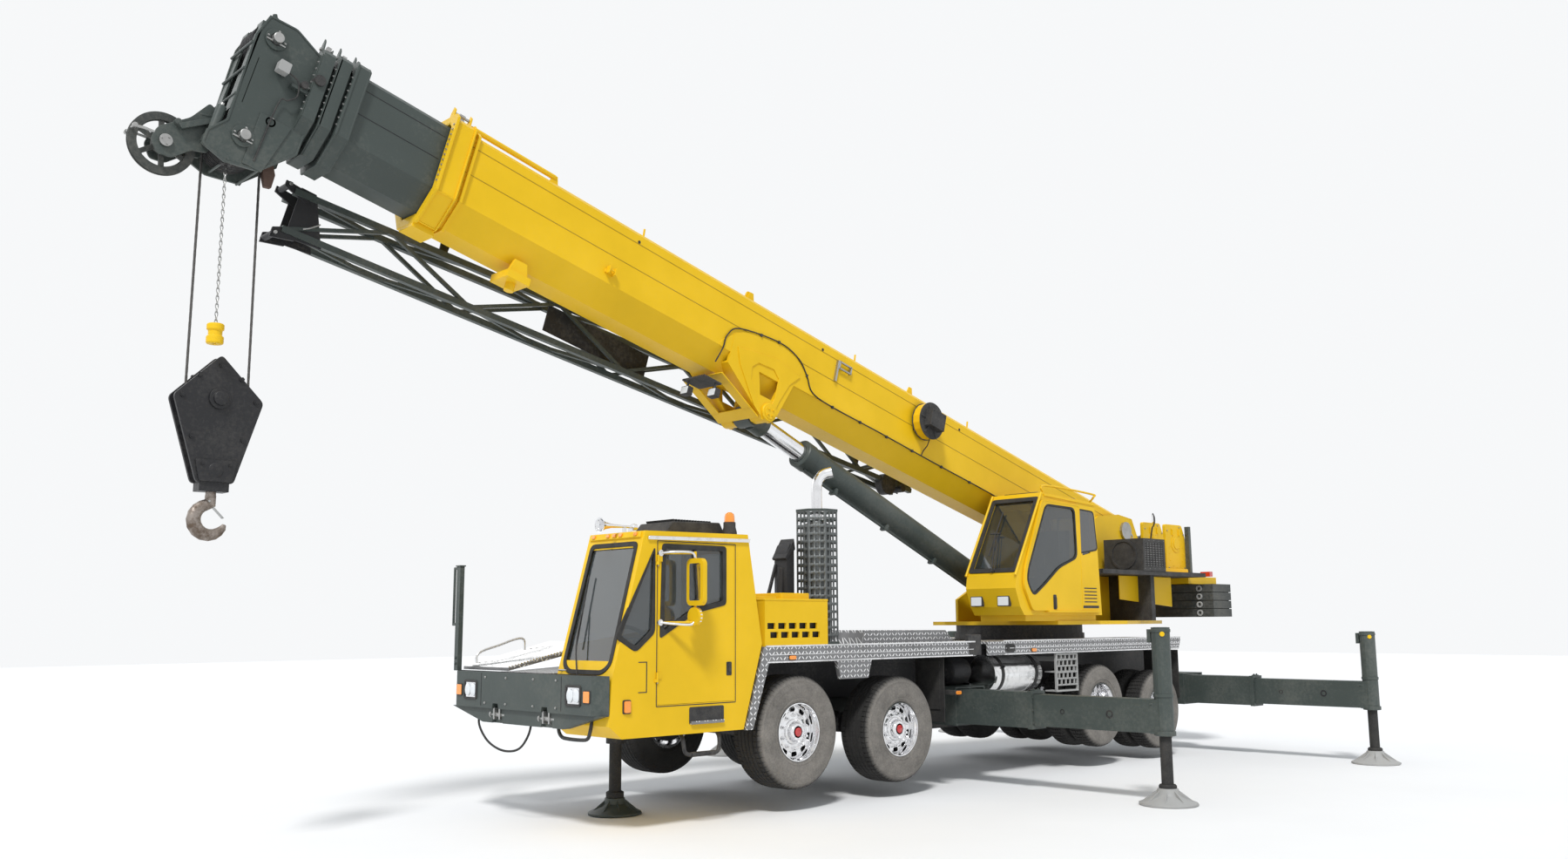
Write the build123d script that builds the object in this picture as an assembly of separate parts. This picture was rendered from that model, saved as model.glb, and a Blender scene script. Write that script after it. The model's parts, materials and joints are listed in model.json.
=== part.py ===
"""Four-axle mobile crane: half-cab carrier, slewing superstructure and a four-section telescopic boom.

The crane stands on its outrigger floats and its front jack, with all wheels clear of the ground.
Working frame: millimetres, +X towards the bumper, +Y to the driver's left, +Z up, ground at Z = 0,
slewing axis at X = Y = 0. On export everything moves by SHIFT_X, so that the origin lies on the ground
under the middle of the whole crane.
"""
import math
import os

from build123d import *

# ---------------------------------------------------------------- driving dimensions
HALF_W = 1295.0  # half the carrier's width
RUN_GAP = 0.3  # running clearance between a shaft and its bore
SIDE_GAP = 6.0  # side clearance between pieces that move past each other

# Axles: name, x, height of the centre, tyre radius, tyre width, tyres on each side
AXLES = [
    ("1", 5565.0, 792.0, 575.0, 440.0, 1),
    ("2", 3993.0, 729.0, 575.0, 440.0, 1),
    ("3", -57.0, 794.0, 538.0, 300.0, 2),
    ("4", -1520.0, 674.0, 538.0, 300.0, 2),
]
STEERED = ("1", "2")
WHEEL_OUT_Y = 1275.0  # outer face of the outer tyre
TWIN_GAP = 40.0  # gap between twin tyres
RIM_R = 286.0  # 22.5 inch rim
RIM_WALL = 14.0
TYRE_SIDES = 18  # facets round a tyre and its rim
HUB_SIDES = 12
RING_SIDES = 36  # facets round the slewing ring
TUBE_SIDES = 16  # facets round a large tube, drum or sheave
BAR_SIDES = 8  # facets round a thin bar
DISC_INSET = 120.0  # wheel disc behind the tyre's outer face
DISC_T = 24.0
HUB_R = 118.0
SPINDLE_R = 60.0
KINGPIN_Y = 770.0
KINGPIN_R = 62.0
FORK_H = 95.0  # half height of the kingpin boss
LUG_H = 55.0  # height of each fork lug
DRUM_R = 205.0
DRUM_END_Y = 985.0

# Carrier
FRAME_HALF_W = 420.0
FRAME_Z0 = 1050.0
FRAME_Z1 = 1500.0
FRAME_X0 = -2520.0
FRAME_X1 = 7900.0
RAIL_W = 90.0
ENGINE_X = (4760.0, 6060.0)
ENGINE_Z = (1010.0, 1650.0)
DECK_Z = 1660.0
DECK_T = 30.0
WEB_T = 20.0
FASCIA_H = 165.0
DECK_X0 = -2110.0
DECK_X1 = 6080.0
BUMPER_X = 8097.0
BUMPER_Z0 = 1080.0
BUMPER_Z1 = 1431.0
BUMPER_CHAMFER = 120.0

# Outriggers: name, x of the beam, side (+1 left), height of the jack tube's top
OUTRIGGERS = [
    ("front_left", 2542.0, 1, 1825.0),
    ("front_right", 2262.0, -1, 1825.0),
    ("rear_left", -2824.0, 1, 1735.0),
    ("rear_right", -3104.0, -1, 1735.0),
]
BEAM_Z = 900.0  # centre height of the beams
BEAM_W = 240.0
BEAM_H = 400.0
BEAM_T = 20.0
BEAM_GAP = 5.0
PAD_L = 80.0  # length of a wear pad
BEAM_LEN = 2050.0
BEAM_END_Y = 2070.0  # outer end of the first stage, run out
TIP_LEN = 2050.0
TIP_END_Y = 3560.0
HOUSING_Y = 990.0
HOUSING_T = 20.0
JACK_Y = 3650.0
JACK_R = 98.0
JACK_BORE_R = 74.0
JACK_CAP = 30.0  # closed top of a jack tube
GLAND = 60.0
ROD_R = 62.0
FLOAT_R = 304.0
FLOAT_H = 95.0
JACK_Z0 = 700.0
JACK_TRAVEL = 480.0
FRONT_JACK_X = 6949.0
FRONT_JACK_Z = (700.0, 1300.0)
FRONT_JACK_TRAVEL = 350.0
FRONT_FLOAT_R = 274.0

# Superstructure
RING_R = 893.0
RING_BORE_R = 640.0
SWIVEL_R = 380.0  # well for the swivel joint under the ring
RING_Z = (1660.0, 1850.0)
TABLE_PLATE_Z = 1900.0
CHEEK_Y = 372.0  # inner face of the side plates beside the boom
CHEEK_T = 40.0
PIVOT = (-2200.0, 3240.0)  # boom foot pin, x and z
PIVOT_R = 95.0
FOOT = (100.0, 2110.0)  # lift cylinder foot pin, x and z
FOOT_R = 62.0

# Boom: everything below is laid out on (s, n), s along the boom from under the slewing axis and
# n square to it, and is turned up by BOOM_ANGLE
BOOM_ANGLE = 15.36
BOOM_N = (2968.0, 3941.0)  # bottom and top of the base section
BOOM_CORNER_N = 3215.0  # where the side turns in to the narrow bottom
BOOM_HALF_W = 330.0
BOOM_S0 = -1420.0
BASE_END_S = 10600.0
WALL = 14.0
NEST = 22.0  # clearance between one section and the next
LIFT_PIN = (6070.0, 2745.0)  # lift cylinder head pin, s and n
ROD_END_R = 130.0
LIFT_ROD_R = 112.0
LIFT_BARREL_R = 165.0
LIFT_BARREL_END = 4550.0  # length of the barrel from its foot pin
# Second and third sections and head: how far the nose stands ahead of the base section's end, collar length
SECTIONS = [
    (1000.0, 130.0),
    (1150.0, 110.0),
    (1300.0, 110.0),
]
UPPER_PIN = (12288.0, 3786.0)  # boom-head upper and lower sheave pins, s and n
LOWER_PIN = (12266.0, 2822.0)
NOSE_PIN = (12772.0, 2528.0)
HEAD_PIN_R = 55.0
NOSE_PIN_R = 40.0
SHEAVE_R = 230.0
SHEAVE_T = 46.0
HEAD_HALF_W = 226.0
NOSE_SHEAVE_R = 265.0
REEL = (3490.0, 3635.0)  # hose reel, s and n

# Hook block, hanging plumb from the lower sheave pin
BLOCK_Z = (3040.0, 4120.0)
BLOCK_HALF_W = 365.0
BLOCK_T = 150.0
ROPE_R = 11.0
HOOK_Z0 = 2580.0
BLOCK_SHEAVE_R = 240.0
BLOCK_SHEAVE_Z = 3750.0
HOOK_SHANK_R = 42.0
HOOK_NUT_R = 62.0
HOOK_STEPS = 10  # straight runs round the hook's bowl

# Cabs, as (x, z) outlines
CARRIER_CAB = [(6370, 870), (7840, 870), (7985, 985), (7960, 1400), (7600, 2755), (6310, 2770), (6120, 1690)]
CARRIER_CAB_Y = (FRAME_HALF_W, HALF_W)
CRANE_CAB = [(-210, 1975), (1560, 1975), (1640, 2080), (1730, 2310), (1700, 2480), (1080, 3550), (-130, 3480)]
CRANE_CAB_Y = (440.0, 1215.0)
CAB_T = 40.0
DOOR_X = (6490.0, 7443.0)
DOOR_Z = (1150.0, 2654.0)
DOOR_HINGE = (7452.0, 1306.0)  # carrier door hinge, x and y
HINGE_R = 10.5
HINGE_Z = (1360.0, 2440.0)  # lower faces of the cab's hinge eyes

TAIL_X = -4100.0  # rear face of the counterweight
SLAB_Z = (1950.0, 2440.0)  # bottom and top of the stacked slabs
SLABS = 4
WINCH_X = (-2980.0, -3640.0)
WINCH_Z = 3000.0
DRUM_R = 215.0
DRUM_FLANGE_R = 320.0
COOLER = ((-1970.0, -1370.0), (560.0, 1200.0), (2600.0, 3060.0))


def boom_point(s, n, angle=BOOM_ANGLE):
    """(x, z) of a boom point at its stored place."""
    a = math.radians(angle)
    return (s * math.cos(a) - n * math.sin(a), s * math.sin(a) + n * math.cos(a))


TIP_X = boom_point(*NOSE_PIN)[0] + NOSE_SHEAVE_R  # foremost point, the nose sheave
SHIFT_X = -(TAIL_X + TIP_X) / 2


# ---------------------------------------------------------------- shape helpers
def block(x, y, z):
    """A box from its (low, high) spans."""
    size = (x[1] - x[0], y[1] - y[0], z[1] - z[0])
    return Pos((x[0] + x[1]) / 2, (y[0] + y[1]) / 2, (z[0] + z[1]) / 2) * Box(*size)


def side_plate(points, y):
    """An (x, z) outline made solid over a span of y."""
    face = make_face(Polyline(*[(px, 0, pz) for px, pz in points], close=True))
    return Pos(0, y[0], 0) * extrude(face, y[1] - y[0], dir=(0, 1, 0))


def plan_plate(points, z):
    """An (x, y) outline made solid over a span of z."""
    face = make_face(Polyline(*[(px, py, z[0]) for px, py in points], close=True))
    return extrude(face, z[1] - z[0], dir=(0, 0, 1))


def cross_bar(points, x):
    """A (y, z) outline made solid over a span of x."""
    face = make_face(Polyline(*[(x[0], py, pz) for py, pz in points], close=True))
    return extrude(face, x[1] - x[0], dir=(1, 0, 0))


def rod(a, b, r, sides=None):
    """A bar from point a to point b, round or with a number of sides."""
    start, end = Vector(*a), Vector(*b)
    plane = Plane(origin=start, z_dir=end - start)
    return extrude(plane * (RegularPolygon(r, sides) if sides else Circle(r)), (end - start).length)


def pin_y(x, z, y, r, sides=None):
    """A bar along Y over a span of y."""
    return rod((x, y[0], z), (x, y[1], z), r, sides)


def pin_z(x, y, z, r, sides=None):
    """A bar along Z over a span of z."""
    return rod((x, y, z[0]), (x, y, z[1]), r, sides)


def bent_bar(points, r, sides=BAR_SIDES):
    """A many-sided bar with mitred corners along a run of points."""
    path = Polyline(*points)
    return sweep(Plane(origin=path @ 0, z_dir=path % 0) * RegularPolygon(r, sides), path,
                 transition=Transition.RIGHT)


def around(r, sides):
    """Corner radius of the many-sided hole that clears a circle of radius r."""
    return r / math.cos(math.pi / sides)


def faceted(outline, base, axis, sides):
    """A many-sided body about an axis through base, from its (radius, distance along the axis) outline."""
    rings = [Plane(origin=Vector(*base) + Vector(*axis) * d, z_dir=axis) * RegularPolygon(r, sides)
             for r, d in outline]
    return loft(rings, ruled=True)


def as_drawn(shape):
    return shape


def flip(shape):
    """The same shape on the other side of the crane."""
    return mirror(shape, Plane.XZ)


def on_boom(shape):
    """Turns a shape laid out along the boom up to the stored elevation."""
    return Rot(0, -BOOM_ANGLE, 0) * shape


def hollow(points, y, t):
    """A closed shell from an (x, z) outline over a span of y, with walls t thick."""
    face = make_face(Polyline(*[(px, 0, pz) for px, pz in points], close=True))
    inner = offset(face, -t, kind=Kind.INTERSECTION)
    outside = Pos(0, y[0], 0) * extrude(face, y[1] - y[0], dir=(0, 1, 0))
    return outside - Pos(0, y[0] + t, 0) * extrude(inner, y[1] - y[0] - 2 * t, dir=(0, 1, 0))


def square_tube(x, y, z, t):
    """A box open at both ends of Y, with walls t thick."""
    return block(x, y, z) - block((x[0] + t, x[1] - t), y, (z[0] + t, z[1] - t))


nodes = {}


# ---------------------------------------------------------------- wheels, knuckles and axles
def tyre(x, z, r, w, outer_y):
    """One tyre, from bead to bead."""
    flat = w / 2 - 85
    shoulder = w / 2 - 45
    half = w / 2
    body = faceted([(RIM_R + 12, 35 - half), (r * 0.78, -half), (r - 28, -shoulder), (r, -flat),
                    (r, flat), (r - 28, shoulder), (r * 0.78, half), (RIM_R + 12, half - 35)],
                   (x, outer_y - half, z), (0, 1, 0), TYRE_SIDES)
    return body - pin_y(x, z, (outer_y - w, outer_y), RIM_R + 4, TYRE_SIDES)


def rim(x, z, w, disc_y, hub_in_y):
    """One rim, or the joined rims of twin wheels, with the disc and the bored hub."""
    low, high = WHEEL_OUT_Y - w + 30, WHEEL_OUT_Y - 30
    body = pin_y(x, z, (low, high), RIM_R + 3.7, TYRE_SIDES)
    body -= pin_y(x, z, (disc_y, high + 1), RIM_R - RIM_WALL, TYRE_SIDES)
    body -= pin_y(x, z, (low - 1, disc_y - DISC_T), RIM_R - RIM_WALL, TYRE_SIDES)
    body += pin_y(x, z, (hub_in_y, WHEEL_OUT_Y - 35), HUB_R, HUB_SIDES)
    return body - pin_y(x, z, (0, HALF_W), SPINDLE_R + RUN_GAP)


def wheel(axle):
    """The left wheel, or pair of twin wheels, of one axle."""
    _, x, z, r, w, count = axle
    solids = [tyre(x, z, r, w, WHEEL_OUT_Y - i * (w + TWIN_GAP)) for i in range(count)]
    span = w * count + TWIN_GAP * (count - 1)
    disc_y = WHEEL_OUT_Y - DISC_INSET if count == 1 else WHEEL_OUT_Y - w + 60
    hub_in = DRUM_END_Y + 6 if count == 1 else WHEEL_OUT_Y - span + 20
    solids.append(rim(x, z, span, disc_y, hub_in))
    return Compound(children=solids)


def knuckle(axle):
    """The left steering knuckle: fork round the kingpin boss, brake drum and spindle."""
    _, x, z, *_ = axle
    top, low = FORK_H + RUN_GAP, -FORK_H - RUN_GAP
    body = pin_z(x, KINGPIN_Y, (z + top, z + top + LUG_H), KINGPIN_R)
    body += pin_z(x, KINGPIN_Y, (z + low - LUG_H, z + low), KINGPIN_R)
    body += block((x - KINGPIN_R, x + KINGPIN_R), (KINGPIN_Y, 880), (z + top, z + top + LUG_H))
    body += block((x - KINGPIN_R, x + KINGPIN_R), (KINGPIN_Y, 880), (z + low - LUG_H, z + low))
    body += pin_y(x, z, (850, DRUM_END_Y), DRUM_R, TUBE_SIDES)
    return body + pin_y(x, z, (DRUM_END_Y, WHEEL_OUT_Y - 40), SPINDLE_R)


def beam_axle(axle):
    """One axle beam across the carrier with the blocks and springs that carry the frame."""
    name, x, z, *_ = axle
    if name in STEERED:
        half = block((x - 55, x + 55), (0, KINGPIN_Y - 40), (z - 75, z + 70))
        half += pin_z(x, KINGPIN_Y, (z - FORK_H, z + FORK_H), KINGPIN_R - 6)
    else:
        half = pin_y(x, z, (0, 600), 88, HUB_SIDES) + pin_y(x, z, (600, WHEEL_OUT_Y - 40), SPINDLE_R)
        half += faceted([(190, 0), (190, 90), (88, 240)], (x, 0, z), (0, 1, 0), HUB_SIDES)
    spring_z = z + 130
    half += block((x - 60, x + 60), (330, 400), (z, spring_z))
    half += side_plate(
        [(x - 480, FRAME_Z0), (x - 480, FRAME_Z0 - 40), (x - 120, spring_z - 40), (x + 120, spring_z - 40),
         (x + 480, FRAME_Z0 - 40), (x + 480, FRAME_Z0), (x + 400, FRAME_Z0), (x + 120, spring_z + 10),
         (x - 120, spring_z + 10), (x - 400, FRAME_Z0)], (330, 400))
    return half + flip(half)


for axle in AXLES:
    for side, turn in (("left", as_drawn), ("right", flip)):
        nodes[f"wheel_{axle[0]}_{side}"] = turn(wheel(axle))
        if axle[0] in STEERED:
            nodes[f"knuckle_{axle[0]}_{side}"] = turn(knuckle(axle))
nodes["axles"] = Compound(children=[beam_axle(axle) for axle in AXLES])


# ---------------------------------------------------------------- outriggers
def beam_span(x, width):
    return (x - width / 2, x + width / 2)


def housing(pair):
    """The fixed cross box of a pair of beams that lie side by side."""
    xs = sorted(x for _, x, _, _ in pair)
    wide, high = BEAM_W + 2 * BEAM_GAP, BEAM_H + 2 * BEAM_GAP
    outer_x = (xs[0] - wide / 2 - HOUSING_T, xs[1] + wide / 2 + HOUSING_T)
    z = (BEAM_Z - high / 2 - HOUSING_T, BEAM_Z + high / 2 + HOUSING_T)
    box = block(outer_x, (-HOUSING_Y, HOUSING_Y), z)
    low = BEAM_Z - high / 2
    for _, x, side, _ in pair:
        box -= block(beam_span(x, wide), (-HOUSING_Y - 1, HOUSING_Y + 1), (low, BEAM_Z + high / 2))
        mouth = sorted((side * (HOUSING_Y - PAD_L), side * HOUSING_Y))
        box += block(beam_span(x, BEAM_W), mouth, (low, low + BEAM_GAP - RUN_GAP))
    return box, outer_x, z


def beam(x):
    """First stage of a left outrigger: a box tube with a collar at its mouth."""
    z = (BEAM_Z - BEAM_H / 2, BEAM_Z + BEAM_H / 2)
    body = block(beam_span(x, BEAM_W), (BEAM_END_Y - BEAM_LEN, BEAM_END_Y), z)
    body += block(beam_span(x, BEAM_W + 24), (BEAM_END_Y - 60, BEAM_END_Y), (z[0] - 12, z[1] + 12))
    body -= block(beam_span(x, BEAM_W - 2 * BEAM_T), (-9000, 9000), (z[0] + BEAM_T, z[1] - BEAM_T))
    pad_t = BEAM_GAP - RUN_GAP
    seat_z = z[0] + BEAM_T
    pad_y = (BEAM_END_Y - PAD_L, BEAM_END_Y)
    body += block(beam_span(x, BEAM_W - 2 * BEAM_T), pad_y, (seat_z, seat_z + pad_t))
    inner_end = BEAM_END_Y - BEAM_LEN
    return body + block(beam_span(x, BEAM_W), (inner_end, inner_end + PAD_L), (z[1], z[1] + pad_t))


def tip_beam(x, top):
    """Second stage of a left outrigger with the upright jack tube at its end."""
    wide, high = BEAM_W - 2 * BEAM_T - 2 * BEAM_GAP, BEAM_H - 2 * BEAM_T - 2 * BEAM_GAP
    z = (BEAM_Z - high / 2, BEAM_Z + high / 2)
    body = square_tube(beam_span(x, wide), (TIP_END_Y - TIP_LEN, TIP_END_Y), z, 16)
    body += block(beam_span(x, wide), (TIP_END_Y - 16, JACK_Y), z)
    inner_end = TIP_END_Y - TIP_LEN
    body += block(beam_span(x, wide), (inner_end, inner_end + PAD_L), (z[1], z[1] + BEAM_GAP - RUN_GAP))
    body += pin_z(x, JACK_Y, (JACK_Z0, top), JACK_R, TUBE_SIDES)
    body -= pin_z(x, JACK_Y, (JACK_Z0 - 1, JACK_Z0 + GLAND), ROD_R + RUN_GAP)
    return body - pin_z(x, JACK_Y, (JACK_Z0 + GLAND, top - JACK_CAP), JACK_BORE_R)


def jack_foot(x, y, float_r, rod_top, rod_r):
    """Jack rod with its conical float and its piston, standing on the ground."""
    body = faceted([(float_r, 0), (float_r, 22), (rod_r + 70, FLOAT_H)], (x, y, 0), (0, 0, 1), TUBE_SIDES)
    body += pin_z(x, y, (FLOAT_H, 170), rod_r + 30, TUBE_SIDES)
    body += pin_z(x, y, (170, rod_top - 50), rod_r)
    return body + pin_z(x, y, (rod_top - 50, rod_top), JACK_BORE_R - RUN_GAP)


housings = []
for pair in (OUTRIGGERS[:2], OUTRIGGERS[2:]):
    housings.append(housing(pair))
for name, x, side, top in OUTRIGGERS:
    turn = flip if side < 0 else as_drawn
    nodes[f"outrigger_{name}_beam"] = turn(beam(x))
    nodes[f"outrigger_{name}_tip"] = turn(tip_beam(x, top))
    nodes[f"outrigger_{name}_jack"] = turn(jack_foot(
        x, JACK_Y, FLOAT_R, top - JACK_CAP - JACK_TRAVEL - SIDE_GAP, ROD_R))
nodes["outrigger_housings"] = Compound(children=[h[0] for h in housings])
nodes["front_jack"] = jack_foot(
    FRONT_JACK_X, 0, FRONT_FLOAT_R, FRONT_JACK_Z[1] - JACK_CAP - FRONT_JACK_TRAVEL - SIDE_GAP, ROD_R)


# ---------------------------------------------------------------- carrier frame, deck and bumper
def chassis():
    body = block((FRAME_X0, FRAME_X1), (-FRAME_HALF_W, FRAME_HALF_W), (FRAME_Z0, FRAME_Z1))
    bay_half_w = FRAME_HALF_W - RAIL_W
    body -= block((ENGINE_X[0] - 60, ENGINE_X[1] + 60), (-bay_half_w, bay_half_w), (0, 3000))
    body -= block((6300, FRAME_X1 + 1), (-FRAME_HALF_W - 1, FRAME_HALF_W + 1), (1330, 3000))
    body += block((OUTRIGGERS[3][1] - 160, FRAME_X0), (-FRAME_HALF_W, FRAME_HALF_W), (FRAME_Z0, FRAME_Z1))
    body += pin_z(0, 0, (FRAME_Z1, RING_Z[0]), RING_R - 20, RING_SIDES)
    for _, x, z in housings:
        body -= block(x, (-HALF_W, HALF_W), z)
    body -= pin_z(0, 0, (FRAME_Z0 - 1, RING_Z[0] + 1), SWIVEL_R, TUBE_SIDES)
    x, z = FRONT_JACK_X, FRONT_JACK_Z
    body += pin_z(x, 0, z, JACK_R, TUBE_SIDES)
    body -= pin_z(x, 0, (z[0] - 1, z[0] + GLAND), ROD_R + RUN_GAP)
    return body - pin_z(x, 0, (z[0] + GLAND, z[1] - JACK_CAP), JACK_BORE_R)


def deck_side(pocket_x):
    """Left deck: top plate, inner web against the frame, fascia, and a pocket for the front jack tube."""
    body = block((DECK_X0, DECK_X1), (FRAME_HALF_W, HALF_W), (DECK_Z - DECK_T, DECK_Z))
    body += block((DECK_X0, DECK_X1), (FRAME_HALF_W, FRAME_HALF_W + WEB_T), (FRAME_Z1 - 90, DECK_Z - DECK_T))
    fascia_z = DECK_Z - FASCIA_H
    fascia = [(DECK_X0 + 60, fascia_z), (DECK_X1 - 30, fascia_z), (DECK_X1, DECK_Z), (DECK_X0, DECK_Z)]
    body += side_plate(fascia, (HALF_W - DECK_T, HALF_W))
    flap = block((3215, 3227), (830, HALF_W - 40), (760, DECK_Z - DECK_T))
    body -= block((pocket_x - JACK_R - 20, pocket_x + JACK_R + 20), (HOUSING_Y, HALF_W + 1), (0, 3000))
    return body + flap - pin_z(0, 0, (0, 3000), around(RING_R + 10, RING_SIDES), RING_SIDES)


def step_box():
    """Step with an open grid face, hung on the frame by a bracket."""
    step = block((520, 1010), (1090, 1285), (1010, 1490)) - block((540, 990), (1110, 1290), (1030, 1470))
    for i in range(1, 4):
        x = 520 + i * 122
        z = 1010 + i * 120
        step += block((x - 9, x + 9), (1240, 1270), (1010, 1490))
        step += block((520, 1010), (1240, 1270), (z - 9, z + 9))
    return step + block((600, 660), (FRAME_HALF_W, 1090), (1380, 1440))


def deck():
    """Both decks, the slanting leg behind the cab, the ramp beside it and the side step."""
    left = deck_side(OUTRIGGERS[0][1])
    left += side_plate([(6095, DECK_Z), (6345, 860), (6325, 860), (6060, DECK_Z - 60), (6060, DECK_Z)],
                       (HALF_W - DECK_T, HALF_W))
    left += step_box()
    right = flip(deck_side(OUTRIGGERS[1][1]))
    right += side_plate([(7960, 1440), (7960, 1470), (6900, 1700), (6080, 1700), (6080, 1630), (6890, 1660)],
                        (-HALF_W + 10, -FRAME_HALF_W))
    return Compound(children=[left, right])


def bumper():
    front = plan_plate([(BUMPER_X - 110, -HALF_W), (BUMPER_X, -HALF_W + BUMPER_CHAMFER),
                        (BUMPER_X, HALF_W - BUMPER_CHAMFER), (BUMPER_X - 110, HALF_W)],
                       (BUMPER_Z0, BUMPER_Z1))
    front += cross_bar([(-HALF_W, BUMPER_Z0), (-700, 940), (700, 940), (HALF_W, BUMPER_Z0)],
                       (BUMPER_X - 110, BUMPER_X - 30))
    for y in (-430, 430):
        notch = [(y - 110, 900), (y - 45, 1130), (y + 45, 1130), (y + 110, 900)]
        front -= cross_bar(notch, (BUMPER_X - 60, BUMPER_X + 1))
    mounts = block((FRAME_X1, BUMPER_X - 110), (-330, 330), (1090, 1330))
    post = block((8030, 8080), (-HALF_W + 20, -HALF_W + 90), (BUMPER_Z1, 2500))
    corners = [(8055, -HALF_W + 20, 1900), (8055, -HALF_W - 60, 1900), (8055, -HALF_W - 60, 2480),
               (8055, -HALF_W + 20, 2480)]
    return front + mounts + post + bent_bar(corners, 14)


nodes["chassis_frame"] = chassis()
nodes["deck_plates"] = deck()
nodes["front_bumper"] = bumper()
nodes["engine"] = block(ENGINE_X, (-FRAME_HALF_W + RAIL_W, FRAME_HALF_W - RAIL_W), ENGINE_Z)


def engine_hood():
    """Raised box over the engine's left side, with two rows of slots on its outer face."""
    box = block((5170, 6075), (460, HALF_W - 5), (DECK_Z, 2135))
    box -= block((5200, 6045), (490, HALF_W - 30), (DECK_Z - 1, 2105))
    for row in range(2):
        for i in range(5):
            x = 5290 + i * 150 + row * 40
            box -= block((x, x + 110), (HALF_W - 60, HALF_W), (1745 + row * 90, 1805 + row * 90))
    return box


def exhaust():
    """Eight-sided guard round the silencer, with the tail pipe curving out of its top."""
    x, y = 4720, 700

    def corners(r):
        turns = [math.radians(22 + 45 * i) for i in range(8)]
        return [(x + r * math.cos(t), y + r * math.sin(t)) for t in turns]

    shell = plan_plate(corners(250), (DECK_Z, 3140)) - plan_plate(corners(242), (DECK_Z + 8, 3150))
    silencer = pin_z(x, y, (DECK_Z + 8, 3000), 160, HUB_SIDES)
    bend = [(x, y, 2990), (x, y, 3440), (x - 35, y + 40, 3520), (x - 115, y + 130, 3555)]
    return shell + silencer + bent_bar(bend, 62, HUB_SIDES)


nodes["engine_hood"] = engine_hood()
nodes["exhaust_stack"] = exhaust()


def tanks():
    """Fuel tank with its straps on the left, hydraulic tank on the right, hung on the frame."""
    fuel = rod((1080, 905, 1255), (2080, 905, 1255), 235, TYRE_SIDES)
    fuel += block((1200, 1260), (FRAME_HALF_W, 905), (1080, 1140))
    fuel += block((1900, 1960), (FRAME_HALF_W, 905), (1080, 1140))
    dark = block((700, 2050), (-1230, -FRAME_HALF_W), (1040, 1400))
    return Compound(children=[fuel, fillet(dark.edges().filter_by(Axis.X), 60)])


nodes["tanks"] = tanks()


# ---------------------------------------------------------------- carrier cab
PANE_IN = 14.0  # a pane's outer face behind the wall's
PANE_T = 6.0


def band(a, b, y):
    """A thin pane along the (x, z) line a to b, set back from it to the line's right."""
    length = math.hypot(b[0] - a[0], b[1] - a[1])
    nx, nz = (b[1] - a[1]) / length, (a[0] - b[0]) / length
    far = PANE_IN + PANE_T
    return side_plate([(a[0] + nx * PANE_IN, a[1] + nz * PANE_IN), (b[0] + nx * PANE_IN, b[1] + nz * PANE_IN),
                       (b[0] + nx * far, b[1] + nz * far), (a[0] + nx * far, a[1] + nz * far)], y)


SIDE_WINDOW = [(6620, 2620), (7380, 2620), (7400, 1790), (7000, 2010), (6620, 2090)]
CAB_Y0, CAB_Y1 = CARRIER_CAB_Y
quarter_cut = side_plate([(7490, 2590), (7500, 1820), (7700, 1660), (7905, 1780)],
                         (CAB_Y1 - CAB_T - 1, CAB_Y1 + 1))
inner_cut = side_plate([(6450, 2640), (7560, 2640), (7820, 1700), (6450, 1900)],
                       (CAB_Y0 - 1, CAB_Y0 + CAB_T + 1))
screen_cut = side_plate([(7700, 1560), (8300, 1560), (8300, 2600), (7400, 2600)], (CAB_Y0 + 70, CAB_Y1 - 70))
rear_cut = block((5900, 6420), (CAB_Y0 + 120, CAB_Y1 - 120), (1950, 2600))


def cab_shell():
    shell = hollow(CARRIER_CAB, CARRIER_CAB_Y, CAB_T)
    shell -= block(DOOR_X, (CAB_Y1 - CAB_T - 1, CAB_Y1 + 1), DOOR_Z)
    shell = shell - quarter_cut - inner_cut - screen_cut - rear_cut
    hx, hy = DOOR_HINGE
    for z in HINGE_Z:
        eye = pin_z(hx, hy, (z, z + 30), HINGE_R) + block((hx, hx + 26), (CAB_Y1 - 1, hy + 4), (z, z + 30))
        shell += eye - pin_z(hx, hy, (z - 1, z + 31), 6 + RUN_GAP)
    return shell


def cab_door():
    """Front-hinged door with its window opening and the mirrors on their arm."""
    x = (DOOR_X[0] + 3, DOOR_X[1] - 3)
    out = CAB_Y1 + 190
    door = block(x, (CAB_Y1 - CAB_T, CAB_Y1), (DOOR_Z[0] + 3, DOOR_Z[1] - 3))
    door -= side_plate(SIDE_WINDOW, (CAB_Y1 - 99, CAB_Y1 + 99))
    hx, hy = DOOR_HINGE
    for z in HINGE_Z:
        foot = z + 30 + RUN_GAP
        door += pin_z(hx, hy, (foot, foot + 60), HINGE_R) + pin_z(hx, hy, (z - 5, foot + 1), 6)
        door += block((hx - 50, x[1] - 4), (CAB_Y1 - 1, hy), (foot, foot + 60))
        door += block((hx - 50, hx), (CAB_Y1 + 1, hy), (foot, foot + 60))
    for z in (1905, 2550):
        door += rod((7420, CAB_Y1 - 5, z), (7150, out, z), 11, BAR_SIDES)
    door += rod((7150, out, 1880), (7150, out, 2565), 12, BAR_SIDES)
    mirror_box = block((7125, 7175), (CAB_Y1 + 90, CAB_Y1 + 330), (2060, 2500))
    door += fillet(mirror_box.edges().filter_by(Axis.X), 60)
    return door + rod((7125, out, 1960), (7175, out, 1960), 85, TUBE_SIDES)


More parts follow.
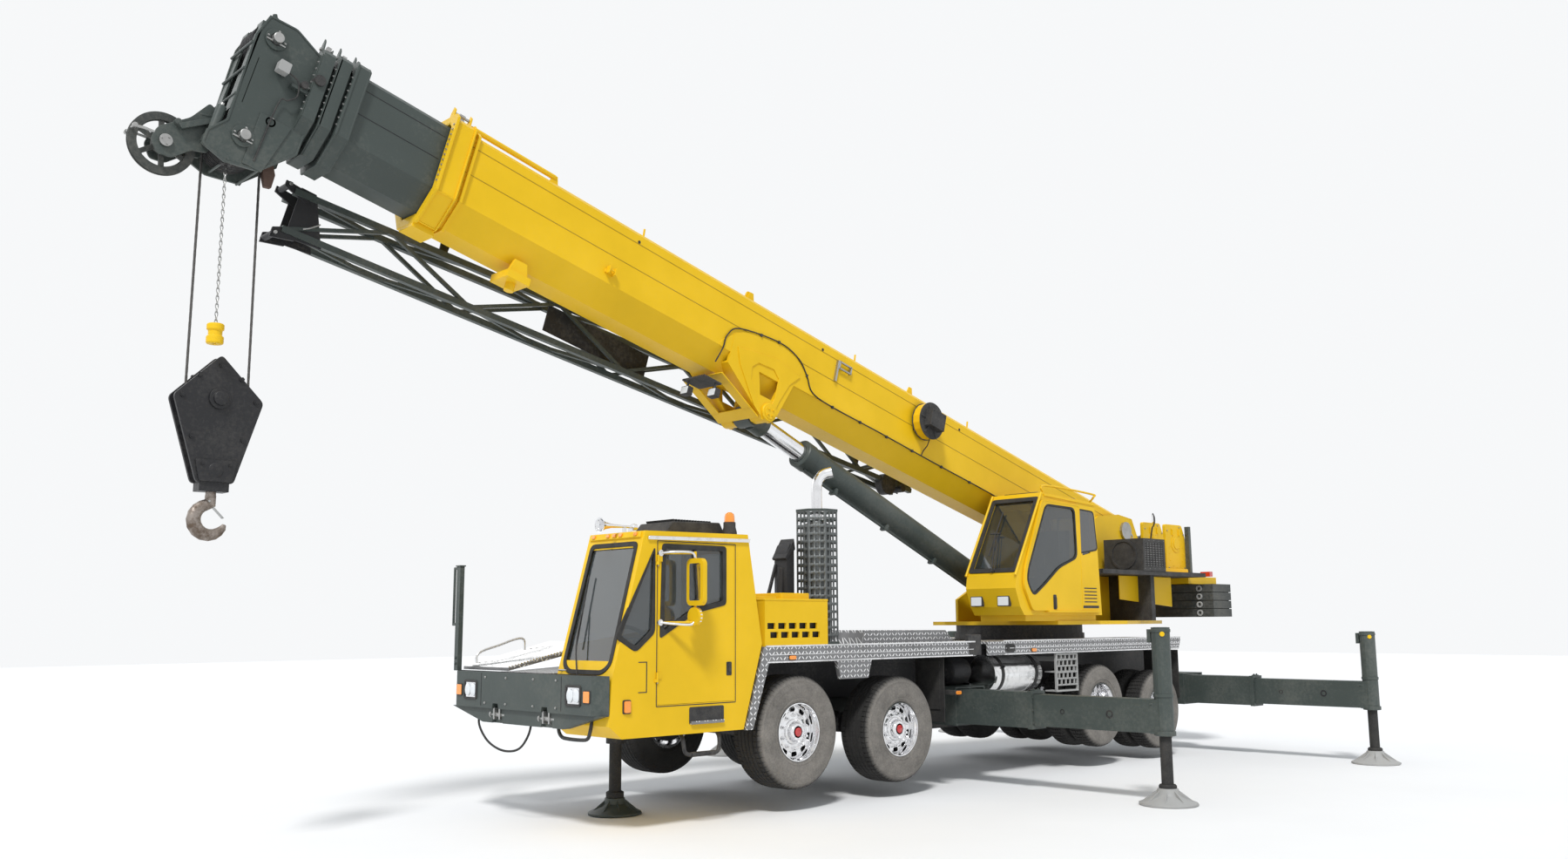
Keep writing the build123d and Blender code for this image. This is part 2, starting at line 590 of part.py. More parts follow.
def cab_seat(x, y, z):
    """Seat: base, cushion, back."""
    seat = block((x - 150, x + 150), (y - 150, y + 150), (z, z + 330))
    seat += block((x - 240, x + 260), (y - 240, y + 240), (z + 330, z + 450))
    back = side_plate([(x - 240, z + 400), (x - 130, z + 400), (x - 230, z + 1080), (x - 320, z + 1080)],
                      (y - 230, y + 230))
    return seat + back


def steering(x, y, z, floor):
    """Dash on the floor with the steering column and wheel ahead of the seat."""
    dash = block((x + 210, x + 430), (CAB_Y0 + CAB_T + 40, CAB_Y1 - CAB_T - 40), (floor, z - 270))
    column = rod((x + 260, y, z - 364), (x, y, z), 35, BAR_SIDES)
    outer, inner = RegularPolygon(226, TYRE_SIDES), RegularPolygon(194, TYRE_SIDES)
    rim = Pos(x, y, z) * (Rot(0, -35, 0) * extrude(outer - inner, 14, both=True))
    spokes = Pos(x, y, z) * (Rot(0, -35, 0) * Box(24, 420, 12))
    return dash + column + rim + spokes


def window_panes():
    front = band((7600, 2755), (7960, 1400), (CAB_Y0, CAB_Y1)) & screen_cut
    flat = (CAB_Y1 - PANE_IN - PANE_T, CAB_Y1 - PANE_IN)
    side = quarter_cut & block((6000, 8100), flat, (800, 2800))
    inner = inner_cut & block((6000, 8100), (CAB_Y0 + PANE_IN, CAB_Y0 + PANE_IN + PANE_T), (800, 2800))
    rear = rear_cut & band((6120, 1690), (6310, 2770), (CAB_Y0, CAB_Y1))
    return Compound(children=[front, side, inner, rear])


cab_floor = CARRIER_CAB[0][1] + CAB_T
nodes["carrier_cab"] = cab_shell()
nodes["carrier_door"] = cab_door()
nodes["carrier_cab_interior"] = Compound(
    children=[cab_seat(6760, 870, cab_floor), steering(7350, 870, 1750, cab_floor)])
nodes["carrier_cab_glass"] = window_panes()


# ---------------------------------------------------------------- superstructure
def slew_ring():
    ring = pin_z(0, 0, (RING_Z[0], RING_Z[1]), RING_R - 24, RING_SIDES)
    ring += pin_z(0, 0, (RING_Z[0], RING_Z[0] + 80), RING_R, RING_SIDES)
    return ring - pin_z(0, 0, (0, 3000), RING_BORE_R)


CHEEK = [(-2650, TABLE_PLATE_Z), (880, TABLE_PLATE_Z), (880, 2200), (300, 2480), (-1500, 3430), (-2050, 3480),
         (-2420, 3430), (-2650, 3000)]


def turntable():
    """Slewing platform: base plate, two side plates that hold the boom, foot lugs and tail frame."""
    plate = plan_plate([(-3150, -420), (-3150, 420), (-900, 1180), (780, 1180), (880, 600), (880, -600),
                        (780, -900), (-900, -900)], (RING_Z[1], TABLE_PLATE_Z))
    body = plate - pin_z(-500, 0, (0, 3000), 220, TUBE_SIDES)
    for side in (1, -1):
        y = sorted((side * CHEEK_Y, side * (CHEEK_Y + CHEEK_T)))
        body += side_plate(CHEEK, y)
        lug = sorted((side * 130, side * 170))
        body += side_plate([(-110, TABLE_PLATE_Z - 1), (300, TABLE_PLATE_Z - 1), (205, 2180), (150, 2220),
                            (50, 2220), (-10, 2180)], lug)
    body += block((-2640, -2600), (-CHEEK_Y - CHEEK_T, CHEEK_Y + CHEEK_T), (TABLE_PLATE_Z, 2900))
    body += block((-3200, -2600), (-CHEEK_Y - CHEEK_T, CHEEK_Y + CHEEK_T), (2450, 2560))
    body += block((-4020, -3150), (-900, 900), (2450, 2560))
    body -= pin_y(PIVOT[0], PIVOT[1], (-900, 900), PIVOT_R + RUN_GAP)
    return body - pin_y(FOOT[0], FOOT[1], (-900, 900), FOOT_R + RUN_GAP)


def counterweight():
    """Four slabs stacked under the tail frame, with cut-off rear corners."""
    plan = [(-3190, 1270), (-3750, 1270), (TAIL_X, 950), (TAIL_X, -950), (-3750, -1270), (-3190, -1270)]
    inside = [(-3215, 1240), (-3735, 1240), (TAIL_X + 30, 940), (TAIL_X + 30, -940), (-3735, -1240),
              (-3215, -1240)]
    low, high = SLAB_Z
    solid = plan_plate(plan, SLAB_Z)
    for i in range(1, SLABS):
        z = low + (high - low) * i / SLABS
        solid -= plan_plate(plan, (z - 5, z + 5)) - plan_plate(inside, (z - 6, z + 6))
    return solid + block((-3900, -3300), (-500, 500), (high, high + 10))


def winches():
    """Main and second hoist drums between yellow end housings, on the tail frame."""
    parts = []
    for x in WINCH_X:
        drum = pin_y(x, WINCH_Z, (-380, 380), DRUM_R, TUBE_SIDES)
        for y in (-380, 350):
            drum += pin_y(x, WINCH_Z, (y, y + 30), DRUM_FLANGE_R, TUBE_SIDES)
        cover = [(x - 270, 2560), (x + 270, 2560), (x + 300, 3150), (x + 170, 3400), (x - 170, 3400),
                 (x - 300, 3150)]
        for y in (-470, 380):
            drum += side_plate(cover, (y, y + 90))
        parts.append(drum)
    return Compound(children=parts)


def tail_box():
    """Oil cooler with its shroud, on the platform left of the side plates."""
    x, y, z = COOLER
    shelf = block((-2640, -320), (CHEEK_Y + CHEEK_T, 1190), (2540, z[0]))
    shelf += block((-3150, -2640), (480, 1190), (2540, z[0]))
    shelf += block((-1800, -1700), (CHEEK_Y + CHEEK_T, 1100), (TABLE_PLATE_Z, 2540))
    cooler = block(x, y, z) - block((x[0] + 30, x[1] - 30), (y[1] - 10, y[1] + 1), (z[0] + 40, z[1] - 40))
    for i in range(6):
        slat = x[0] + 105 + i * 78
        cooler += block((slat - 6, slat + 6), (y[1] - 20, y[1] - 2), (z[0] + 30, z[1] - 30))
    return shelf + cooler


CRANE_Y0, CRANE_Y1 = CRANE_CAB_Y
right_cut = side_plate([(1060, 3420), (-60, 3350), (60, 2500), (1500, 2500)],
                       (CRANE_Y0 - 1, CRANE_Y0 + CAB_T + 1))
front_cut = side_plate([(1000, 3440), (1500, 2520), (2200, 2520), (2200, 3440)],
                       (CRANE_Y0 + 70, CRANE_Y1 - 70))
back_cut = block((-300, -100), (CRANE_Y0 + 90, CRANE_Y1 - 90), (2500, 3300))
rear_side_cut = side_plate([(20, 3330), (230, 3335), (200, 2760), (10, 2800)],
                           (CRANE_Y1 - CAB_T - 1, CRANE_Y1 + 1))
door_cut = side_plate([(1130, 3420), (330, 3390), (330, 2060), (1330, 2060), (1560, 2480)],
                      (CRANE_Y1 - CAB_T - 1, CRANE_Y1 + 1))


def crane_cab():
    """Operator's cab with its window openings and doorway, on a foot on the turntable."""
    shell = hollow(CRANE_CAB, CRANE_CAB_Y, CAB_T)
    for cut in (right_cut, front_cut, back_cut, rear_side_cut, door_cut):
        shell -= cut
    foot = block((-150, 1450), (CHEEK_Y + CHEEK_T + 40, CRANE_Y1 - 60), (TABLE_PLATE_Z, CRANE_CAB[0][1]))
    rail = block((-100, 1100), (CRANE_Y1 - 1, CRANE_Y1 + 60), (2010, 2030))
    return shell + foot + rail


def crane_door():
    """Sliding door outside the cab's left wall, standing on its rail."""
    y = (CRANE_Y1 + 6, CRANE_Y1 + 36)
    door = side_plate([(1140, 3450), (290, 3420), (290, 2030), (1420, 2030), (1590, 2330), (1560, 2560)], y)
    window = [(1090, 3370), (400, 3350), (400, 2640), (640, 2560), (1150, 2150), (1480, 2480)]
    return door - side_plate(window, (y[0] - 1, y[1] + 1))


def crane_panes():
    front = front_cut & band((1080, 3550), (1700, 2480), CRANE_CAB_Y)
    right = right_cut & block((-400, 2000), (CRANE_Y0 + PANE_IN, CRANE_Y0 + PANE_IN + PANE_T), (1900, 3600))
    pane_y = CRANE_Y1 - PANE_IN
    side = rear_side_cut & block((-400, 2000), (pane_y - PANE_T, pane_y), (1900, 3600))
    back = back_cut & band((-210, 1975), (-130, 3480), CRANE_CAB_Y)
    return Compound(children=[front, right, side, back])


nodes["slew_ring"] = slew_ring()
nodes["turntable"] = turntable()
nodes["counterweight"] = counterweight()
nodes["winches"] = winches()
nodes["oil_cooler"] = tail_box()
nodes["crane_cab"] = crane_cab()
nodes["crane_door"] = crane_door()
nodes["crane_cab_glass"] = crane_panes()
nodes["crane_seat"] = cab_seat(560, 830, CRANE_CAB[0][1] + CAB_T)
cap_y = CHEEK_Y + CHEEK_T + RUN_GAP
pivot = pin_y(*PIVOT, (-cap_y, cap_y), PIVOT_R)
for y in ((cap_y, cap_y + 40), (-cap_y - 40, -cap_y)):
    pivot += pin_y(*PIVOT, y, 135, HUB_SIDES)
nodes["boom_pivot_pin"] = pivot
foot_cap = 170 + RUN_GAP
foot_pin = pin_y(*FOOT, (-foot_cap, foot_cap), FOOT_R)
for y in ((foot_cap, foot_cap + 20), (-foot_cap - 20, -foot_cap)):
    foot_pin += pin_y(*FOOT, y, 85, HUB_SIDES)
nodes["lift_foot_pin"] = foot_pin


# ---------------------------------------------------------------- boom
def section_face(s, d):
    """The boom's cross-section at s, moved in by d from the base section's outside."""
    low, high = BOOM_N[0] + d, BOOM_N[1] - d
    half = BOOM_HALF_W - d
    narrow = half * 0.45
    pts = [(narrow, low), (half, BOOM_CORNER_N + d * 0.4), (half, high - 50), (half - 50, high)]
    outline = pts + [(-y, n) for y, n in reversed(pts)]
    return make_face(Polyline(*[(s, y, n) for y, n in outline], close=True))


def section_solid(s0, s1, d):
    return extrude(section_face(s0, d), s1 - s0, dir=(1, 0, 0))


def section_tube(s0, s1, d):
    """A hollow boom section open at both ends."""
    return section_solid(s0, s1, d) - section_solid(s0 - 1, s1 + 1, d + WALL)


def collar(s0, s1, d, proud):
    """A stiffening frame round a section's nose."""
    return section_solid(s0, s1, d - proud) - section_solid(s0 - 1, s1 + 1, d + WALL / 2)


def wear_pads(nose, d):
    """Pads in a section's nose that carry the next section out."""
    low, high = BOOM_N[0] + d + WALL, BOOM_N[1] - d - WALL
    thick = NEST - RUN_GAP
    pads = block((nose - 200, nose - 20), (-90, 90), (low, low + thick))
    return pads + block((nose - 200, nose - 20), (-150, 150), (high - thick, high))


PITCH = WALL + NEST  # each section's step in from the one outside it
EYE_HALF_W = 130.0
BOSS_IN_Y = 140.0


def lift_bracket():
    """Gusseted bracket under the base section that holds the lift cylinder's head pin."""
    s, n = LIFT_PIN
    cheek = [(5700, 3400), (5930, 2760), (s - 60, n - 105), (s + 80, n - 100), (6780, 3090), (6780, 3420)]
    body = side_plate(cheek, (300, 340))
    body -= side_plate([(5960, 3150), (6040, 2900), (6240, 2900), (6320, 3150)], (299, 341))
    body += pin_y(s, n, (BOSS_IN_Y, 362), 105, TUBE_SIDES)
    body += side_plate([(s + 60, n - 110), (6790, 3070), (6790, 3095), (s + 60, n - 85)], (150, 340))
    return body + flip(body)


def boom_base():
    body = section_tube(BOOM_S0, BASE_END_S, 0)
    body += collar(BASE_END_S - 220, BASE_END_S, 0, 45) + collar(BASE_END_S - 300, BASE_END_S - 270, 0, 30)
    body += wear_pads(BASE_END_S, 0)
    body += lift_bracket() - section_solid(BOOM_S0, BASE_END_S, WALL / 2)
    p = PIVOT
    a = math.radians(BOOM_ANGLE)
    ps, pn = p[0] * math.cos(a) + p[1] * math.sin(a), -p[0] * math.sin(a) + p[1] * math.cos(a)
    for y in ((BOOM_HALF_W - WALL, CHEEK_Y - RUN_GAP), (-CHEEK_Y + RUN_GAP, -BOOM_HALF_W + WALL)):
        body += pin_y(ps, pn, y, 165, TUBE_SIDES)
    body -= pin_y(ps, pn, (-900, 900), PIVOT_R + RUN_GAP)
    for s in (3700, 6574, 9370, 10350):
        body += side_plate([(s - 60, BOOM_N[1] - 2), (s + 60, BOOM_N[1] - 2), (s + 25, BOOM_N[1] + 110),
                            (s - 25, BOOM_N[1] + 110)], (BOOM_HALF_W - 120, BOOM_HALF_W - 100))
    rail = (BOOM_HALF_W - 110, BOOM_N[1] + 90)
    body += rod((9370, *rail), (10350, *rail), 28, BAR_SIDES)
    for s in (3600, 9900):
        body += block((s - 60, s + 60), (-700, -BOOM_HALF_W + WALL), (3330, 3390))
    return body


def hose_reel():
    """Hose reel on the left of the base section."""
    s, n = REEL
    reel = pin_y(s, n, (BOOM_HALF_W + 40, BOOM_HALF_W + 160), 230, TUBE_SIDES)
    reel += pin_y(s, n, (BOOM_HALF_W - WALL / 2, 560), 60, BAR_SIDES)
    return reel + block((s - 130, s + 130), (BOOM_HALF_W + 160, 600), (n - 105, n + 105))


def inner_section(index):
    """One telescopic section: tube, nose collar and the pads for the next one."""
    ahead, length = SECTIONS[index]
    nose = BASE_END_S + ahead
    d = PITCH * (index + 1)
    tail = 100 + 350 * index
    body = section_tube(tail, nose, d)
    body += collar(nose - length, nose, d, 60 + 18 * index)
    return body + wear_pads(nose, d) if index < 2 else body


HEAD_PLATE = [(11800, 2900), (11800, 3830), (12150, 3990), (12400, 3975), (12460, 3740), (12430, 2900),
              (12545, 2740), (12545, 2600), (12330, 2540), (12050, 2600)]
NOSE_PLATE = [(12505, 2600), (12505, 2720), (12640, 2700), (12840, 2590), (12820, 2470), (12700, 2440)]


def boom_head():
    """Fourth section with the sheave head and the auxiliary nose."""
    body = inner_section(2)
    for side in (1, -1):
        body += side_plate(HEAD_PLATE, sorted((side * HEAD_HALF_W, side * (HEAD_HALF_W - 20))))
        body += side_plate(NOSE_PLATE, sorted((side * 95, side * 75)))
    body += block((11870, 11900), (-HEAD_HALF_W, HEAD_HALF_W), (3090, 3800))
    body += block((12505, 12535), (-HEAD_HALF_W, HEAD_HALF_W), (2660, 2720))
    for pin, r in ((UPPER_PIN, HEAD_PIN_R), (LOWER_PIN, HEAD_PIN_R), (NOSE_PIN, NOSE_PIN_R)):
        body -= pin_y(*pin, (-HALF_W, HALF_W), r + RUN_GAP)
    return body


def sheave(s, n, y, r):
    """One rope sheave with a V groove."""
    h = SHEAVE_T / 2
    return faceted([(r, -h), (r, 8 - h), (r - 30, 0), (r, h - 8), (r, h)], (s, y, n), (0, 1, 0), TUBE_SIDES)


def head_sheaves():
    upper = pin_y(*UPPER_PIN, (-HEAD_HALF_W - 15, HEAD_HALF_W + 15), HEAD_PIN_R)
    lower = pin_y(*LOWER_PIN, (-HEAD_HALF_W - 15, HEAD_HALF_W + 15), HEAD_PIN_R)
    for y in (-120, -60, 0, 60, 120):
        upper += sheave(*UPPER_PIN, y, SHEAVE_R - 60)
        lower += sheave(*LOWER_PIN, y, SHEAVE_R)
    nose = sheave(*NOSE_PIN, 0, NOSE_SHEAVE_R) + pin_y(*NOSE_PIN, (-110, 110), NOSE_PIN_R)
    return Compound(children=[upper, lower, nose])


def square_bar(a, b, w):
    """A square bar from point a to point b."""
    start, end = Vector(*a), Vector(*b)
    plane = Plane(origin=start, z_dir=end - start)
    return extrude(plane * Rectangle(w, w), (end - start).length)


def extension():
    """Stowed lattice extension beside the boom: four chords with zigzag lacing."""
    s0, s1, bays = 2600.0, 11500.0, 9

    def corner(i, side, level):
        t = i / bays
        n = 3080 - 560 * t + level * (520 - 130 * t)
        return (s0 + (s1 - s0) * t, -505 - side * (330 - 90 * t), n)

    body = None
    for side in (0, 1):
        for level in (0, 1):
            bar = square_bar(corner(0, side, level), corner(bays, side, level), 62)
            body = bar if body is None else body + bar
    bars = []
    for i in range(bays):
        a, b = (0, 1) if i % 2 else (1, 0)
        bars.append(square_bar(corner(i, 0, a), corner(i + 1, 0, b), 36))
        bars.append(square_bar(corner(i, 1, a), corner(i + 1, 1, b), 36))
        bars.append(square_bar(corner(i, a, 0), corner(i + 1, b, 0), 36))
        bars.append(square_bar(corner(i, a, 1), corner(i + 1, b, 1), 36))
    return body + bars


nodes["boom_base"] = on_boom(boom_base() + hose_reel())
nodes["boom_section_2"] = on_boom(inner_section(0))
nodes["boom_section_3"] = on_boom(inner_section(1))
nodes["boom_head"] = on_boom(boom_head())
nodes["head_sheaves"] = on_boom(head_sheaves())
nodes["boom_extension"] = on_boom(extension())


# ---------------------------------------------------------------- lift cylinder
head_pin = boom_point(*LIFT_PIN)
lift_angle = math.atan2(head_pin[1] - FOOT[1], head_pin[0] - FOOT[0])
lift_length = math.hypot(head_pin[0] - FOOT[0], head_pin[1] - FOOT[1])


def on_lift(shape):
    """Turns a shape laid out along +X from the foot pin to the cylinder's stored place."""
    return Pos(FOOT[0], 0, FOOT[1]) * (Rot(0, -math.degrees(lift_angle), 0) * shape)


def lift_barrel():
    body = rod((250, 0, 0), (LIFT_BARREL_END, 0, 0), LIFT_BARREL_R, TYRE_SIDES)
    body += pin_y(0, 0, (-124, 124), 140) + block((0, 251), (-124, 124), (-110, 110))
    body -= rod((300, 0, 0), (LIFT_BARREL_END - 90, 0, 0), LIFT_BARREL_R - 30)
    body -= rod((300, 0, 0), (LIFT_BARREL_END + 1, 0, 0), LIFT_ROD_R + RUN_GAP)
    return body - pin_y(0, 0, (-200, 200), FOOT_R + RUN_GAP)


def lift_rod():
    piston = 1500.0
    body = rod((piston, 0, 0), (lift_length - 60, 0, 0), LIFT_ROD_R)
    body += rod((piston, 0, 0), (piston + 130, 0, 0), LIFT_BARREL_R - 30 - RUN_GAP)
    body += rod((lift_length - 260, 0, 0), (lift_length - 60, 0, 0), ROD_END_R)
    return body + pin_y(lift_length, 0, (-EYE_HALF_W, EYE_HALF_W), ROD_END_R)


nodes["lift_barrel"] = on_lift(lift_barrel())
nodes["lift_rod"] = on_lift(lift_rod())


# ---------------------------------------------------------------- hook block, hook and rope falls
lower_pin = boom_point(*LOWER_PIN)
hang_x = lower_pin[0]


def hook_block():
    """Kite-shaped cheek plates round one sheave, with the trunnion that holds the hook."""
    x, mid, half = hang_x, BLOCK_SHEAVE_Z, BLOCK_T / 2
    kite = [(x, BLOCK_Z[1]), (x - BLOCK_HALF_W, mid), (x - 150, BLOCK_Z[0]), (x + 150, BLOCK_Z[0]),
            (x + BLOCK_HALF_W, mid)]
    body = side_plate(kite, (half - 30, half)) + side_plate(kite, (-half, -half + 30))
    body += pin_y(x, mid, (-half - 30, half + 30), 70, HUB_SIDES)
    body += sheave(x, mid, 0, BLOCK_SHEAVE_R)
    body += block((x - 120, x + 120), (-half, half), (BLOCK_Z[0] - 60, BLOCK_Z[0] + 90))
    body -= pin_z(x, 0, (BLOCK_Z[0] - 61, BLOCK_Z[0] + 91), HOOK_SHANK_R + RUN_GAP)
    return body - pin_z(x, 0, (BLOCK_Z[0] + 30, BLOCK_Z[0] + 91), HOOK_NUT_R + RUN_GAP)


def hook():
    """Forged hook with its shank through the trunnion and a nut above it; its mouth opens to the rear."""
    x, bowl_z, r, thick = hang_x, HOOK_Z0 + 175, 125, 50
    seat = BLOCK_Z[0] + 30 + RUN_GAP
    shank = pin_z(x, 0, (bowl_z + 120, seat), HOOK_SHANK_R) + pin_z(x, 0, (seat, seat + 50), HOOK_NUT_R)
    turns = [math.radians(90 - 250 * i / HOOK_STEPS) for i in range(HOOK_STEPS + 1)]
    bowl = [(x + r * math.cos(t), 0, bowl_z + r * math.sin(t)) for t in turns]
    return shank + bent_bar(bowl, thick, HUB_SIDES)


def falls():
    """The two parts of hoist rope between the head and the hook block."""
    top_half, low_half = SHEAVE_R + ROPE_R + 1, BLOCK_SHEAVE_R + ROPE_R + 1
    ropes = []
    for sign in (1, -1):
        foot = (hang_x + sign * low_half, 0, BLOCK_SHEAVE_Z)
        ropes.append(rod(foot, (hang_x + sign * top_half, 0, lower_pin[1]), ROPE_R))
    return Compound(children=ropes)


nodes["hook_block"] = hook_block()
nodes["hook"] = hook()
nodes["hoist_falls"] = falls()

os.makedirs("parts", exist_ok=True)
for name, shape in nodes.items():
    export_step(Pos(SHIFT_X, 0, 0) * shape, f"parts/{name}.step")
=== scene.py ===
"""Dresses a mobile crane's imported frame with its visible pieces, finishes, stage and camera."""

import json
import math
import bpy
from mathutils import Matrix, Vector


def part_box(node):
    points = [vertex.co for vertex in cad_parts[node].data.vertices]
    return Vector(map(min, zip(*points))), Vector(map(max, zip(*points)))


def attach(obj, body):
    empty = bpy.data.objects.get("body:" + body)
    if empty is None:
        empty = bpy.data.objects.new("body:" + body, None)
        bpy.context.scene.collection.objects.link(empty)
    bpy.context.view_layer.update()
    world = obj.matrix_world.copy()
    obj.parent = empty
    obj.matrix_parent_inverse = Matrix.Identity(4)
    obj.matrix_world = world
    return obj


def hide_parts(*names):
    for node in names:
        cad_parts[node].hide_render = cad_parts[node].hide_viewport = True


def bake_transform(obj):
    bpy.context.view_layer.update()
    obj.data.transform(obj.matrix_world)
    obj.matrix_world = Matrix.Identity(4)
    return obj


bl_info = {
    "name": "Mobile Crane",
    "version": (1, 0, 0),
    "blender": (4, 5, 0),
    "location": "View3D > Sidebar > Crane",
    "description": "Builds the pieces, finishes and stage of a four-axle telescopic truck crane",
    "category": "Object",
}

import bmesh
import bpy
from mathutils import Matrix, Vector

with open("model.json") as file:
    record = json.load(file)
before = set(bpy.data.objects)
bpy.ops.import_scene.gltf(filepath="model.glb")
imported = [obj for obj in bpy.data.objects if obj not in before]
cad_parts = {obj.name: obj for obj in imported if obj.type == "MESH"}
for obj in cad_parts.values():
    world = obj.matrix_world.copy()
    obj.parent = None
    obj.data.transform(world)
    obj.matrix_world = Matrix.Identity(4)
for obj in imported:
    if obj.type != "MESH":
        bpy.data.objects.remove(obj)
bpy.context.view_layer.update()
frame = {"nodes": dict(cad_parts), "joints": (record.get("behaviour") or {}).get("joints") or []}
NODES = frame["nodes"]
JOINTS = {j["name"]: j for j in frame["joints"]}


SLEW_X = JOINTS["slew"]["pos_m"][0]
BOOM_AXIS = Vector(JOINTS["section_2_slide"]["axis"])
HANG = Vector(JOINTS["hook_swing"]["pos_m"])
FOOT = Vector(JOINTS["lift_swing"]["pos_m"])
ROD_AXIS = Vector(JOINTS["lift_rod_slide"]["axis"])


# ---------------------------------------------------------------- datums
def at(x, y, z):
    """A point from the slewing axis on the ground: forward, left, up."""
    return Vector((SLEW_X + x, y, z))


def along(s, y, n):
    """A point of the boom: along it, left, and square to it."""
    a, b = BOOM_AXIS.x, BOOM_AXIS.z
    return Vector((SLEW_X + s * a - n * b, y, s * b + n * a))


def on_ram(s, y, n):
    """A point of the lift cylinder: along it from its foot pin, left, and square to it."""
    a, b = ROD_AXIS.x, ROD_AXIS.z
    return Vector((FOOT.x + s * a - n * b, y, FOOT.z + s * b + n * a))


def hanging(x, y, z):
    """A point of the hook tackle, from below the lower sheaves."""
    return Vector((HANG.x + x, y, z))


# ---------------------------------------------------------------- mesh making
class Shape:
    """Collects solid forms in one mesh, given in the coordinates of one datum."""

    def __init__(self, datum=at):
        self.bm = bmesh.new()
        self.datum = datum

    def loft(self, rings, closed=False, capped=True):
        """Skins rings of points with the same count; closed joins the last ring to the first."""
        rows = [[self.bm.verts.new(self.datum(*p)) for p in ring] for ring in rings]
        pairs = list(zip(rows, rows[1:])) + ([(rows[-1], rows[0])] if closed else [])
        for low, high in pairs:
            for i in range(len(low)):
                j = (i + 1) % len(low)
                self.bm.faces.new((low[i], low[j], high[j], high[i]))
        if capped and not closed:
            self.bm.faces.new(rows[0][::-1])
            self.bm.faces.new(rows[-1])
        return self

    def prism(self, outline, span, axis="y"):
        """An outline made solid over a span: (x, z) over y, (x, y) over z or (y, z) over x."""
        place = {"y": lambda p, t: (p[0], t, p[1]), "z": lambda p, t: (p[0], p[1], t), "x": lambda p,
                 t: (t, *p)}[axis]
        return self.loft([[place(p, t) for p in outline] for t in span])

    def box(self, x, y, z):
        return self.prism([(x[0], z[0]), (x[1], z[0]), (x[1], z[1]), (x[0], z[1])], y)

    def bar(self, a, b, r, r_end=None, sides=20):
        """A round bar or cone from a to b."""
        return self.pipe([a, b], r, sides, radii=[r, r if r_end is None else r_end])

    def pipe(self, path, r, sides=12, radii=None, smooth=0):
        """A round pipe along a path; smooth rounds its corners with that many points a run."""
        path = [Vector(p) for p in path]
        if smooth:
            path = rounded(path, smooth)
        radii = radii or [r] * len(path)
        rings = []
        side = None
        for i, p in enumerate(path):
            run = (path[min(i + 1, len(path) - 1)] - path[max(i - 1, 0)]).normalized()
            if side is None:
                side = run.orthogonal().normalized()
            side = (side - run * side.dot(run)).normalized()
            up = run.cross(side)
            turns = [2 * math.pi * k / sides for k in range(sides)]
            rings.append([p + (side * math.cos(t) + up * math.sin(t)) * radii[i] for t in turns])
        return self.loft(rings)

    def lathe(self, profile, centre, axis="y", sides=48):
        """A closed (radius, height) profile turned about an axis through a point."""
        rings = []
        for k in range(sides):
            t = 2 * math.pi * k / sides
            c, s = math.cos(t), math.sin(t)
            ring = []
            for r, h in profile:
                step = {"y": (r * c, h, r * s), "z": (r * c, r * s, h), "x": (h, r * c, r * s)}[axis]
                ring.append([centre[i] + step[i] for i in range(3)])
            rings.append(ring)
        return self.loft(rings, closed=True)

    def bolts(self, places, axis, r=0.014, high=0.012):
        """Hexagon heads standing on places, along an axis."""
        rise = Vector(axis).normalized()
        for p in places:
            p = Vector(p)
            self.bar(p - rise * 0.004, p + rise * high, r, sides=6)
            self.bar(p + rise * (high - 0.002), p + rise * (high + 0.006), r * 0.5, sides=10)
        return self

    def build(self, name, body, finish, bevel=0.003, soft=32, replaces=()):
        """Makes the piece, rounds its edges and lets it ride on a body."""
        bmesh.ops.recalc_face_normals(self.bm, faces=self.bm.faces)
        mesh = bpy.data.meshes.new(name)
        self.bm.to_mesh(mesh)
        self.bm.free()
        return dress(name, mesh, body, finish, bevel, soft, replaces)


def rounded(path, steps):
    """Catmull-Rom points through a path."""
    ends = [path[0] * 2 - path[1], *path, path[-1] * 2 - path[-2]]
    out = []
    for p0, p1, p2, p3 in zip(ends, ends[1:], ends[2:], ends[3:]):
        for k in range(steps):
            t = k / steps
            out.append(0.5 * (2 * p1 + (p2 - p0) * t + (2 * p0 - 5 * p1 + 4 * p2 - p3) * t * t
                              + (3 * p1 - p0 - 3 * p2 + p3) * t ** 3))
    return out + [path[-1]]


def dress(name, mesh, body, finish, bevel=0.003, soft=32, replaces=()):
    """Puts a mesh in the scene with its finish, rounded edges and body."""
    piece = bpy.data.objects.new(name, mesh)
    bpy.context.scene.collection.objects.link(piece)
    mesh.materials.append(FINISHES[finish])
    mesh.shade_smooth()
    if bevel:
        edge = piece.modifiers.new("edges", "BEVEL")
        edge.width = bevel
        edge.segments = 2
        edge.limit_method = "ANGLE"
        edge.angle_limit = math.radians(soft)
        edge.harden_normals = True
    else:
        mesh.set_sharp_from_angle(angle=math.radians(soft))
    if body:
        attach(piece, body)
    if replaces:
        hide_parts(*replaces)
    return piece


def polygon(centre, r, count, start=0.0):
    """Corners of a regular polygon in a plane."""
    turns = [start + 2 * math.pi * k / count for k in range(count)]
    return [(centre[0] + r * math.cos(t), centre[1] + r * math.sin(t)) for t in turns]


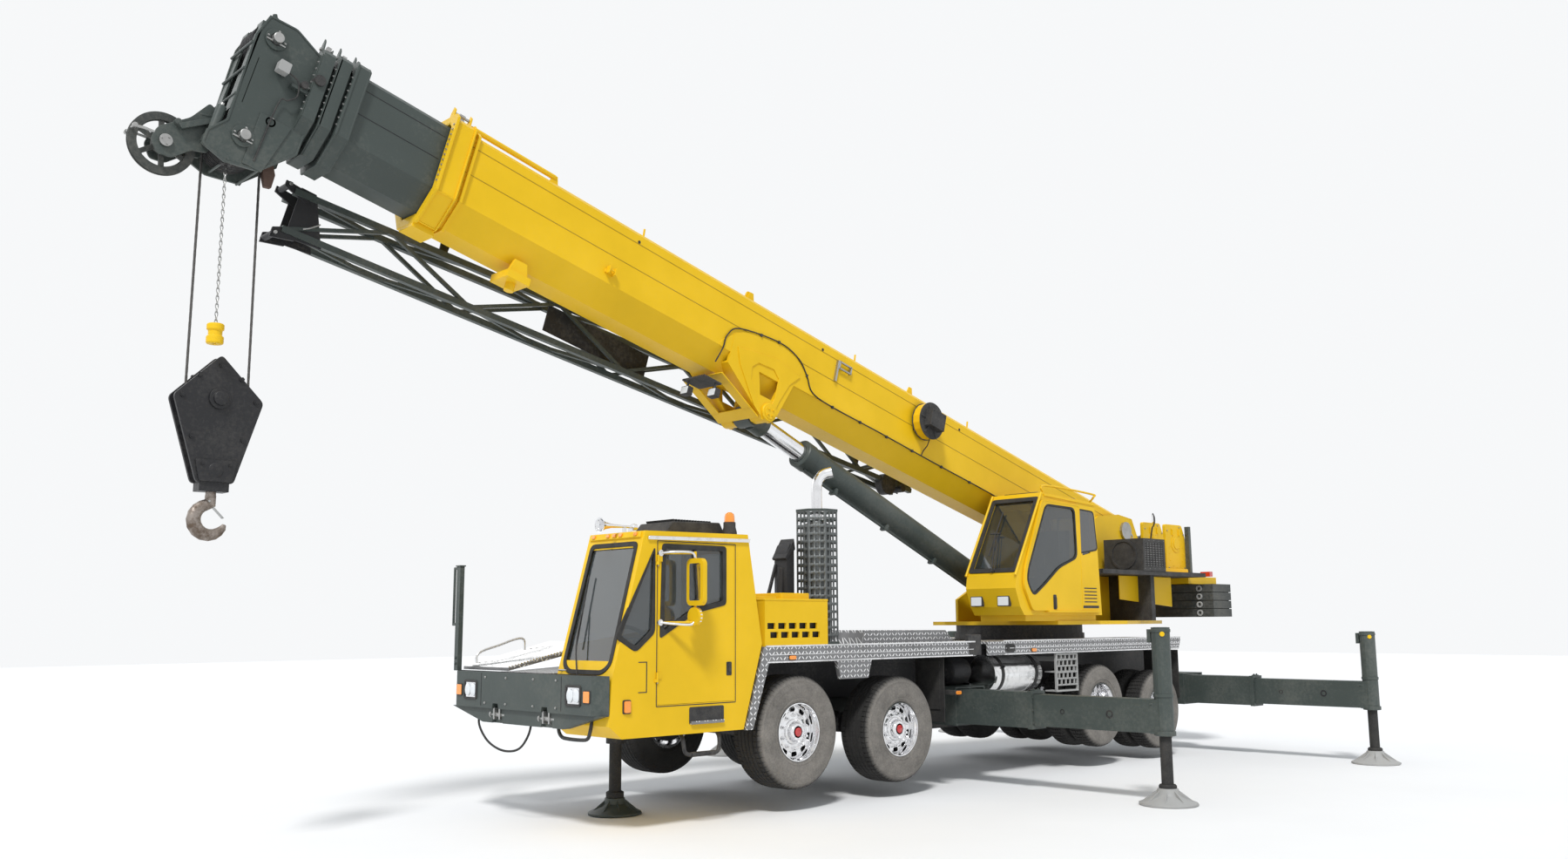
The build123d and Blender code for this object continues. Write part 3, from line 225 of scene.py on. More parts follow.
# ---------------------------------------------------------------- shader making
class Wire:
    """An output socket that takes part in sums and products."""

    def __init__(self, tree, socket):
        self.tree, self.socket = tree, socket

    def maths(self, operation, *values):
        return self.tree.add("ShaderNodeMath", {"operation": operation}, dict(enumerate(values)))

    def __add__(self, other):
        return self.maths("ADD", self, other)

    def __sub__(self, other):
        return self.maths("SUBTRACT", self, other)

    def __rsub__(self, other):
        return self.maths("SUBTRACT", other, self)

    def __mul__(self, other):
        return self.maths("MULTIPLY", self, other)

    def __truediv__(self, other):
        return self.maths("DIVIDE", self, other)

    def __mod__(self, other):
        return self.maths("FLOORED_MODULO", self, other)

    __radd__, __rmul__ = __add__, __mul__

    def floor(self):
        return self.maths("FLOOR", self)

    def clamp(self):
        return self.maths("MINIMUM", self.maths("MAXIMUM", self, 0.0), 1.0)

    def band(self, low, high):
        """0 below low, 1 above high, straight between."""
        return ((self - low) / (high - low)).clamp()


class NodeTree:
    """A node tree and the one way of adding nodes to it."""

    def __init__(self, tree):
        self.nodes, self.links = tree.nodes, tree.links

    def add(self, kind, settings, inputs, output=0):
        """A node with its settings and the values or links of its sockets."""
        node = self.nodes.new(kind)
        for key, value in settings.items():
            if key == "stops":
                for stop, (place, colour) in zip(node.color_ramp.elements, value):
                    stop.position, stop.color = place, colour
            else:
                setattr(node, key, value)
        for key, value in inputs.items():
            self.plug(node.inputs[key], value)
        return Wire(self, node.outputs[output])

    def plug(self, socket, value):
        if isinstance(value, Wire):
            self.links.new(value.socket, socket)
        else:
            socket.default_value = value


class Finish(NodeTree):
    """One material and its shader."""

    def __init__(self, name):
        self.material = bpy.data.materials.new(name)
        self.material.use_nodes = True
        super().__init__(self.material.node_tree)
        self.surface = self.nodes["Principled BSDF"]
        self.where = self.add("ShaderNodeTexCoord", {}, {}, "Object")

    def noise(self, scale, detail=3.0, rough=0.55):
        return self.add("ShaderNodeTexNoise", {}, {"Vector": self.where, "Scale": scale, "Detail": detail,
                                                   "Roughness": rough})

    def axes(self):
        parts = self.add("ShaderNodeSeparateXYZ", {}, {0: self.where})
        outs = parts.socket.node.outputs
        return [Wire(self, outs[i]) for i in range(3)]

    def blend(self, share, low, high):
        """A colour between two colours."""
        return self.add("ShaderNodeMix", {"data_type": "RGBA"}, {0: share, 6: low, 7: high}, 2)

    def bump(self, height, depth, strength=1.0):
        return self.add("ShaderNodeBump", {}, {"Height": height, "Distance": depth, "Strength": strength})

    def done(self, **sockets):
        for key, value in sockets.items():
            self.plug(self.surface.inputs[key.replace("_", " ")], value)
        return self.material


def rgb(r, g, b):
    """A colour with full alpha."""
    return (r, g, b, 1.0)


def enamel(name, colour, dust=rgb(0.42, 0.39, 0.34), dusty=0.12, gloss=0.32, orange_peel=0.0006, shine=0.35):
    """Sprayed paint with faint mottling, dust lying on it and fine scratches."""
    f = Finish(name)
    broad = f.noise(1.3, 4)
    fine = f.noise(28.0, 4, 0.7)
    deep = tuple(c * 0.86 for c in colour[:3]) + (1.0,)
    base = f.blend(broad.band(0.3, 0.75), deep, colour)
    lying = (broad * 0.6 + fine * 0.5).band(0.52, 0.78) * dusty
    base = f.blend(lying, base, dust)
    specks = f.noise(140.0, 2, 0.8).band(0.69, 0.75) * dusty * 1.4
    base = f.blend(specks, base, dust)
    rough = gloss + fine.band(0.35, 0.8) * 0.18 + lying * 0.9
    return f.done(Base_Color=base, Roughness=rough, Normal=f.bump(f.noise(220.0, 2), orange_peel, 0.25),
                  Specular_IOR_Level=shine, Coat_Weight=0.04, Coat_Roughness=0.15)


def metal(name, colour, rough=0.3, worn=0.12, streak=1.0, dirt=rgb(0.05, 0.045, 0.04), dirty=0.25):
    """Bare or plated metal with smears and grime."""
    f = Finish(name)
    smear = f.add("ShaderNodeTexNoise", {}, {
        "Vector": f.add("ShaderNodeVectorMath", {"operation": "MULTIPLY"},
                        {0: f.where, 1: (1.0, streak, 1.0)}),
        "Scale": 6.0, "Detail": 5.0})
    grime = f.noise(9.0, 5, 0.65).band(0.5, 0.72) * dirty
    return f.done(Base_Color=f.blend(grime, colour, dirt), Metallic=1.0 - grime * 0.8,
                  Roughness=rough + smear.band(0.3, 0.7) * worn + grime * 0.3,
                  Normal=f.bump(f.noise(160.0, 2), 0.0004, 0.3))


def tread_plate():
    """Aluminium plate with raised lozenges lying across each other."""
    f = Finish("tread_plate")
    x, y, z = f.axes()
    cell = 0.052
    u, v = x / cell, (y + z) / cell
    turn = (u.floor() + v.floor()) % 2.0
    a, b = u % 1.0 - 0.5, v % 1.0 - 0.5
    wide, slim = a + b, a - b
    p = wide * turn + slim * (1.0 - turn)
    q = slim * turn + wide * (1.0 - turn)
    lozenge = (1.0 - (p * p / 0.42 + q * q / 0.035)).clamp()
    raised = lozenge.band(0.0, 0.35)
    grime = f.noise(4.0, 5, 0.65).band(0.42, 0.75)
    base = f.blend(grime * 0.4, rgb(0.26, 0.26, 0.265), rgb(0.12, 0.115, 0.11))
    base = f.blend(raised, base, rgb(0.90, 0.90, 0.90))
    return f.done(Base_Color=base, Metallic=0.65, Roughness=0.50 - raised * 0.18 + grime * 0.15,
                  Normal=f.bump(raised, 0.004, 0.9))


def rubber(name, colour=rgb(0.035, 0.034, 0.033), dust=rgb(0.30, 0.28, 0.25), dusty=0.5):
    """Rubber with grey dust worked into it."""
    f = Finish(name)
    lying = (f.noise(7.0, 5, 0.7) * 0.6 + f.noise(90.0, 3, 0.7) * 0.5).band(0.42, 0.72) * dusty
    return f.done(Base_Color=f.blend(lying, colour, dust), Roughness=0.78,
                  Normal=f.bump(f.noise(320.0, 2), 0.0006, 0.4))


def tyre_rubber():
    """Black tread and side walls grey with road dust."""
    f = Finish("tyre_rubber")
    _, y, _ = f.axes()
    wall = y.maths("ABSOLUTE", y).band(1.225, 1.262)
    lying = (f.noise(5.0, 5, 0.7) * 0.6 + f.noise(60.0, 3, 0.7) * 0.5).band(0.30, 0.72)
    share = lying * (0.10 + wall * 0.55) + wall * 0.30
    return f.done(Base_Color=f.blend(share, rgb(0.016, 0.016, 0.016), rgb(0.27, 0.25, 0.225)), Roughness=0.78,
                  Specular_IOR_Level=0.3, Normal=f.bump(f.noise(320.0, 2), 0.0006, 0.4))


def glass(name, tint, clear):
    """Tinted glass, a share of it clear."""
    f = Finish(name)
    film = f.noise(3.0, 4).band(0.4, 0.8) * 0.06
    f.material.surface_render_method = "BLENDED"
    return f.done(Base_Color=tint, Roughness=0.04 + film, Alpha=1.0 - clear + film, Metallic=0.0,
                  Specular_IOR_Level=0.9, Coat_Weight=1.0, Coat_Roughness=0.02)


def lamp_glass(name, colour, glow=0.0):
    """Ribbed lamp glass, which may glow."""
    f = Finish(name)
    ribs = f.add("ShaderNodeTexWave", {"wave_type": "BANDS"}, {"Vector": f.where, "Scale": 40.0})
    return f.done(Base_Color=colour, Roughness=0.12 + ribs * 0.08, Normal=f.bump(ribs, 0.002, 0.5),
                  Coat_Weight=1.0, Emission_Color=colour, Emission_Strength=glow)


def worn_steel():
    """Forged steel, bare and browned, scuffed bright."""
    f = Finish("worn_steel")
    rust = f.noise(12.0, 6, 0.7)
    base = f.blend(rust.band(0.4, 0.62), rgb(0.33, 0.29, 0.26), rgb(0.12, 0.085, 0.06))
    return f.done(Base_Color=base, Metallic=1.0 - rust.band(0.42, 0.62) * 0.7,
                  Roughness=0.36 + rust.band(0.35, 0.6) * 0.3,
                  Normal=f.bump(rust, 0.004, 0.5))


def rope_wire(name, colour=rgb(0.20, 0.19, 0.18), lay=90.0):
    """Laid wire rope."""
    f = Finish(name)
    strands = f.add("ShaderNodeTexWave", {"wave_type": "BANDS", "bands_direction": "DIAGONAL"},
                    {"Vector": f.where, "Scale": lay, "Distortion": 0.4})
    return f.done(Base_Color=f.blend(strands, rgb(0.05, 0.05, 0.05), colour), Metallic=0.7, Roughness=0.45,
                  Normal=f.bump(strands, 0.004, 0.8))


FINISHES = {}


def make_finishes(tones):
    """All finishes, from the colours the user may change."""
    yellow = rgb(*tones.body_colour)
    slate = rgb(*tones.boom_colour)
    FINISHES.update(
        yellow=enamel("crane_yellow", yellow, dusty=0.035, gloss=0.34, shine=0.20),
        # A darker copy of the body yellow for the boom's weld seams: painted shade along the seam lines.
        yellow_edge=enamel("shaded_yellow", rgb(*(c * 0.45 for c in tones.body_colour)), dusty=0.2,
                           gloss=0.5),
        slate=enamel("slate_paint", slate, dusty=0.16, gloss=0.42),
        block=enamel("tackle_black", rgb(0.018, 0.018, 0.020), dusty=0.10, gloss=0.4),
        black=enamel("chassis_black", rgb(0.022, 0.022, 0.024), dusty=0.22, gloss=0.5),
        iron=enamel("ballast_paint", rgb(0.05, 0.055, 0.052), dusty=0.25, gloss=0.55),
        tread=tread_plate(),
        polished=metal("polished_aluminium", rgb(0.80, 0.80, 0.80), 0.12, 0.1, 6.0),
        steel=metal("dull_steel", rgb(0.42, 0.42, 0.41), 0.38),
        silver=enamel("silver_paint", rgb(0.42, 0.42, 0.41), dusty=0.35, gloss=0.5),
        chrome=metal("chrome", rgb(0.82, 0.82, 0.83), 0.06, 0.08, 1.0, dirty=0.12),
        mesh=metal("guard_steel", rgb(0.16, 0.17, 0.17), 0.5, dirty=0.4),
        tyre=tyre_rubber(),
        seal=rubber("black_rubber", rgb(0.012, 0.012, 0.012), dusty=0.12),
        trim=rubber("black_plastic", rgb(0.02, 0.02, 0.021), dusty=0.18),
        vinyl=rubber("seat_vinyl", rgb(0.03, 0.03, 0.033), dusty=0.08),
        glass=glass("cab_glass", rgb(0.030, 0.042, 0.046), 0.42),
        dark_glass=glass("dark_glass", rgb(0.014, 0.018, 0.020), 0.10),
        amber=lamp_glass("amber_lens", rgb(0.95, 0.30, 0.02), 0.05),
        clear=lamp_glass("clear_lens", rgb(0.75, 0.78, 0.80)),
        red=lamp_glass("red_lens", rgb(0.55, 0.02, 0.02)),
        hook=worn_steel(),
        rope=rope_wire("wire_rope"),
        brown=enamel("primer_brown", rgb(0.10, 0.055, 0.04), gloss=0.6),
    )


def paint_nodes(names, finish):
    """Gives CAD nodes a finish through their object's slots."""
    for name in names:
        for spot in NODES[name].material_slots:
            spot.link = "OBJECT"
            spot.material = FINISHES[finish]


# ---------------------------------------------------------------- outlines
class Face:
    """Datum of a flat face: u across it, v up it and w out of it."""

    def __init__(self, origin, u, v):
        self.origin = Vector(origin)
        self.u, self.v = Vector(u).normalized(), Vector(v).normalized()
        self.w = self.u.cross(self.v)

    def __call__(self, u, v, w):
        return at(*(self.origin + self.u * u + self.v * v + self.w * w))


def soften(points, r, steps=4):
    """An outline with its corners rounded off, starting r from each corner."""
    out = []
    for i, p in enumerate(points):
        p, before, after = Vector(p), Vector(points[i - 1]), Vector(points[(i + 1) % len(points)])
        a = p + (before - p).normalized() * min(r, (before - p).length * 0.45)
        b = p + (after - p).normalized() * min(r, (after - p).length * 0.45)
        for k in range(steps + 1):
            t = k / steps
            out.append(tuple(a * (1 - t) ** 2 + p * 2 * t * (1 - t) + b * t * t))
    return out


def shrink(points, d):
    """An outline moved in by d on every side; points run either way round."""
    area = sum(points[i - 1][0] * p[1] - p[0] * points[i - 1][1] for i, p in enumerate(points))
    turn = 1 if area > 0 else -1
    out = []
    for i, p in enumerate(points):
        before, after = Vector(points[i - 1]), Vector(points[(i + 1) % len(points)])
        p = Vector(p)
        a, b = (p - before).normalized(), (after - p).normalized()
        na, nb = Vector((-a.y, a.x)) * turn, Vector((-b.y, b.x)) * turn
        step = (na + nb) / max(0.35, 1 + na.dot(nb))
        out.append(tuple(p + step * d))
    return out


def arc(centre, r, start, end, steps):
    """Points of an arc, angles in degrees."""
    turns = [math.radians(start + (end - start) * k / steps) for k in range(steps + 1)]
    return [(centre[0] + r * math.cos(t), centre[1] + r * math.sin(t)) for t in turns]


def border(shape, points, wide, span, axis="y", r=0.05):
    """A flat frame along an outline."""
    outer, inner = soften(points, r), soften(shrink(points, wide), max(r - wide * 0.5, 0.01))
    place = {"y": lambda p, t: (p[0], t, p[1]), "z": lambda p, t: (p[0], p[1], t)}[axis]
    rings = [[place(a, span[0]), place(a, span[1]), place(b, span[1]), place(b, span[0])]
             for a, b in zip(outer, inner)]
    return shape.loft(rings, closed=True)


# ---------------------------------------------------------------- stage
CAMERA_AT = (14.948, 10.773, 1.892)
CAMERA_YAW, CAMERA_PITCH, CAMERA_ROLL = 226.007, 8.609, -0.349
LENS_MM, SENSOR_MM = 29.37, 36.0
FLOOR_Z = -0.001
SQUARE = ((-1, -1), (1, -1), (1, 1), (-1, 1))


def make_camera():
    """The camera, from its yaw, pitch, roll and lens."""
    yaw, pitch, roll = (math.radians(a) for a in (CAMERA_YAW, CAMERA_PITCH, CAMERA_ROLL))
    ahead = Vector((math.cos(pitch) * math.cos(yaw), math.cos(pitch) * math.sin(yaw), math.sin(pitch)))
    right = Vector((ahead.y, -ahead.x, 0)).normalized()
    up = right.cross(ahead)
    across = right * math.cos(roll) + up * math.sin(roll)
    over = up * math.cos(roll) - right * math.sin(roll)
    data = bpy.data.cameras.new("Camera")
    data.lens, data.sensor_width, data.clip_end = LENS_MM, SENSOR_MM, 500.0
    camera = bpy.data.objects.new("Camera", data)
    bpy.context.scene.collection.objects.link(camera)
    camera.matrix_world = Matrix.Translation(at(*CAMERA_AT)) @ Matrix((across, over,
                                                                       -ahead)).transposed().to_4x4()
    bpy.context.scene.camera = camera


def make_world(strength):
    """Soft sky light, and a pale backdrop for the camera, reflections and glass."""
    world = bpy.data.worlds.new("Studio")
    bpy.context.scene.world = world
    world.use_nodes = True
    tree = NodeTree(world.node_tree)
    light = tree.nodes["Background"]
    tree.plug(light.inputs["Color"], rgb(0.90, 0.95, 1.0))
    tree.plug(light.inputs["Strength"], strength)
    pale = tree.add("ShaderNodeBackground", {}, {"Color": rgb(0.93, 0.94, 0.95)})
    rays = tree.add("ShaderNodeLightPath", {}, {}).socket.node.outputs
    camera, through, mirrored = (Wire(tree, rays[f"Is {kind} Ray"]) for kind in ("Camera", "Transmission",
                                                                                 "Glossy"))
    seen = camera.maths("MAXIMUM", camera.maths("MAXIMUM", camera, through), mirrored)
    mixed = tree.add("ShaderNodeMixShader", {}, {0: seen, 1: Wire(tree, light.outputs[0]), 2: pale})
    tree.plug(tree.nodes["World Output"].inputs[0], mixed)


def make_floor(size):
    """A plain pale floor, mottled a little."""
    shape = Shape()
    shape.bm.faces.new([shape.bm.verts.new(at(x * size, y * size, FLOOR_Z)) for x, y in SQUARE])
    f = Finish("studio_floor")
    mottle = f.noise(0.4, 3)
    dress_stage("studio_floor", shape, f.done(
        Base_Color=f.blend(mottle.band(0.3, 0.7), rgb(0.90, 0.90, 0.90), rgb(0.93, 0.93, 0.93)),
        Roughness=0.9,
        Specular_IOR_Level=0.1))


def dress_stage(name, shape, material):
    """Puts a stage mesh in the scene with its material."""
    mesh = bpy.data.meshes.new(name)
    shape.bm.to_mesh(mesh)
    shape.bm.free()
    mesh.materials.append(material)
    piece = bpy.data.objects.new(name, mesh)
    bpy.context.scene.collection.objects.link(piece)
    return piece


def make_lamps(sun, fill):
    """A broad sun from the front left and a weaker one from the other side."""
    for name, strength, angle, aim in (("key", sun, 9.0, (-0.62, -0.50, -0.95)),
                                       ("fill", fill, 60.0, (-0.3, 0.9, -0.7))):
        data = bpy.data.lights.new(name, "SUN")
        data.energy, data.angle = strength, math.radians(angle)
        lamp = bpy.data.objects.new(name, data)
        bpy.context.scene.collection.objects.link(lamp)
        lamp.rotation_euler = Vector(aim).to_track_quat("-Z", "Y").to_euler()


# ---------------------------------------------------------------- wheels
TREAD_DEPTH = 0.013
LUG_DEPTH = 0.011


def tyre_section(r, w, ribs, cut, lugs):
    """Closed section of a tyre from bead to bead, (radius, y); cut is the depth between two blocks."""
    half = w / 2
    flat = half - 0.062
    wall = [(0.290, 0.035), (0.306, 0.016), (0.330, 0.010), (0.336, 0.013), (r * 0.64, 0.003),
            (r * 0.72, 0.0),
            (r * 0.78, 0.0), (r * 0.84, 0.004), (r * 0.88, 0.010), (r * 0.89, 0.008), (r * 0.93, 0.018),
            (r - 0.024 - cut * 0.6, 0.036), (r - 0.010 - cut * 0.8, 0.050)]
    section = [(a, -half + b) for a, b in wall]
    pitch = 2 * flat / ribs
    for i in range(ribs):
        y0, y1 = -flat + i * pitch, -flat + (i + 1) * pitch
        outer = i in (0, ribs - 1)
        drop = cut if outer or lugs else cut * 0.25
        low = r - TREAD_DEPTH
        top = r - drop - (0.004 if outer else 0.0)
        section += [(low, y0 + 0.0015), (top, y0 + 0.005), (top, y1 - 0.005), (low, y1 - 0.0015)]
    return section + [(a, half - b) for a, b in reversed(wall)]


def add_tyre(shape, centre, r, w, ribs, blocks, lugs):
    """A tyre with its tread blocks, turned about a line along Y through its centre."""
    full, low = tyre_section(r, w, ribs, 0.0, lugs), tyre_section(r, w, ribs, LUG_DEPTH, lugs)
    gap = 0.30 if lugs else 0.16
    stations = []
    for k in range(blocks):
        t = 2 * math.pi / blocks
        for share, section in ((0.0, full), (1 - gap - 0.06, full), (1 - gap, low), (0.94, low)):
            stations.append(((k + share) * t, section))
    rings = [[(centre[0] + q * math.cos(a), centre[1] + h, centre[2] + q * math.sin(a)) for q, h in section]
             for a, section in stations]
    return shape.loft(rings, closed=True)


def holed_disc(name, body, centre, side, rings, holes, finish):
    """A dished wheel disc with hand holes, as a thickened sheet; rings are (radius, y)."""
    shape = Shape()
    sectors = holes * 6
    rows = []
    for r, y in rings:
        turns = [2 * math.pi * k / sectors for k in range(sectors)]
        rows.append([shape.bm.verts.new(at(centre[0] + r * math.cos(t), side * y,
                                           centre[2] + r * math.sin(t)))
                     for t in turns])
    for i in range(len(rows) - 1):
        for k in range(sectors):
            if 1 < i < 4 and k % 6 in (1, 2, 3):
                continue
            j = (k + 1) % sectors
            shape.bm.faces.new((rows[i][k], rows[i][j], rows[i + 1][j], rows[i + 1][k]))
    piece = shape.build(name, body, finish, bevel=0)
    thick = piece.modifiers.new("thick", "SOLIDIFY")
    thick.thickness, thick.offset = 0.012, 0
    piece.modifiers.new("smooth", "SUBSURF").render_levels = 1
    return piece


def make_wheel(axle, side_name):
    """Tyre or twin tyres, rim, disc, hub and nuts of one wheel, in place of its plain solid."""
    node = f"wheel_{axle}_{side_name}"
    body = f"wheel_{axle}_{side_name}"
    low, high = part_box(node)
    side = 1 if side_name == "left" else -1
    x, z, r = (low.x + high.x) / 2 - SLEW_X, (low.z + high.z) / 2, (high.z - low.z) / 2
    twin = axle in ("3", "4")
    w, out = (0.30, 1.275) if twin else (0.44, 1.275)
    rubber_shape = Shape()
    for i in range(2 if twin else 1):
        mid = out - w / 2 - i * (w + 0.04)
        add_tyre(rubber_shape, (x, side * mid, z), r, w, 5 if twin else 6, 54 if twin else 64, twin)
    rubber_shape.build(node + "_tyre", body, "tyre", bevel=0, soft=38, replaces=(node,))
    span = 0.64 if twin else 0.44
    inner, lip = out - span + 0.03, out - 0.022
    disc_y = out - 0.24 if twin else out - 0.12
    rim = Shape()
    well = [(0.262, inner), (0.292, inner), (0.288, inner + 0.03), (0.276, inner + 0.05),
            (0.276, lip - 0.045),
            (0.286, lip - 0.030), (0.294, lip - 0.016), (0.293, lip), (0.283, lip), (0.279, lip - 0.012),
            (0.268, lip - 0.032), (0.262, lip - 0.05)]
    rim.lathe([(q, side * h) for q, h in well], (x, 0, z), sides=72)
    rim.build(node + "_rim", body, "chrome", bevel=0, soft=60)
    rings = [(0.266, disc_y - 0.045), (0.262, disc_y - 0.010), (0.250, disc_y + 0.004),
             (0.226, disc_y + 0.006),
             (0.204, disc_y + 0.004), (0.196, disc_y), (0.185, disc_y + 0.008), (0.150, disc_y + 0.010),
             (0.118, disc_y + 0.010)]
    holed_disc(node + "_disc", body, (x, 0, z), side, rings, 10, "chrome")
    hub = Shape()
    end = out - 0.052 if twin else out - 0.040
    flange = [(0.0, disc_y), (0.122, disc_y), (0.122, disc_y + 0.022), (0.104, disc_y + 0.030),
              (0.096, end - 0.020), (0.082, end), (0.0, end)]
    hub.lathe([(q, side * h) for q, h in flange], (x, 0, z), sides=40)
    for cx, cz in polygon((x, z), 0.1675, 10, 0.3):
        hub.bar((cx, side * (disc_y + 0.006), cz), (cx, side * (disc_y + 0.024), cz), 0.024, 0.022, sides=16)
        hub.bar((cx, side * (disc_y + 0.02), cz), (cx, side * (disc_y + 0.046), cz), 0.0165, sides=6)
        hub.bar((cx, side * (disc_y + 0.04), cz), (cx, side * (disc_y + 0.060), cz), 0.009, 0.007, sides=10)
    hub.bolts([(cx, side * (end - 0.010), cz) for cx, cz in polygon((x, z), 0.070, 8)], (0, side, 0), 0.009,
              0.012)
    hub.build(node + "_hub", body, "chrome", bevel=0.0015)
    cap = Shape()
    cap.lathe([(0.0, side * end), (0.045, side * end), (0.045, side * (end + 0.006)),
               (0.030, side * (end + 0.010)),
               (0.0, side * (end + 0.011))], (x, 0, z), sides=28)
    cap.bar((x + 0.31 * 0.9, side * (disc_y + 0.02), z), (x + 0.262, side * (disc_y + 0.055), z), 0.005,
            sides=8)
    cap.build(node + "_cap", body, "red", bevel=0.001)


# ---------------------------------------------------------------- carrier cab
CAB_SIDE_Y = 1.295
SCREEN_LOW, SCREEN_HIGH = Vector((7.96, 0, 1.40)), Vector((7.60, 0, 2.755))
SIDE_WINDOW = [(6.62, 2.62), (7.38, 2.62), (7.40, 1.79), (7.00, 2.01), (6.62, 2.09)]
QUARTER_WINDOW = [(7.49, 2.59), (7.50, 1.82), (7.70, 1.66), (7.905, 1.78)]


def cab_screen():
    """Datum of the carrier cab's windscreen: u to the right, v up the glass."""
    return Face((SCREEN_LOW.x, 0.8575, SCREEN_LOW.z), (0, 1, 0), SCREEN_HIGH - SCREEN_LOW)


def make_cab_windows():
    """Rubber frames of the carrier cab's screen and windows."""
    rubber_shape = Shape(cab_screen())
    screen = [(-0.385, 0.12), (-0.27, 0.035), (0.27, 0.035), (0.385, 0.12), (0.375, 1.30), (-0.375, 1.30)]
    border(rubber_shape, screen, 0.045, (-0.004, 0.010), "z", 0.07)
    rubber_shape.build("cab_screen_frame", "carrier", "seal", 0.004)
    side = Shape()
    border(side, shrink(QUARTER_WINDOW, -0.022), 0.048, (CAB_SIDE_Y - 0.012, CAB_SIDE_Y + 0.007), "y", 0.05)
    side.build("cab_quarter_frame", "carrier", "seal", 0.003)
    door = Shape()
    border(door, shrink(SIDE_WINDOW, -0.022), 0.048, (CAB_SIDE_Y - 0.012, CAB_SIDE_Y + 0.007), "y", 0.04)
    door.box((6.985, 7.010), (CAB_SIDE_Y - 0.03, CAB_SIDE_Y), (2.01, 2.62))
    door.build("cab_door_frame", "carrier_door", "seal", 0.003)
    pane = Shape()
    pane.prism(shrink(SIDE_WINDOW, -0.004), (CAB_SIDE_Y - 0.024, CAB_SIDE_Y - 0.018))
    pane.build("cab_door_pane", "carrier_door", "glass", 0)


def make_cab_wiper():
    """Wiper of the carrier cab's screen."""
    wiper = Shape(cab_screen())
    wiper.bar((-0.05, 0.0, 0.012), (-0.05, 0.0, 0.045), 0.018, sides=14)
    wiper.pipe([(-0.05, 0.0, 0.04), (-0.16, 0.30, 0.055), (-0.22, 0.60, 0.035)], 0.007, smooth=4)
    wiper.loft([[(-0.20, 0.28, 0.020), (-0.19, 0.28, 0.020), (-0.19, 0.28, 0.034), (-0.20, 0.28, 0.034)],
                [(-0.26, 0.98, 0.020), (-0.25, 0.98, 0.020), (-0.25, 0.98, 0.034), (-0.26, 0.98, 0.034)]])
    wiper.build("cab_wiper", "carrier", "trim", 0.001)


def make_cab_skin():
    """Seams, gutter, brow, lamps, handle and small plates of the carrier cab."""
    skin = Shape()
    skin.prism([(6.30, 2.690), (7.575, 2.672), (7.580, 2.700), (6.30, 2.718)],
               (CAB_SIDE_Y - 0.002, CAB_SIDE_Y + 0.022))
    skin.prism([(6.30, 2.716), (7.57, 2.698), (7.57, 2.706), (6.30, 2.724)],
               (CAB_SIDE_Y + 0.016, CAB_SIDE_Y + 0.030))
    skin.build("cab_gutter", "carrier", "polished", 0.002)
    brow = Shape(cab_screen())
    brow.prism([(-0.40, 1.335), (0.40, 1.335), (0.40, 1.395), (-0.40, 1.395)], (-0.004, 0.020), "z")
    brow.build("cab_brow", "carrier", "yellow", 0.006)
    lamps = Shape(cab_screen())
    for u in (-0.33, -0.10, 0.0, 0.10, 0.33):
        lamps.prism(soften([(u - 0.026, 1.350), (u + 0.026, 1.350), (u + 0.026, 1.382), (u - 0.026, 1.382)],
                           0.01),
                    (0.016, 0.034), "z")
    lamps.build("cab_brow_lamps", "carrier", "amber", 0.003)
    seams = Shape()
    y = (CAB_SIDE_Y - 0.001, CAB_SIDE_Y + 0.0025)
    for a, b in (((6.478, 1.140), (6.478, 2.664)), ((7.455, 1.140), (7.455, 2.664)),
                 ((6.478, 1.138), (7.455, 1.138)),
                 ((6.478, 2.664), (7.455, 2.664))):
        run = Vector((b[0] - a[0], b[1] - a[1]))
        n = Vector((-run.y, run.x)).normalized() * 0.004
        seams.prism([(a[0] - n.x, a[1] - n.y), (b[0] - n.x, b[1] - n.y), (b[0] + n.x, b[1] + n.y),
                     (a[0] + n.x, a[1] + n.y)], y)
    seams.prism([(7.565, 1.270), (7.575, 1.270), (7.575, 1.550), (7.565, 1.550)], y)
    seams.prism([(7.575, 1.270), (7.665, 1.270), (7.665, 1.278), (7.575, 1.278)], y)
    seams.prism([(7.575, 1.542), (7.665, 1.542), (7.665, 1.550), (7.575, 1.550)], y)
    seams.build("cab_seams", "carrier", "trim", 0)
    handle = Shape()
    handle.prism(soften([(6.530, 1.395), (6.595, 1.395), (6.595, 1.525), (6.530, 1.525)], 0.012),
                 (CAB_SIDE_Y - 0.004, CAB_SIDE_Y + 0.006))
    handle.prism(soften([(6.545, 1.43), (6.580, 1.43), (6.580, 1.515), (6.545, 1.515)], 0.008),
                 (CAB_SIDE_Y + 0.004, CAB_SIDE_Y + 0.020))
    handle.build("cab_door_handle", "carrier_door", "trim", 0.002)
    marker = Shape()
    marker.prism(soften([(7.75, 1.09), (7.84, 1.09), (7.84, 1.215), (7.75, 1.215)], 0.018),
                 (CAB_SIDE_Y - 0.002, CAB_SIDE_Y + 0.012))
    marker.build("cab_marker_bezel", "carrier", "trim", 0.003)
    lens = Shape()
    lens.prism(soften([(7.76, 1.10), (7.83, 1.10), (7.83, 1.205), (7.76, 1.205)], 0.016),
               (CAB_SIDE_Y + 0.008, CAB_SIDE_Y + 0.026))
    lens.build("cab_marker_lens", "carrier", "amber", 0.004)
    hinges = Shape()
    for z in (1.36, 2.44):
        hinges.bar((7.452, CAB_SIDE_Y + 0.011, z - 0.003), (7.452, CAB_SIDE_Y + 0.011, z - 0.012), 0.008,
                   sides=6)
    hinges.build("cab_hinge_nuts", "carrier", "steel", 0)


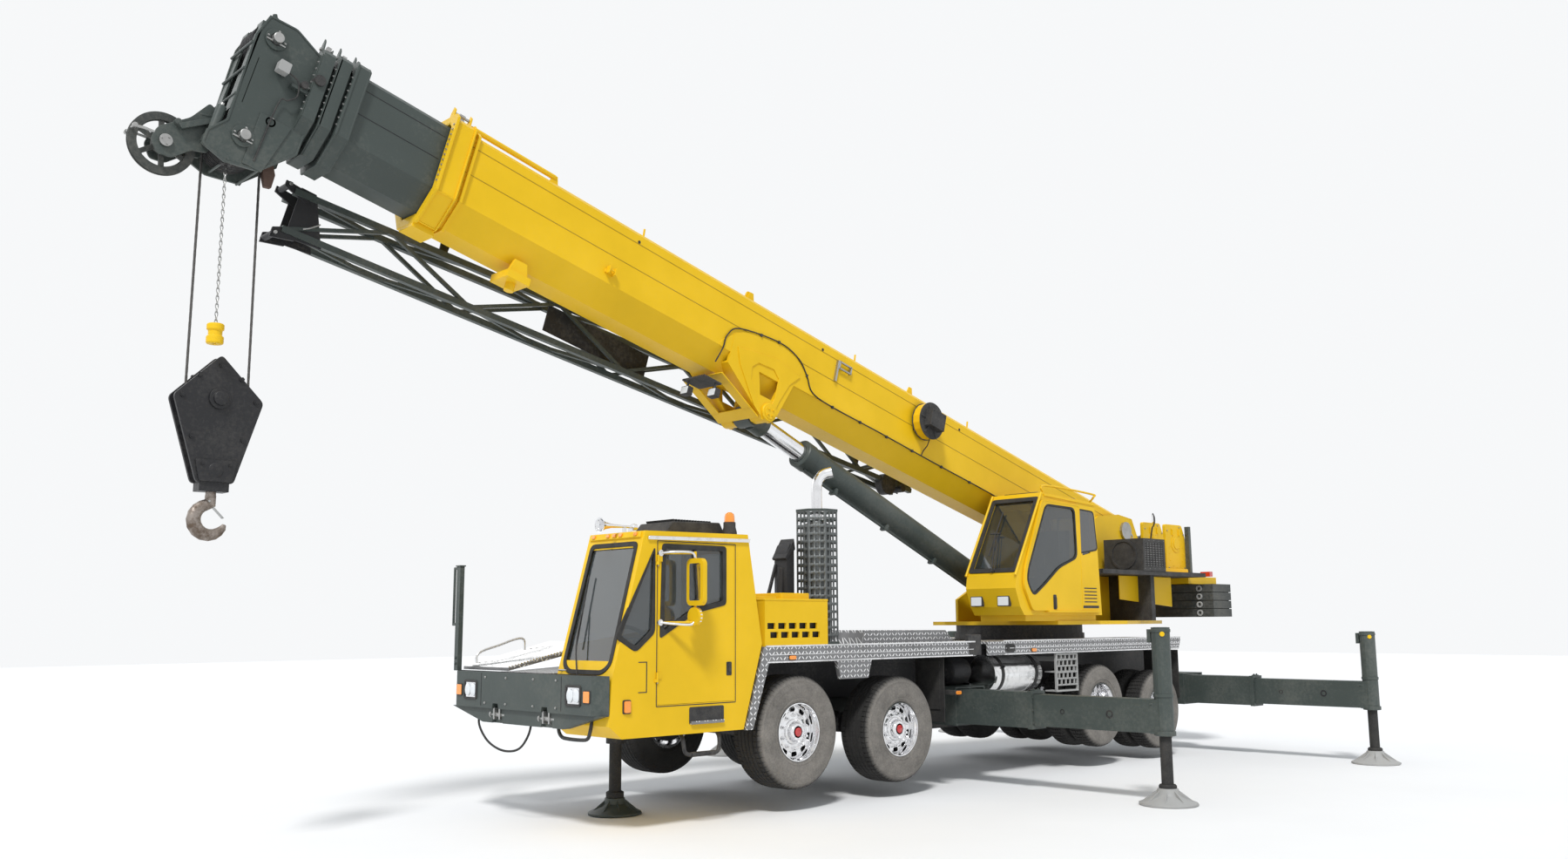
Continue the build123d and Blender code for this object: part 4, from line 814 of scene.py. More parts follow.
def make_cab_step():
    """Foothold in the cab's side under the door, and the hoop hung below it."""
    well = Shape()
    border(well, [(6.63, 0.955), (7.06, 0.955), (7.06, 1.115), (6.63, 1.115)], 0.022,
           (CAB_SIDE_Y - 0.002, CAB_SIDE_Y + 0.006), "y", 0.02)
    well.box((6.65, 7.04), (CAB_SIDE_Y - 0.002, CAB_SIDE_Y + 0.003), (0.975, 1.095))
    well.build("cab_step_recess", "carrier", "trim", 0.002)
    lip = Shape()
    lip.box((6.64, 7.05), (CAB_SIDE_Y - 0.01, CAB_SIDE_Y + 0.028), (0.955, 0.985))
    lip.build("cab_step_lip", "carrier", "tread", 0.004)
    hoop = Shape()
    y = CAB_SIDE_Y - 0.05
    hoop.pipe([(7.10, y - 0.1, 0.90), (7.10, y, 0.83), (7.08, y + 0.02, 0.70), (6.98, y + 0.03, 0.675),
               (6.76, y + 0.03, 0.675), (6.67, y + 0.02, 0.70), (6.65, y, 0.83), (6.65, y - 0.1, 0.90)],
               0.019,
              smooth=5)
    hoop.pipe([(7.02, y + 0.03, 0.676), (6.72, y + 0.03, 0.676)], 0.024)
    hoop.build("cab_step_hoop", "carrier", "black", 0)


def make_cab_roof():
    """Louvred box, horn and beacon on the carrier cab's roof."""
    box = Shape()
    box.prism([(7.16, 2.755), (7.05, 2.885), (6.44, 2.900), (6.36, 2.765)], (0.50, 1.02))
    box.build("cab_roof_box", "carrier", "trim", 0.012)
    louvres = Shape()
    for i in range(14):
        x = 6.52 + i * 0.036
        louvres.prism([(x, 2.886), (x + 0.010, 2.886), (x + 0.022, 2.912), (x + 0.012, 2.912)], (0.54, 0.98))
    louvres.build("cab_roof_louvres", "carrier", "black", 0)
    hatch = Shape()
    hatch.prism(soften([(6.34, 0.55), (6.58, 0.55), (6.58, 0.98), (6.34, 0.98)], 0.04), (2.762, 2.84), "z")
    hatch.build("cab_roof_hatch", "carrier", "trim", 0.015)
    horn = Shape()
    path = [(0.125, 7.86), (0.110, 7.855), (0.060, 7.80), (0.032, 7.72), (0.022, 7.60), (0.020, 7.48)]
    horn.lathe([(r * 0.62, x) for r, x in path] + [(r * 0.62 - 0.006, x) for r, x in reversed(path)],
               (0, 0.93, 2.812), axis="x", sides=36)
    horn.bar((7.48, 0.93, 2.812), (7.43, 0.93, 2.812), 0.034, 0.030)
    for x in (7.50, 7.57):
        horn.box((x - 0.008, x + 0.008), (0.905, 0.955), (2.745, 2.800))
    horn.build("cab_horn", "carrier", "chrome", 0.001)
    beacon = Shape()
    beacon.lathe([(0, 2.765), (0.075, 2.765), (0.075, 2.80), (0.062, 2.85), (0.062, 2.90), (0, 2.90)],
                 (6.40, 1.12, 0), axis="z", sides=28)
    beacon.build("cab_beacon_base", "carrier", "trim", 0.003)
    dome = Shape()
    dome.lathe([(0, 2.90), (0.054, 2.90), (0.052, 2.955), (0.044, 2.985), (0.020, 3.0), (0, 3.0)],
               (6.40, 1.12, 0), axis="z", sides=28)
    dome.build("cab_beacon_dome", "carrier", "amber", 0.002)


def make_cab_mirrors():
    """Chrome mirror housings with their polished mirror faces, arms and the round mirror below."""
    y = CAB_SIDE_Y + 0.21
    shell = Shape()
    outline = soften([(y - 0.115, 2.07), (y + 0.115, 2.07), (y + 0.115, 2.49), (y - 0.115, 2.49)], 0.06, 6)
    small = shrink(outline, 0.022)
    shell.loft([[(7.120, *p) for p in outline], [(7.160, *p) for p in outline],
                [(7.172, *p) for p in shrink(outline, 0.010)], [(7.176, *p) for p in shrink(outline, 0.045)]])
    rings = [(0.0, 7.174), (0.060, 7.170), (0.084, 7.152), (0.084, 7.130), (0.0, 7.126)]
    shell.lathe(rings, (0, CAB_SIDE_Y + 0.19, 1.96), axis="x", sides=32)
    shell.build("cab_mirror_shells", "carrier_door", "chrome", 0.002)
    glass_face = Shape()
    glass_face.loft([[(7.1215, *p) for p in small], [(7.118, *p) for p in small]])
    glass_face.build("cab_mirror_glass", "carrier_door", "polished", 0)
    arms = Shape()
    out = CAB_SIDE_Y + 0.19
    arms.pipe([(7.42, CAB_SIDE_Y, 2.55), (7.34, CAB_SIDE_Y + 0.10, 2.56), (7.19, out - 0.01, 2.555),
               (7.15, out, 2.50)], 0.0125, smooth=5)
    arms.pipe([(7.42, CAB_SIDE_Y, 1.905), (7.30, CAB_SIDE_Y + 0.10, 1.89), (7.19, out - 0.01, 1.885),
               (7.15, out, 1.93)], 0.0125, smooth=5)
    for z in (1.905, 2.55):
        arms.bar((7.42, CAB_SIDE_Y - 0.003, z), (7.42, CAB_SIDE_Y + 0.014, z), 0.030, sides=20)
    arms.build("cab_mirror_arms", "carrier_door", "polished", 0)


def make_cab_front():
    """Vent slats and a catch rail on the lower front of the carrier cab."""
    panel = Shape()
    for i in range(3):
        z = 1.30 + i * 0.022
        panel.box((7.955, 7.975), (0.62, 1.10), (z, z + 0.008))
    panel.build("cab_front_vents", "carrier", "trim", 0.001)
    rail = Shape()
    rail.pipe([(7.93, 0.50, 1.46), (7.99, 0.50, 1.47), (7.99, 0.62, 1.47)], 0.008, smooth=3)
    rail.build("cab_front_catch", "carrier", "steel", 0)


# ---------------------------------------------------------------- bumper and front
BUMPER_X = 8.097


def make_bumper_lamps():
    """Headlamps and indicators in recessed bezels, on both ends of the bumper."""
    bezel, lens, amber = Shape(), Shape(), Shape()
    bowl = Shape()
    for side in (1, -1):
        y0, y1 = side * 0.775, side * 1.02
        outline = soften([(y0, 1.155), (y1, 1.155), (y1, 1.345), (y0, 1.345)], 0.03)
        place = Face((BUMPER_X, 0, 0), (0, 1, 0), (0, 0, 1))
        for shape in (bezel, lens, amber, bowl):
            shape.datum = place
        border(bezel, outline, 0.022, (-0.006, 0.012), "z", 0.02)
        bowl.prism(shrink(outline, 0.018), (-0.004, 0.002), "z")
        for c in (0.29, 0.71):
            cy = y0 + (y1 - y0) * c
            lens.loft([[(cy + r * math.cos(t), 1.25 + r * 1.25 * math.sin(t), w) for t in
                        [2 * math.pi * k / 28 for k in range(28)]]
                       for r, w in ((0.048, 0.001), (0.050, 0.008), (0.038, 0.014), (0.0005, 0.017))])
        y0, y1 = side * 1.055, side * 1.165
        outline = soften([(y0, 1.185), (y1, 1.185), (y1, 1.305), (y0, 1.305)], 0.02)
        border(bezel, outline, 0.010, (-0.006, 0.010), "z", 0.02)
        amber.prism(shrink(outline, 0.009), (-0.003, 0.014), "z")
    bezel.build("bumper_lamp_bezels", "carrier", "trim", 0.003)
    bowl.build("bumper_lamp_bowls", "carrier", "chrome", 0)
    lens.build("bumper_headlamps", "carrier", "clear", 0)
    amber.build("bumper_indicators", "carrier", "amber", 0.004)


def make_bumper_details():
    """Tow pins, hanging air line, foot loop, bolts and seams of the bumper."""
    pins = Shape()
    for y in (-0.43, 0.43):
        pins.bar((8.045, y - 0.12, 1.02), (8.045, y + 0.12, 1.02), 0.024)
        pins.bar((8.045, y - 0.135, 1.02), (8.045, y - 0.115, 1.02), 0.038)
        for dy in (-0.05, 0.05):
            pins.box((7.99, 8.08), (y + dy - 0.012, y + dy + 0.012), (0.975, 1.09))
    pins.bolts([(BUMPER_X, y, z) for y in (-0.62, -0.24, 0.24, 0.62) for z in (1.13, 1.38)], (1, 0, 0),
               0.013, 0.009)
    pins.build("bumper_tow_pins", "carrier", "steel", 0.002)
    line = Shape()
    line.pipe([(8.02, -0.80, 1.09), (8.04, -0.82, 0.93), (8.05, -0.68, 0.79), (8.05, -0.50, 0.71),
               (8.05, -0.28, 0.68), (8.05, -0.05, 0.72), (8.04, 0.09, 0.86), (8.02, 0.12, 1.04)], 0.011,
               smooth=7)
    line.build("bumper_air_line", "carrier", "seal", 0)
    ends = Shape()
    ends.bar((8.02, -0.80, 1.10), (8.03, -0.81, 1.02), 0.019, 0.016)
    ends.bar((8.015, 0.12, 1.10), (8.025, 0.115, 0.99), 0.020, 0.016)
    ends.build("bumper_air_line_ends", "carrier", "red", 0.002)
    loop = Shape()
    loop.pipe([(7.98, 0.52, 1.06), (8.0, 0.53, 0.93), (8.0, 0.58, 0.865), (8.0, 0.68, 0.85),
               (8.0, 0.88, 0.85),
               (8.0, 0.99, 0.865), (8.0, 1.03, 0.93), (7.98, 1.04, 1.06)], 0.017, smooth=5)
    loop.build("bumper_foot_loop", "carrier", "black", 0)
    seam = Shape()
    for y in (-0.70, 0.70):
        seam.box((BUMPER_X - 0.001, BUMPER_X + 0.002), (y - 0.004, y + 0.004), (1.10, 1.42))
    seam.box((BUMPER_X - 0.05, BUMPER_X - 0.04), (-1.18, 1.18), (1.431, 1.438))
    seam.build("bumper_seams", "carrier", "black", 0)
    cap = Shape()
    cap.box((8.02, 8.09), (-1.285, -1.195), (2.496, 2.510))
    cap.bolts([(8.08, -1.24, z) for z in (1.50, 1.56)], (1, 0, 0))
    cap.build("bumper_post_cap", "carrier", "slate", 0.003)


def make_ramp():
    """Ribbed walkway on the right of the cab with its grab rail, and the nose deck ahead of the cab."""
    ribs = Shape()
    for i in range(30):
        t = i / 29
        x, z = 7.94 - t * 1.02, 1.472 + t * 0.228
        ribs.prism([(x - 0.011, z), (x + 0.011, z), (x + 0.008, z + 0.013), (x - 0.008, z + 0.013)],
                   (-1.27, -0.44))
    ribs.build("ramp_ribs", "carrier", "polished", 0)
    rail = Shape()
    rail.pipe([(7.86, -1.20, 1.47), (7.84, -1.20, 1.60), (7.60, -1.20, 1.68), (7.32, -1.20, 1.75),
               (7.28, -1.20, 1.62)], 0.014, smooth=5)
    rail.build("ramp_rail", "carrier", "polished", 0)
    nose = Shape()
    nose.box((7.90, 8.05), (-0.42, 0.42), (1.420, 1.440))
    nose.prism([(7.30, 1.42), (7.95, 1.42), (7.95, 1.438), (7.30, 1.47)], (-0.42, 0.415))
    nose.build("nose_deck", "carrier", "tread", 0.003)


# ---------------------------------------------------------------- deck
DECK_TOP, DECK_LOW = 1.660, 1.630
INNER_Y, OUTER_Y = 0.420, 1.295


def deck_outline(side, pocket_x):
    """Plan of one deck, cut round the slewing ring and the front jack tube."""
    lean = math.degrees(math.asin(INNER_Y / 0.903))
    ring = [(x, y) for x, y in arc((0, 0), 0.903, 180 - lean, lean, 14)]
    plan = [(-2.11, INNER_Y), *ring, (6.08, INNER_Y), (6.08, OUTER_Y), (pocket_x + 0.118, OUTER_Y),
            (pocket_x + 0.118, 0.99), (pocket_x - 0.118, 0.99), (pocket_x - 0.118, OUTER_Y), (-2.11, OUTER_Y)]
    return [(x, side * y) for x, y in plan]


def make_decks():
    """Tread-plate decks with their fascias, the leg behind the cab and both mud flaps."""
    plate, flaps, dark = Shape(), Shape(), Shape()
    for side, pocket_x in ((1, 2.542), (-1, 2.262)):
        plate.prism(deck_outline(side, pocket_x), (DECK_LOW, DECK_TOP), "z")
        y = (side * (OUTER_Y - 0.03), side * OUTER_Y)
        low = DECK_TOP - 0.165
        plate.prism([(pocket_x + 0.118, low), (6.05, low), (6.08, DECK_LOW), (pocket_x + 0.118, DECK_LOW)], y)
        plate.prism([(-2.05, low), (pocket_x - 0.118, low), (pocket_x - 0.118, DECK_LOW), (-2.11, DECK_LOW)],
                    y)
        plate.prism([(-2.11, DECK_LOW), (-2.05, low), (-2.03, low), (-2.08, DECK_LOW)],
                    (side * INNER_Y, side * (OUTER_Y - 0.03)))
        dark.box((-2.11, 6.08), (side * INNER_Y, side * (INNER_Y + 0.02)), (1.41, DECK_LOW))
        flaps.prism([(3.215, 0.76), (3.227, 0.76), (3.227, DECK_LOW), (3.215, DECK_LOW)],
                    (side * 0.83, side * 1.255))
        flaps.prism([(3.227, 0.90), (3.240, 0.90), (3.240, 1.45), (3.227, 1.45)], (side * 0.88, side * 1.20))
        flaps.prism([(-2.10, 0.80), (-2.088, 0.80), (-2.088, 1.48), (-2.10, 1.48)],
                    (side * 0.70, side * 1.25))
    plate.prism([(6.095, 1.66), (6.345, 0.86), (6.245, 0.86), (5.99, 1.60), (5.99, 1.66)], (1.262, 1.30))
    plate.prism([(4.49, 1.495), (5.03, 1.495), (4.98, 1.305), (4.55, 1.305)], (1.24, 1.292))
    plate.prism([(7.96, 1.44), (7.96, 1.47), (6.90, 1.70), (6.08, 1.70), (6.08, 1.63), (6.89, 1.66)],
                (-1.285, -0.42))
    plate.build("deck_plates_tread", "carrier", "tread", 0.003, replaces=("deck_plates",))
    dark.build("deck_webs", "carrier", "black", 0.002)
    flaps.build("mud_flaps", "carrier", "seal", 0.002)
    raised = Shape()
    raised.prism([(2.72, 1.655), (2.88, 1.80), (4.30, 1.81), (4.36, 1.655)], (0.44, 1.02))
    raised.prism([(2.30, 1.655), (2.40, 1.745), (2.84, 1.745), (2.84, 1.655)], (-1.02, -0.44))
    raised.prism([(3.00, 1.655), (3.10, 1.80), (4.80, 1.80), (4.90, 1.655)], (-1.20, -0.46))
    raised.build("deck_covers", "carrier", "tread", 0.006)


def make_deck_details():
    """Lamps, sockets, pockets, steps and edge lips on the decks."""
    step = Shape()
    border(step, [(0.52, 1.01), (1.01, 1.01), (1.01, 1.49), (0.52, 1.49)], 0.022, (1.255, 1.285), "y", 0.01)
    for row in range(5):
        z = 1.094 + row * 0.079
        step.box((0.53, 1.0), (1.258, 1.280), (z - 0.010, z + 0.010))
        for i in range(5):
            x = 0.60 + i * 0.094 + (0.047 if row % 2 else 0)
            if x < 0.99:
                step.box((x - 0.009, x + 0.009), (1.258, 1.280), (z, z + 0.079))
    step.box((0.53, 1.0), (1.10, 1.26), (1.012, 1.030))
    step.box((0.53, 1.0), (1.10, 1.26), (1.25, 1.268))
    step.box((0.60, 0.66), (0.42, 1.12), (1.38, 1.44))
    step.build("side_step", "carrier", "silver", 0.002)
    boxes = Shape()
    boxes.box((2.56, 2.80), (1.245, 1.298), (1.505, 1.745))
    boxes.build("deck_pocket_cover", "carrier", "black", 0.006)
    recess = Shape()
    border(recess, [(1.89, 1.525), (2.09, 1.525), (2.09, 1.625), (1.89, 1.625)], 0.014, (1.292, 1.300), "y",
           0.04)
    recess.prism(soften([(1.90, 1.53), (2.08, 1.53), (2.08, 1.62), (1.90, 1.62)], 0.04), (1.290, 1.2965))
    recess.bar((2.03, 1.29, 1.572), (2.03, 1.304, 1.572), 0.026)
    recess.build("fascia_socket", "carrier", "trim", 0.002)
    lens, base = Shape(), Shape()
    for x, z in ((3.02, 1.085), (1.50, 1.545), (-1.60, 1.545), (5.70, 1.545)):
        base.prism(soften([(x - 0.055, z - 0.028), (x + 0.055, z - 0.028), (x + 0.055, z + 0.028),
                           (x - 0.055, z + 0.028)], 0.02), (1.290, 1.300))
        lens.prism(soften([(x - 0.045, z - 0.020), (x + 0.045, z - 0.020), (x + 0.045, z + 0.020),
                           (x - 0.045, z + 0.020)], 0.016), (1.298, 1.312))
    base.box((2.98, 3.06), (1.12, 1.292), (1.06, 1.11))
    base.build("side_lamp_bases", "carrier", "trim", 0.002)
    lens.build("side_lamp_lenses", "carrier", "amber", 0.003)
    cap = Shape()
    cap.lathe([(0, DECK_TOP), (0.040, DECK_TOP), (0.040, 1.70), (0.055, 1.705), (0.055, 1.735), (0.035, 1.75),
               (0, 1.75)], (5.02, 1.08, 0), axis="z", sides=28)
    cap.build("deck_breather", "carrier", "trim", 0.002)
    lips = Shape()
    for side in (1, -1):
        for x0, x1 in ((-2.10, 2.12), (2.68, 6.07)):
            lips.box((x0, x1), (side * 1.283, side * 1.303), (1.655, 1.672))
            lips.box((x0 + 0.05, x1 - 0.02), (side * 1.290, side * 1.301), (1.497, 1.512))
            lips.box((x0 + 0.03, x1 - 0.01), (side * 1.290, side * 1.299), (1.572, 1.580))
    lips.build("deck_edge_lips", "carrier", "polished", 0.002)


def make_hood_details():
    """Lids, a dark plate behind the hood's holes as painted shade, and the air intake frame of the engine
    hood.
    """
    lid = Shape()
    lid.prism(soften([(5.24, 0.50), (5.66, 0.50), (5.66, 1.10), (5.24, 1.10)], 0.03), (2.13, 2.205), "z")
    lid.prism(soften([(5.72, 0.50), (6.03, 0.50), (6.03, 1.10), (5.72, 1.10)], 0.03), (2.13, 2.165), "z")
    lid.box((5.165, 6.08), (0.455, 1.297), (2.118, 2.140))
    lid.build("hood_lids", "carrier", "yellow", 0.008)
    # A dark plate behind the hood's holes: painted shade inside the engine bay.
    back = Shape()
    back.box((5.24, 6.05), (1.232, 1.238), (1.72, 1.93))
    back.build("hood_backing", "carrier", "trim", 0)
    cradle = Shape()
    cradle.prism(soften([(5.00, 1.66), (5.12, 1.66), (5.12, 2.66), (5.07, 2.76), (5.00, 2.76)], 0.03),
                 (0.425, 0.62))
    cradle.prism([(4.99, 2.70), (5.13, 2.58), (5.15, 2.60), (5.01, 2.82)], (0.415, 0.63))
    cradle.prism([(5.10, 2.54), (5.13, 2.54), (5.30, 2.06), (5.26, 2.06)], (0.43, 0.46))
    cradle.bar((5.16, 0.52, 1.70), (5.10, 0.52, 2.50), 0.045)
    cradle.build("air_intake_frame", "carrier", "black", 0.005)


# ---------------------------------------------------------------- exhaust
STACK_X, STACK_Y = 4.72, 0.70
GUARD_TOP = 3.14
GUARD_SLOTS = (3, 17)


def make_guard():
    """Eight-sided guard with rows of slots, as bent sheet."""
    shape = Shape()
    corners = [(STACK_X + 0.247 * math.cos(math.radians(a)), STACK_Y + 0.247 * math.sin(math.radians(a)))
               for a in range(22, 382, 45)]
    across, rows = 2 * GUARD_SLOTS[0] + 1, 2 * GUARD_SLOTS[1] + 1
    wide, tall = (0.7, 1.3), (1.35, 0.65)
    us = [0.0]
    for i in range(across):
        us.append(us[-1] + (wide[i % 2]))
    vs = [0.0]
    for i in range(rows):
        vs.append(vs[-1] + tall[(i + 1) % 2])
    for (ax, ay), (bx, by) in zip(corners, corners[1:] + corners[:1]):
        grid = [[shape.bm.verts.new(at(ax + (bx - ax) * u / us[-1], ay + (by - ay) * u / us[-1],
                                       DECK_TOP + (GUARD_TOP - DECK_TOP) * v / vs[-1])) for u in us]
                for v in vs]
        for r in range(rows):
            for c in range(across):
                if r % 2 and c % 2:
                    continue
                shape.bm.faces.new((grid[r][c], grid[r][c + 1], grid[r + 1][c + 1], grid[r + 1][c]))
    bmesh.ops.remove_doubles(shape.bm, verts=shape.bm.verts, dist=1e-4)
    piece = shape.build("exhaust_guard", "carrier", "mesh", bevel=0, replaces=("exhaust_stack",))
    thick = piece.modifiers.new("thick", "SOLIDIFY")
    thick.thickness, thick.offset = 0.006, -1


def make_exhaust():
    """Guard, silencer and tail pipe behind the hood."""
    make_guard()
    can = Shape()
    can.lathe([(0, DECK_TOP + 0.01), (0.150, DECK_TOP + 0.01), (0.160, DECK_TOP + 0.05), (0.160, 2.92),
               (0.148, 2.98), (0.075, 3.02), (0, 3.02)], (STACK_X, STACK_Y, 0), axis="z")
    can.build("silencer", "carrier", "mesh", 0.003)
    pipe = Shape()
    x, y = STACK_X, STACK_Y
    path = [(x, y, 2.98), (x, y, 3.20), (x, y, 3.38), (x - 0.01, y + 0.012, 3.47),
            (x - 0.05, y + 0.055, 3.545),
            (x - 0.12, y + 0.13, 3.575)]
    pipe.pipe(path, 0.060, 28, smooth=5)
    pipe.build("tail_pipe", "carrier", "chrome", 0, soft=50)
    ring = Shape()
    for z in (1.665, 3.125):
        pts = [(x + 0.252 * math.cos(math.radians(a)),
                y + 0.252 * math.sin(math.radians(a))) for a in range(22, 382, 45)]
        border(ring, pts, 0.012, (z, z + 0.020), "z", 0.004)
    ring.box((x - 0.245, x + 0.245), (y - 0.015, y + 0.015), (3.02, 3.032))
    ring.box((x - 0.015, x + 0.015), (y - 0.245, y + 0.245), (3.02, 3.032))
    ring.build("exhaust_guard_rims", "carrier", "slate", 0)


# ---------------------------------------------------------------- tanks
def make_tanks():
    """Polished fuel tank with black straps on the left, dark oil tank on the right."""
    tank = Shape()
    ends = [(0.0, 1.080), (0.15, 1.082), (0.215, 1.092), (0.233, 1.110), (0.235, 1.135)]
    profile = ends + [(r, 3.160 - x) for r, x in reversed(ends)]
    tank.lathe(profile, (0, 0.905, 1.255), axis="x", sides=64)
    for x in (1.33, 1.58, 1.83):
        tank.lathe([(0.2345, x - 0.012), (0.238, x - 0.008), (0.238, x + 0.008), (0.2345, x + 0.012)],
                   (0, 0.905, 1.255), axis="x", sides=64)
    tank.build("fuel_tank", "carrier", "polished", 0.002, replaces=("tanks",))
    straps = Shape()
    for x in (1.23, 1.93):
        straps.lathe([(0.236, x - 0.028), (0.241, x - 0.028), (0.241, x + 0.028), (0.236, x + 0.028)],
                     (0, 0.905, 1.255), axis="x", sides=64)
        straps.box((x - 0.03, x + 0.03), (0.42, 0.905), (1.08, 1.14))
        straps.bar((x, 1.13, 1.33), (x, 1.16, 1.352), 0.012, sides=6)
    straps.lathe([(0, 1.40), (0.05, 1.40), (0.05, 1.53), (0.062, 1.535), (0.062, 1.565), (0, 1.57)],
                 (2.0, 0.98, 0), axis="z", sides=28)
    straps.build("fuel_tank_straps", "carrier", "black", 0.002)
    oil = Shape()
    outline = soften([(-1.23, 1.04), (-0.42, 1.04), (-0.42, 1.40), (-1.23, 1.40)], 0.08, 6)
    oil.prism(outline, (0.70, 2.05), "x")
    for x in (0.95, 1.80):
        oil.prism(shrink(outline, -0.006), (x - 0.03, x + 0.03), "x")
    oil.build("oil_tank", "carrier", "black", 0.006)
    domes = Shape()
    domes.lathe([(0.0, 2.15), (0.10, 2.16), (0.155, 2.20), (0.165, 2.26), (0.165, 2.46), (0.155, 2.52),
                 (0.10, 2.56),
                 (0.0, 2.57)], (0, 0.70, 1.30), axis="x", sides=40)
    domes.build("air_tank", "carrier", "black", 0.002)


# ---------------------------------------------------------------- outriggers
BEAM_Z, JACK_Y, FLOAT_R = 0.90, 3.65, 0.304


def make_outrigger(name, side, top):
    """Float with its ribs, jack rod, tube caps, brackets and beam plates of one outrigger."""
    low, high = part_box(f"outrigger_{name}_jack")
    x = (low.x + high.x) / 2 - SLEW_X
    y = side * JACK_Y
    float_pad = Shape()
    float_pad.lathe([(0, 0.0), (FLOAT_R - 0.01, 0.0), (FLOAT_R, 0.008), (FLOAT_R, 0.024),
                     (FLOAT_R - 0.014, 0.030),
                  (0.135, 0.092), (0.118, 0.112), (0.108, 0.165), (0.094, 0.170), (0, 0.170)], (x, y, 0),
                  axis="z",
                 sides=16)
    for k in range(8):
        a = math.radians(45 * k + 22.5)
        c, s = math.cos(a), math.sin(a)
        t = 0.006
        rib = [(0.10, 0.02), (0.282, 0.026), (0.112, 0.150), (0.10, 0.150)]
        float_pad.loft([[(x + r * c - w * s, y + r * s + w * c, z) for r, z in rib] for w in (-t, t)])
    float_pad.build(f"{name}_float", f"{name}_jack", "silver", 0.003, replaces=(f"outrigger_{name}_jack",))
    jack_rod = Shape()
    top_z = high.z
    jack_rod.lathe([(0, 0.10), (0.062, 0.10), (0.062, top_z - 0.05), (0.0735, top_z - 0.05), (0.0735, top_z),
                    (0, top_z)],
               (x, y, 0), axis="z", sides=40)
    jack_rod.lathe([(0.063, 0.150), (0.092, 0.150), (0.092, 0.195), (0.080, 0.210), (0.063, 0.210)],
                   (x, y, 0),
               axis="z", sides=32)
    jack_rod.build(f"{name}_jack_rod", f"{name}_jack", "seal", 0.001)
    tube = Shape()
    tube.lathe([(0.0, top + 0.0), (0.070, top + 0.002), (0.104, top - 0.022), (0.104, top - 0.050),
                (0.0975, top - 0.052),
                (0.0975, top - 0.03), (0.0, top - 0.02)], (x, y, 0), axis="z", sides=40)
    tube.lathe([(0.0985, 0.700), (0.112, 0.704), (0.112, 0.748), (0.0985, 0.752)], (x, y, 0), axis="z",
               sides=40)
    tube.lathe([(0.0985, 1.10), (0.106, 1.10), (0.106, 1.135), (0.0985, 1.135)], (x, y, 0), axis="z",
               sides=40)
    for z in (0.72, 1.02):
        tube.prism([(x - 0.118, side * 3.548), (x + 0.118, side * 3.548), (x + 0.075, side * 3.60),
                    (x - 0.075, side * 3.60)], (z, z + 0.018), "z")
    tube.prism([(x - 0.05, top - 0.16), (x + 0.05, top - 0.16), (x + 0.05, top - 0.02),
                (x - 0.05, top - 0.02)],
               (side * (JACK_Y - 0.135), side * (JACK_Y - 0.092)))
    tube.build(f"{name}_jack_tube_fittings", f"{name}_tip", "slate", 0.002)
    valve = Shape()
    valve.bar((x + 0.07, side * (JACK_Y + 0.055), top - 0.07),
              (x + 0.082, side * (JACK_Y + 0.068), top - 0.07), 0.026)
    valve.build(f"{name}_jack_valve", f"{name}_tip", "yellow", 0.002)
    plates = Shape()
    for cy, r in ((3.05, 0.045), (2.45, 0.030)):
        for face in (1, -1):
            plates.lathe([(r * 0.55, face * 0.0952), (r, face * 0.0952), (r, face * 0.0985),
                          (r * 0.55, face * 0.0985)],
                         (x, side * cy, BEAM_Z), axis="x", sides=28)
    plates.build(f"{name}_tip_bosses", f"{name}_tip", "black", 0.001)
    collar = Shape()
    for face in (1, -1):
        for cy, r in ((1.55, 0.05), (1.25, 0.032)):
            collar.lathe([(r * 0.5, face * 0.1195), (r, face * 0.1195), (r, face * 0.1235),
                          (r * 0.5, face * 0.1235)],
                         (x, side * cy, BEAM_Z), axis="x", sides=28)
    collar.box((x - 0.06, x + 0.06), (side * 2.012, side * 2.066), (1.110, 1.122))
    collar.bolts([(x + dx, side * 2.04, 1.122) for dx in (-0.04, 0.04)], (0, 0, 1))
    collar.bolts([(x + dx, side * 2.068, z) for dx in (-0.118, 0.118) for z in (0.76, 0.90, 1.04)],
                 (0, side, 0), 0.011)
    collar.build(f"{name}_beam_fittings", f"{name}_beam", "slate", 0.002)


def make_front_jack():
    """Float, shaft and fittings of the jack under the front."""
    low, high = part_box("front_jack")
    x = (low.x + high.x) / 2 - SLEW_X
    pad = Shape()
    pad.lathe([(0, 0), (0.262, 0), (0.272, 0.010), (0.272, 0.026), (0.14, 0.090), (0.115, 0.11), (0.1, 0.165),
               (0, 0.168)], (x, 0, 0), axis="z", sides=16)
    for k in range(8):
        a = math.radians(45 * k + 22.5)
        c, s = math.cos(a), math.sin(a)
        rib = [(0.09, 0.02), (0.250, 0.028), (0.105, 0.145), (0.09, 0.145)]
        pad.loft([[(x + r * c - w * s, r * s + w * c, z) for r, z in rib] for w in (-0.006, 0.006)])
    pad.build("front_jack_foot", "front_jack", "slate", 0.003, replaces=("front_jack",))
    jack_rod = Shape()
    jack_rod.lathe([(0, 0.10), (0.062, 0.10), (0.062, high.z - 0.05), (0.0735, high.z - 0.05),
                    (0.0735, high.z),
                (0, high.z)], (x, 0, 0), axis="z", sides=40)
    jack_rod.lathe([(0.063, 0.17), (0.09, 0.17), (0.09, 0.22), (0.063, 0.235)], (x, 0, 0), axis="z", sides=32)
    jack_rod.build("front_jack_shaft", "front_jack", "seal", 0.001)


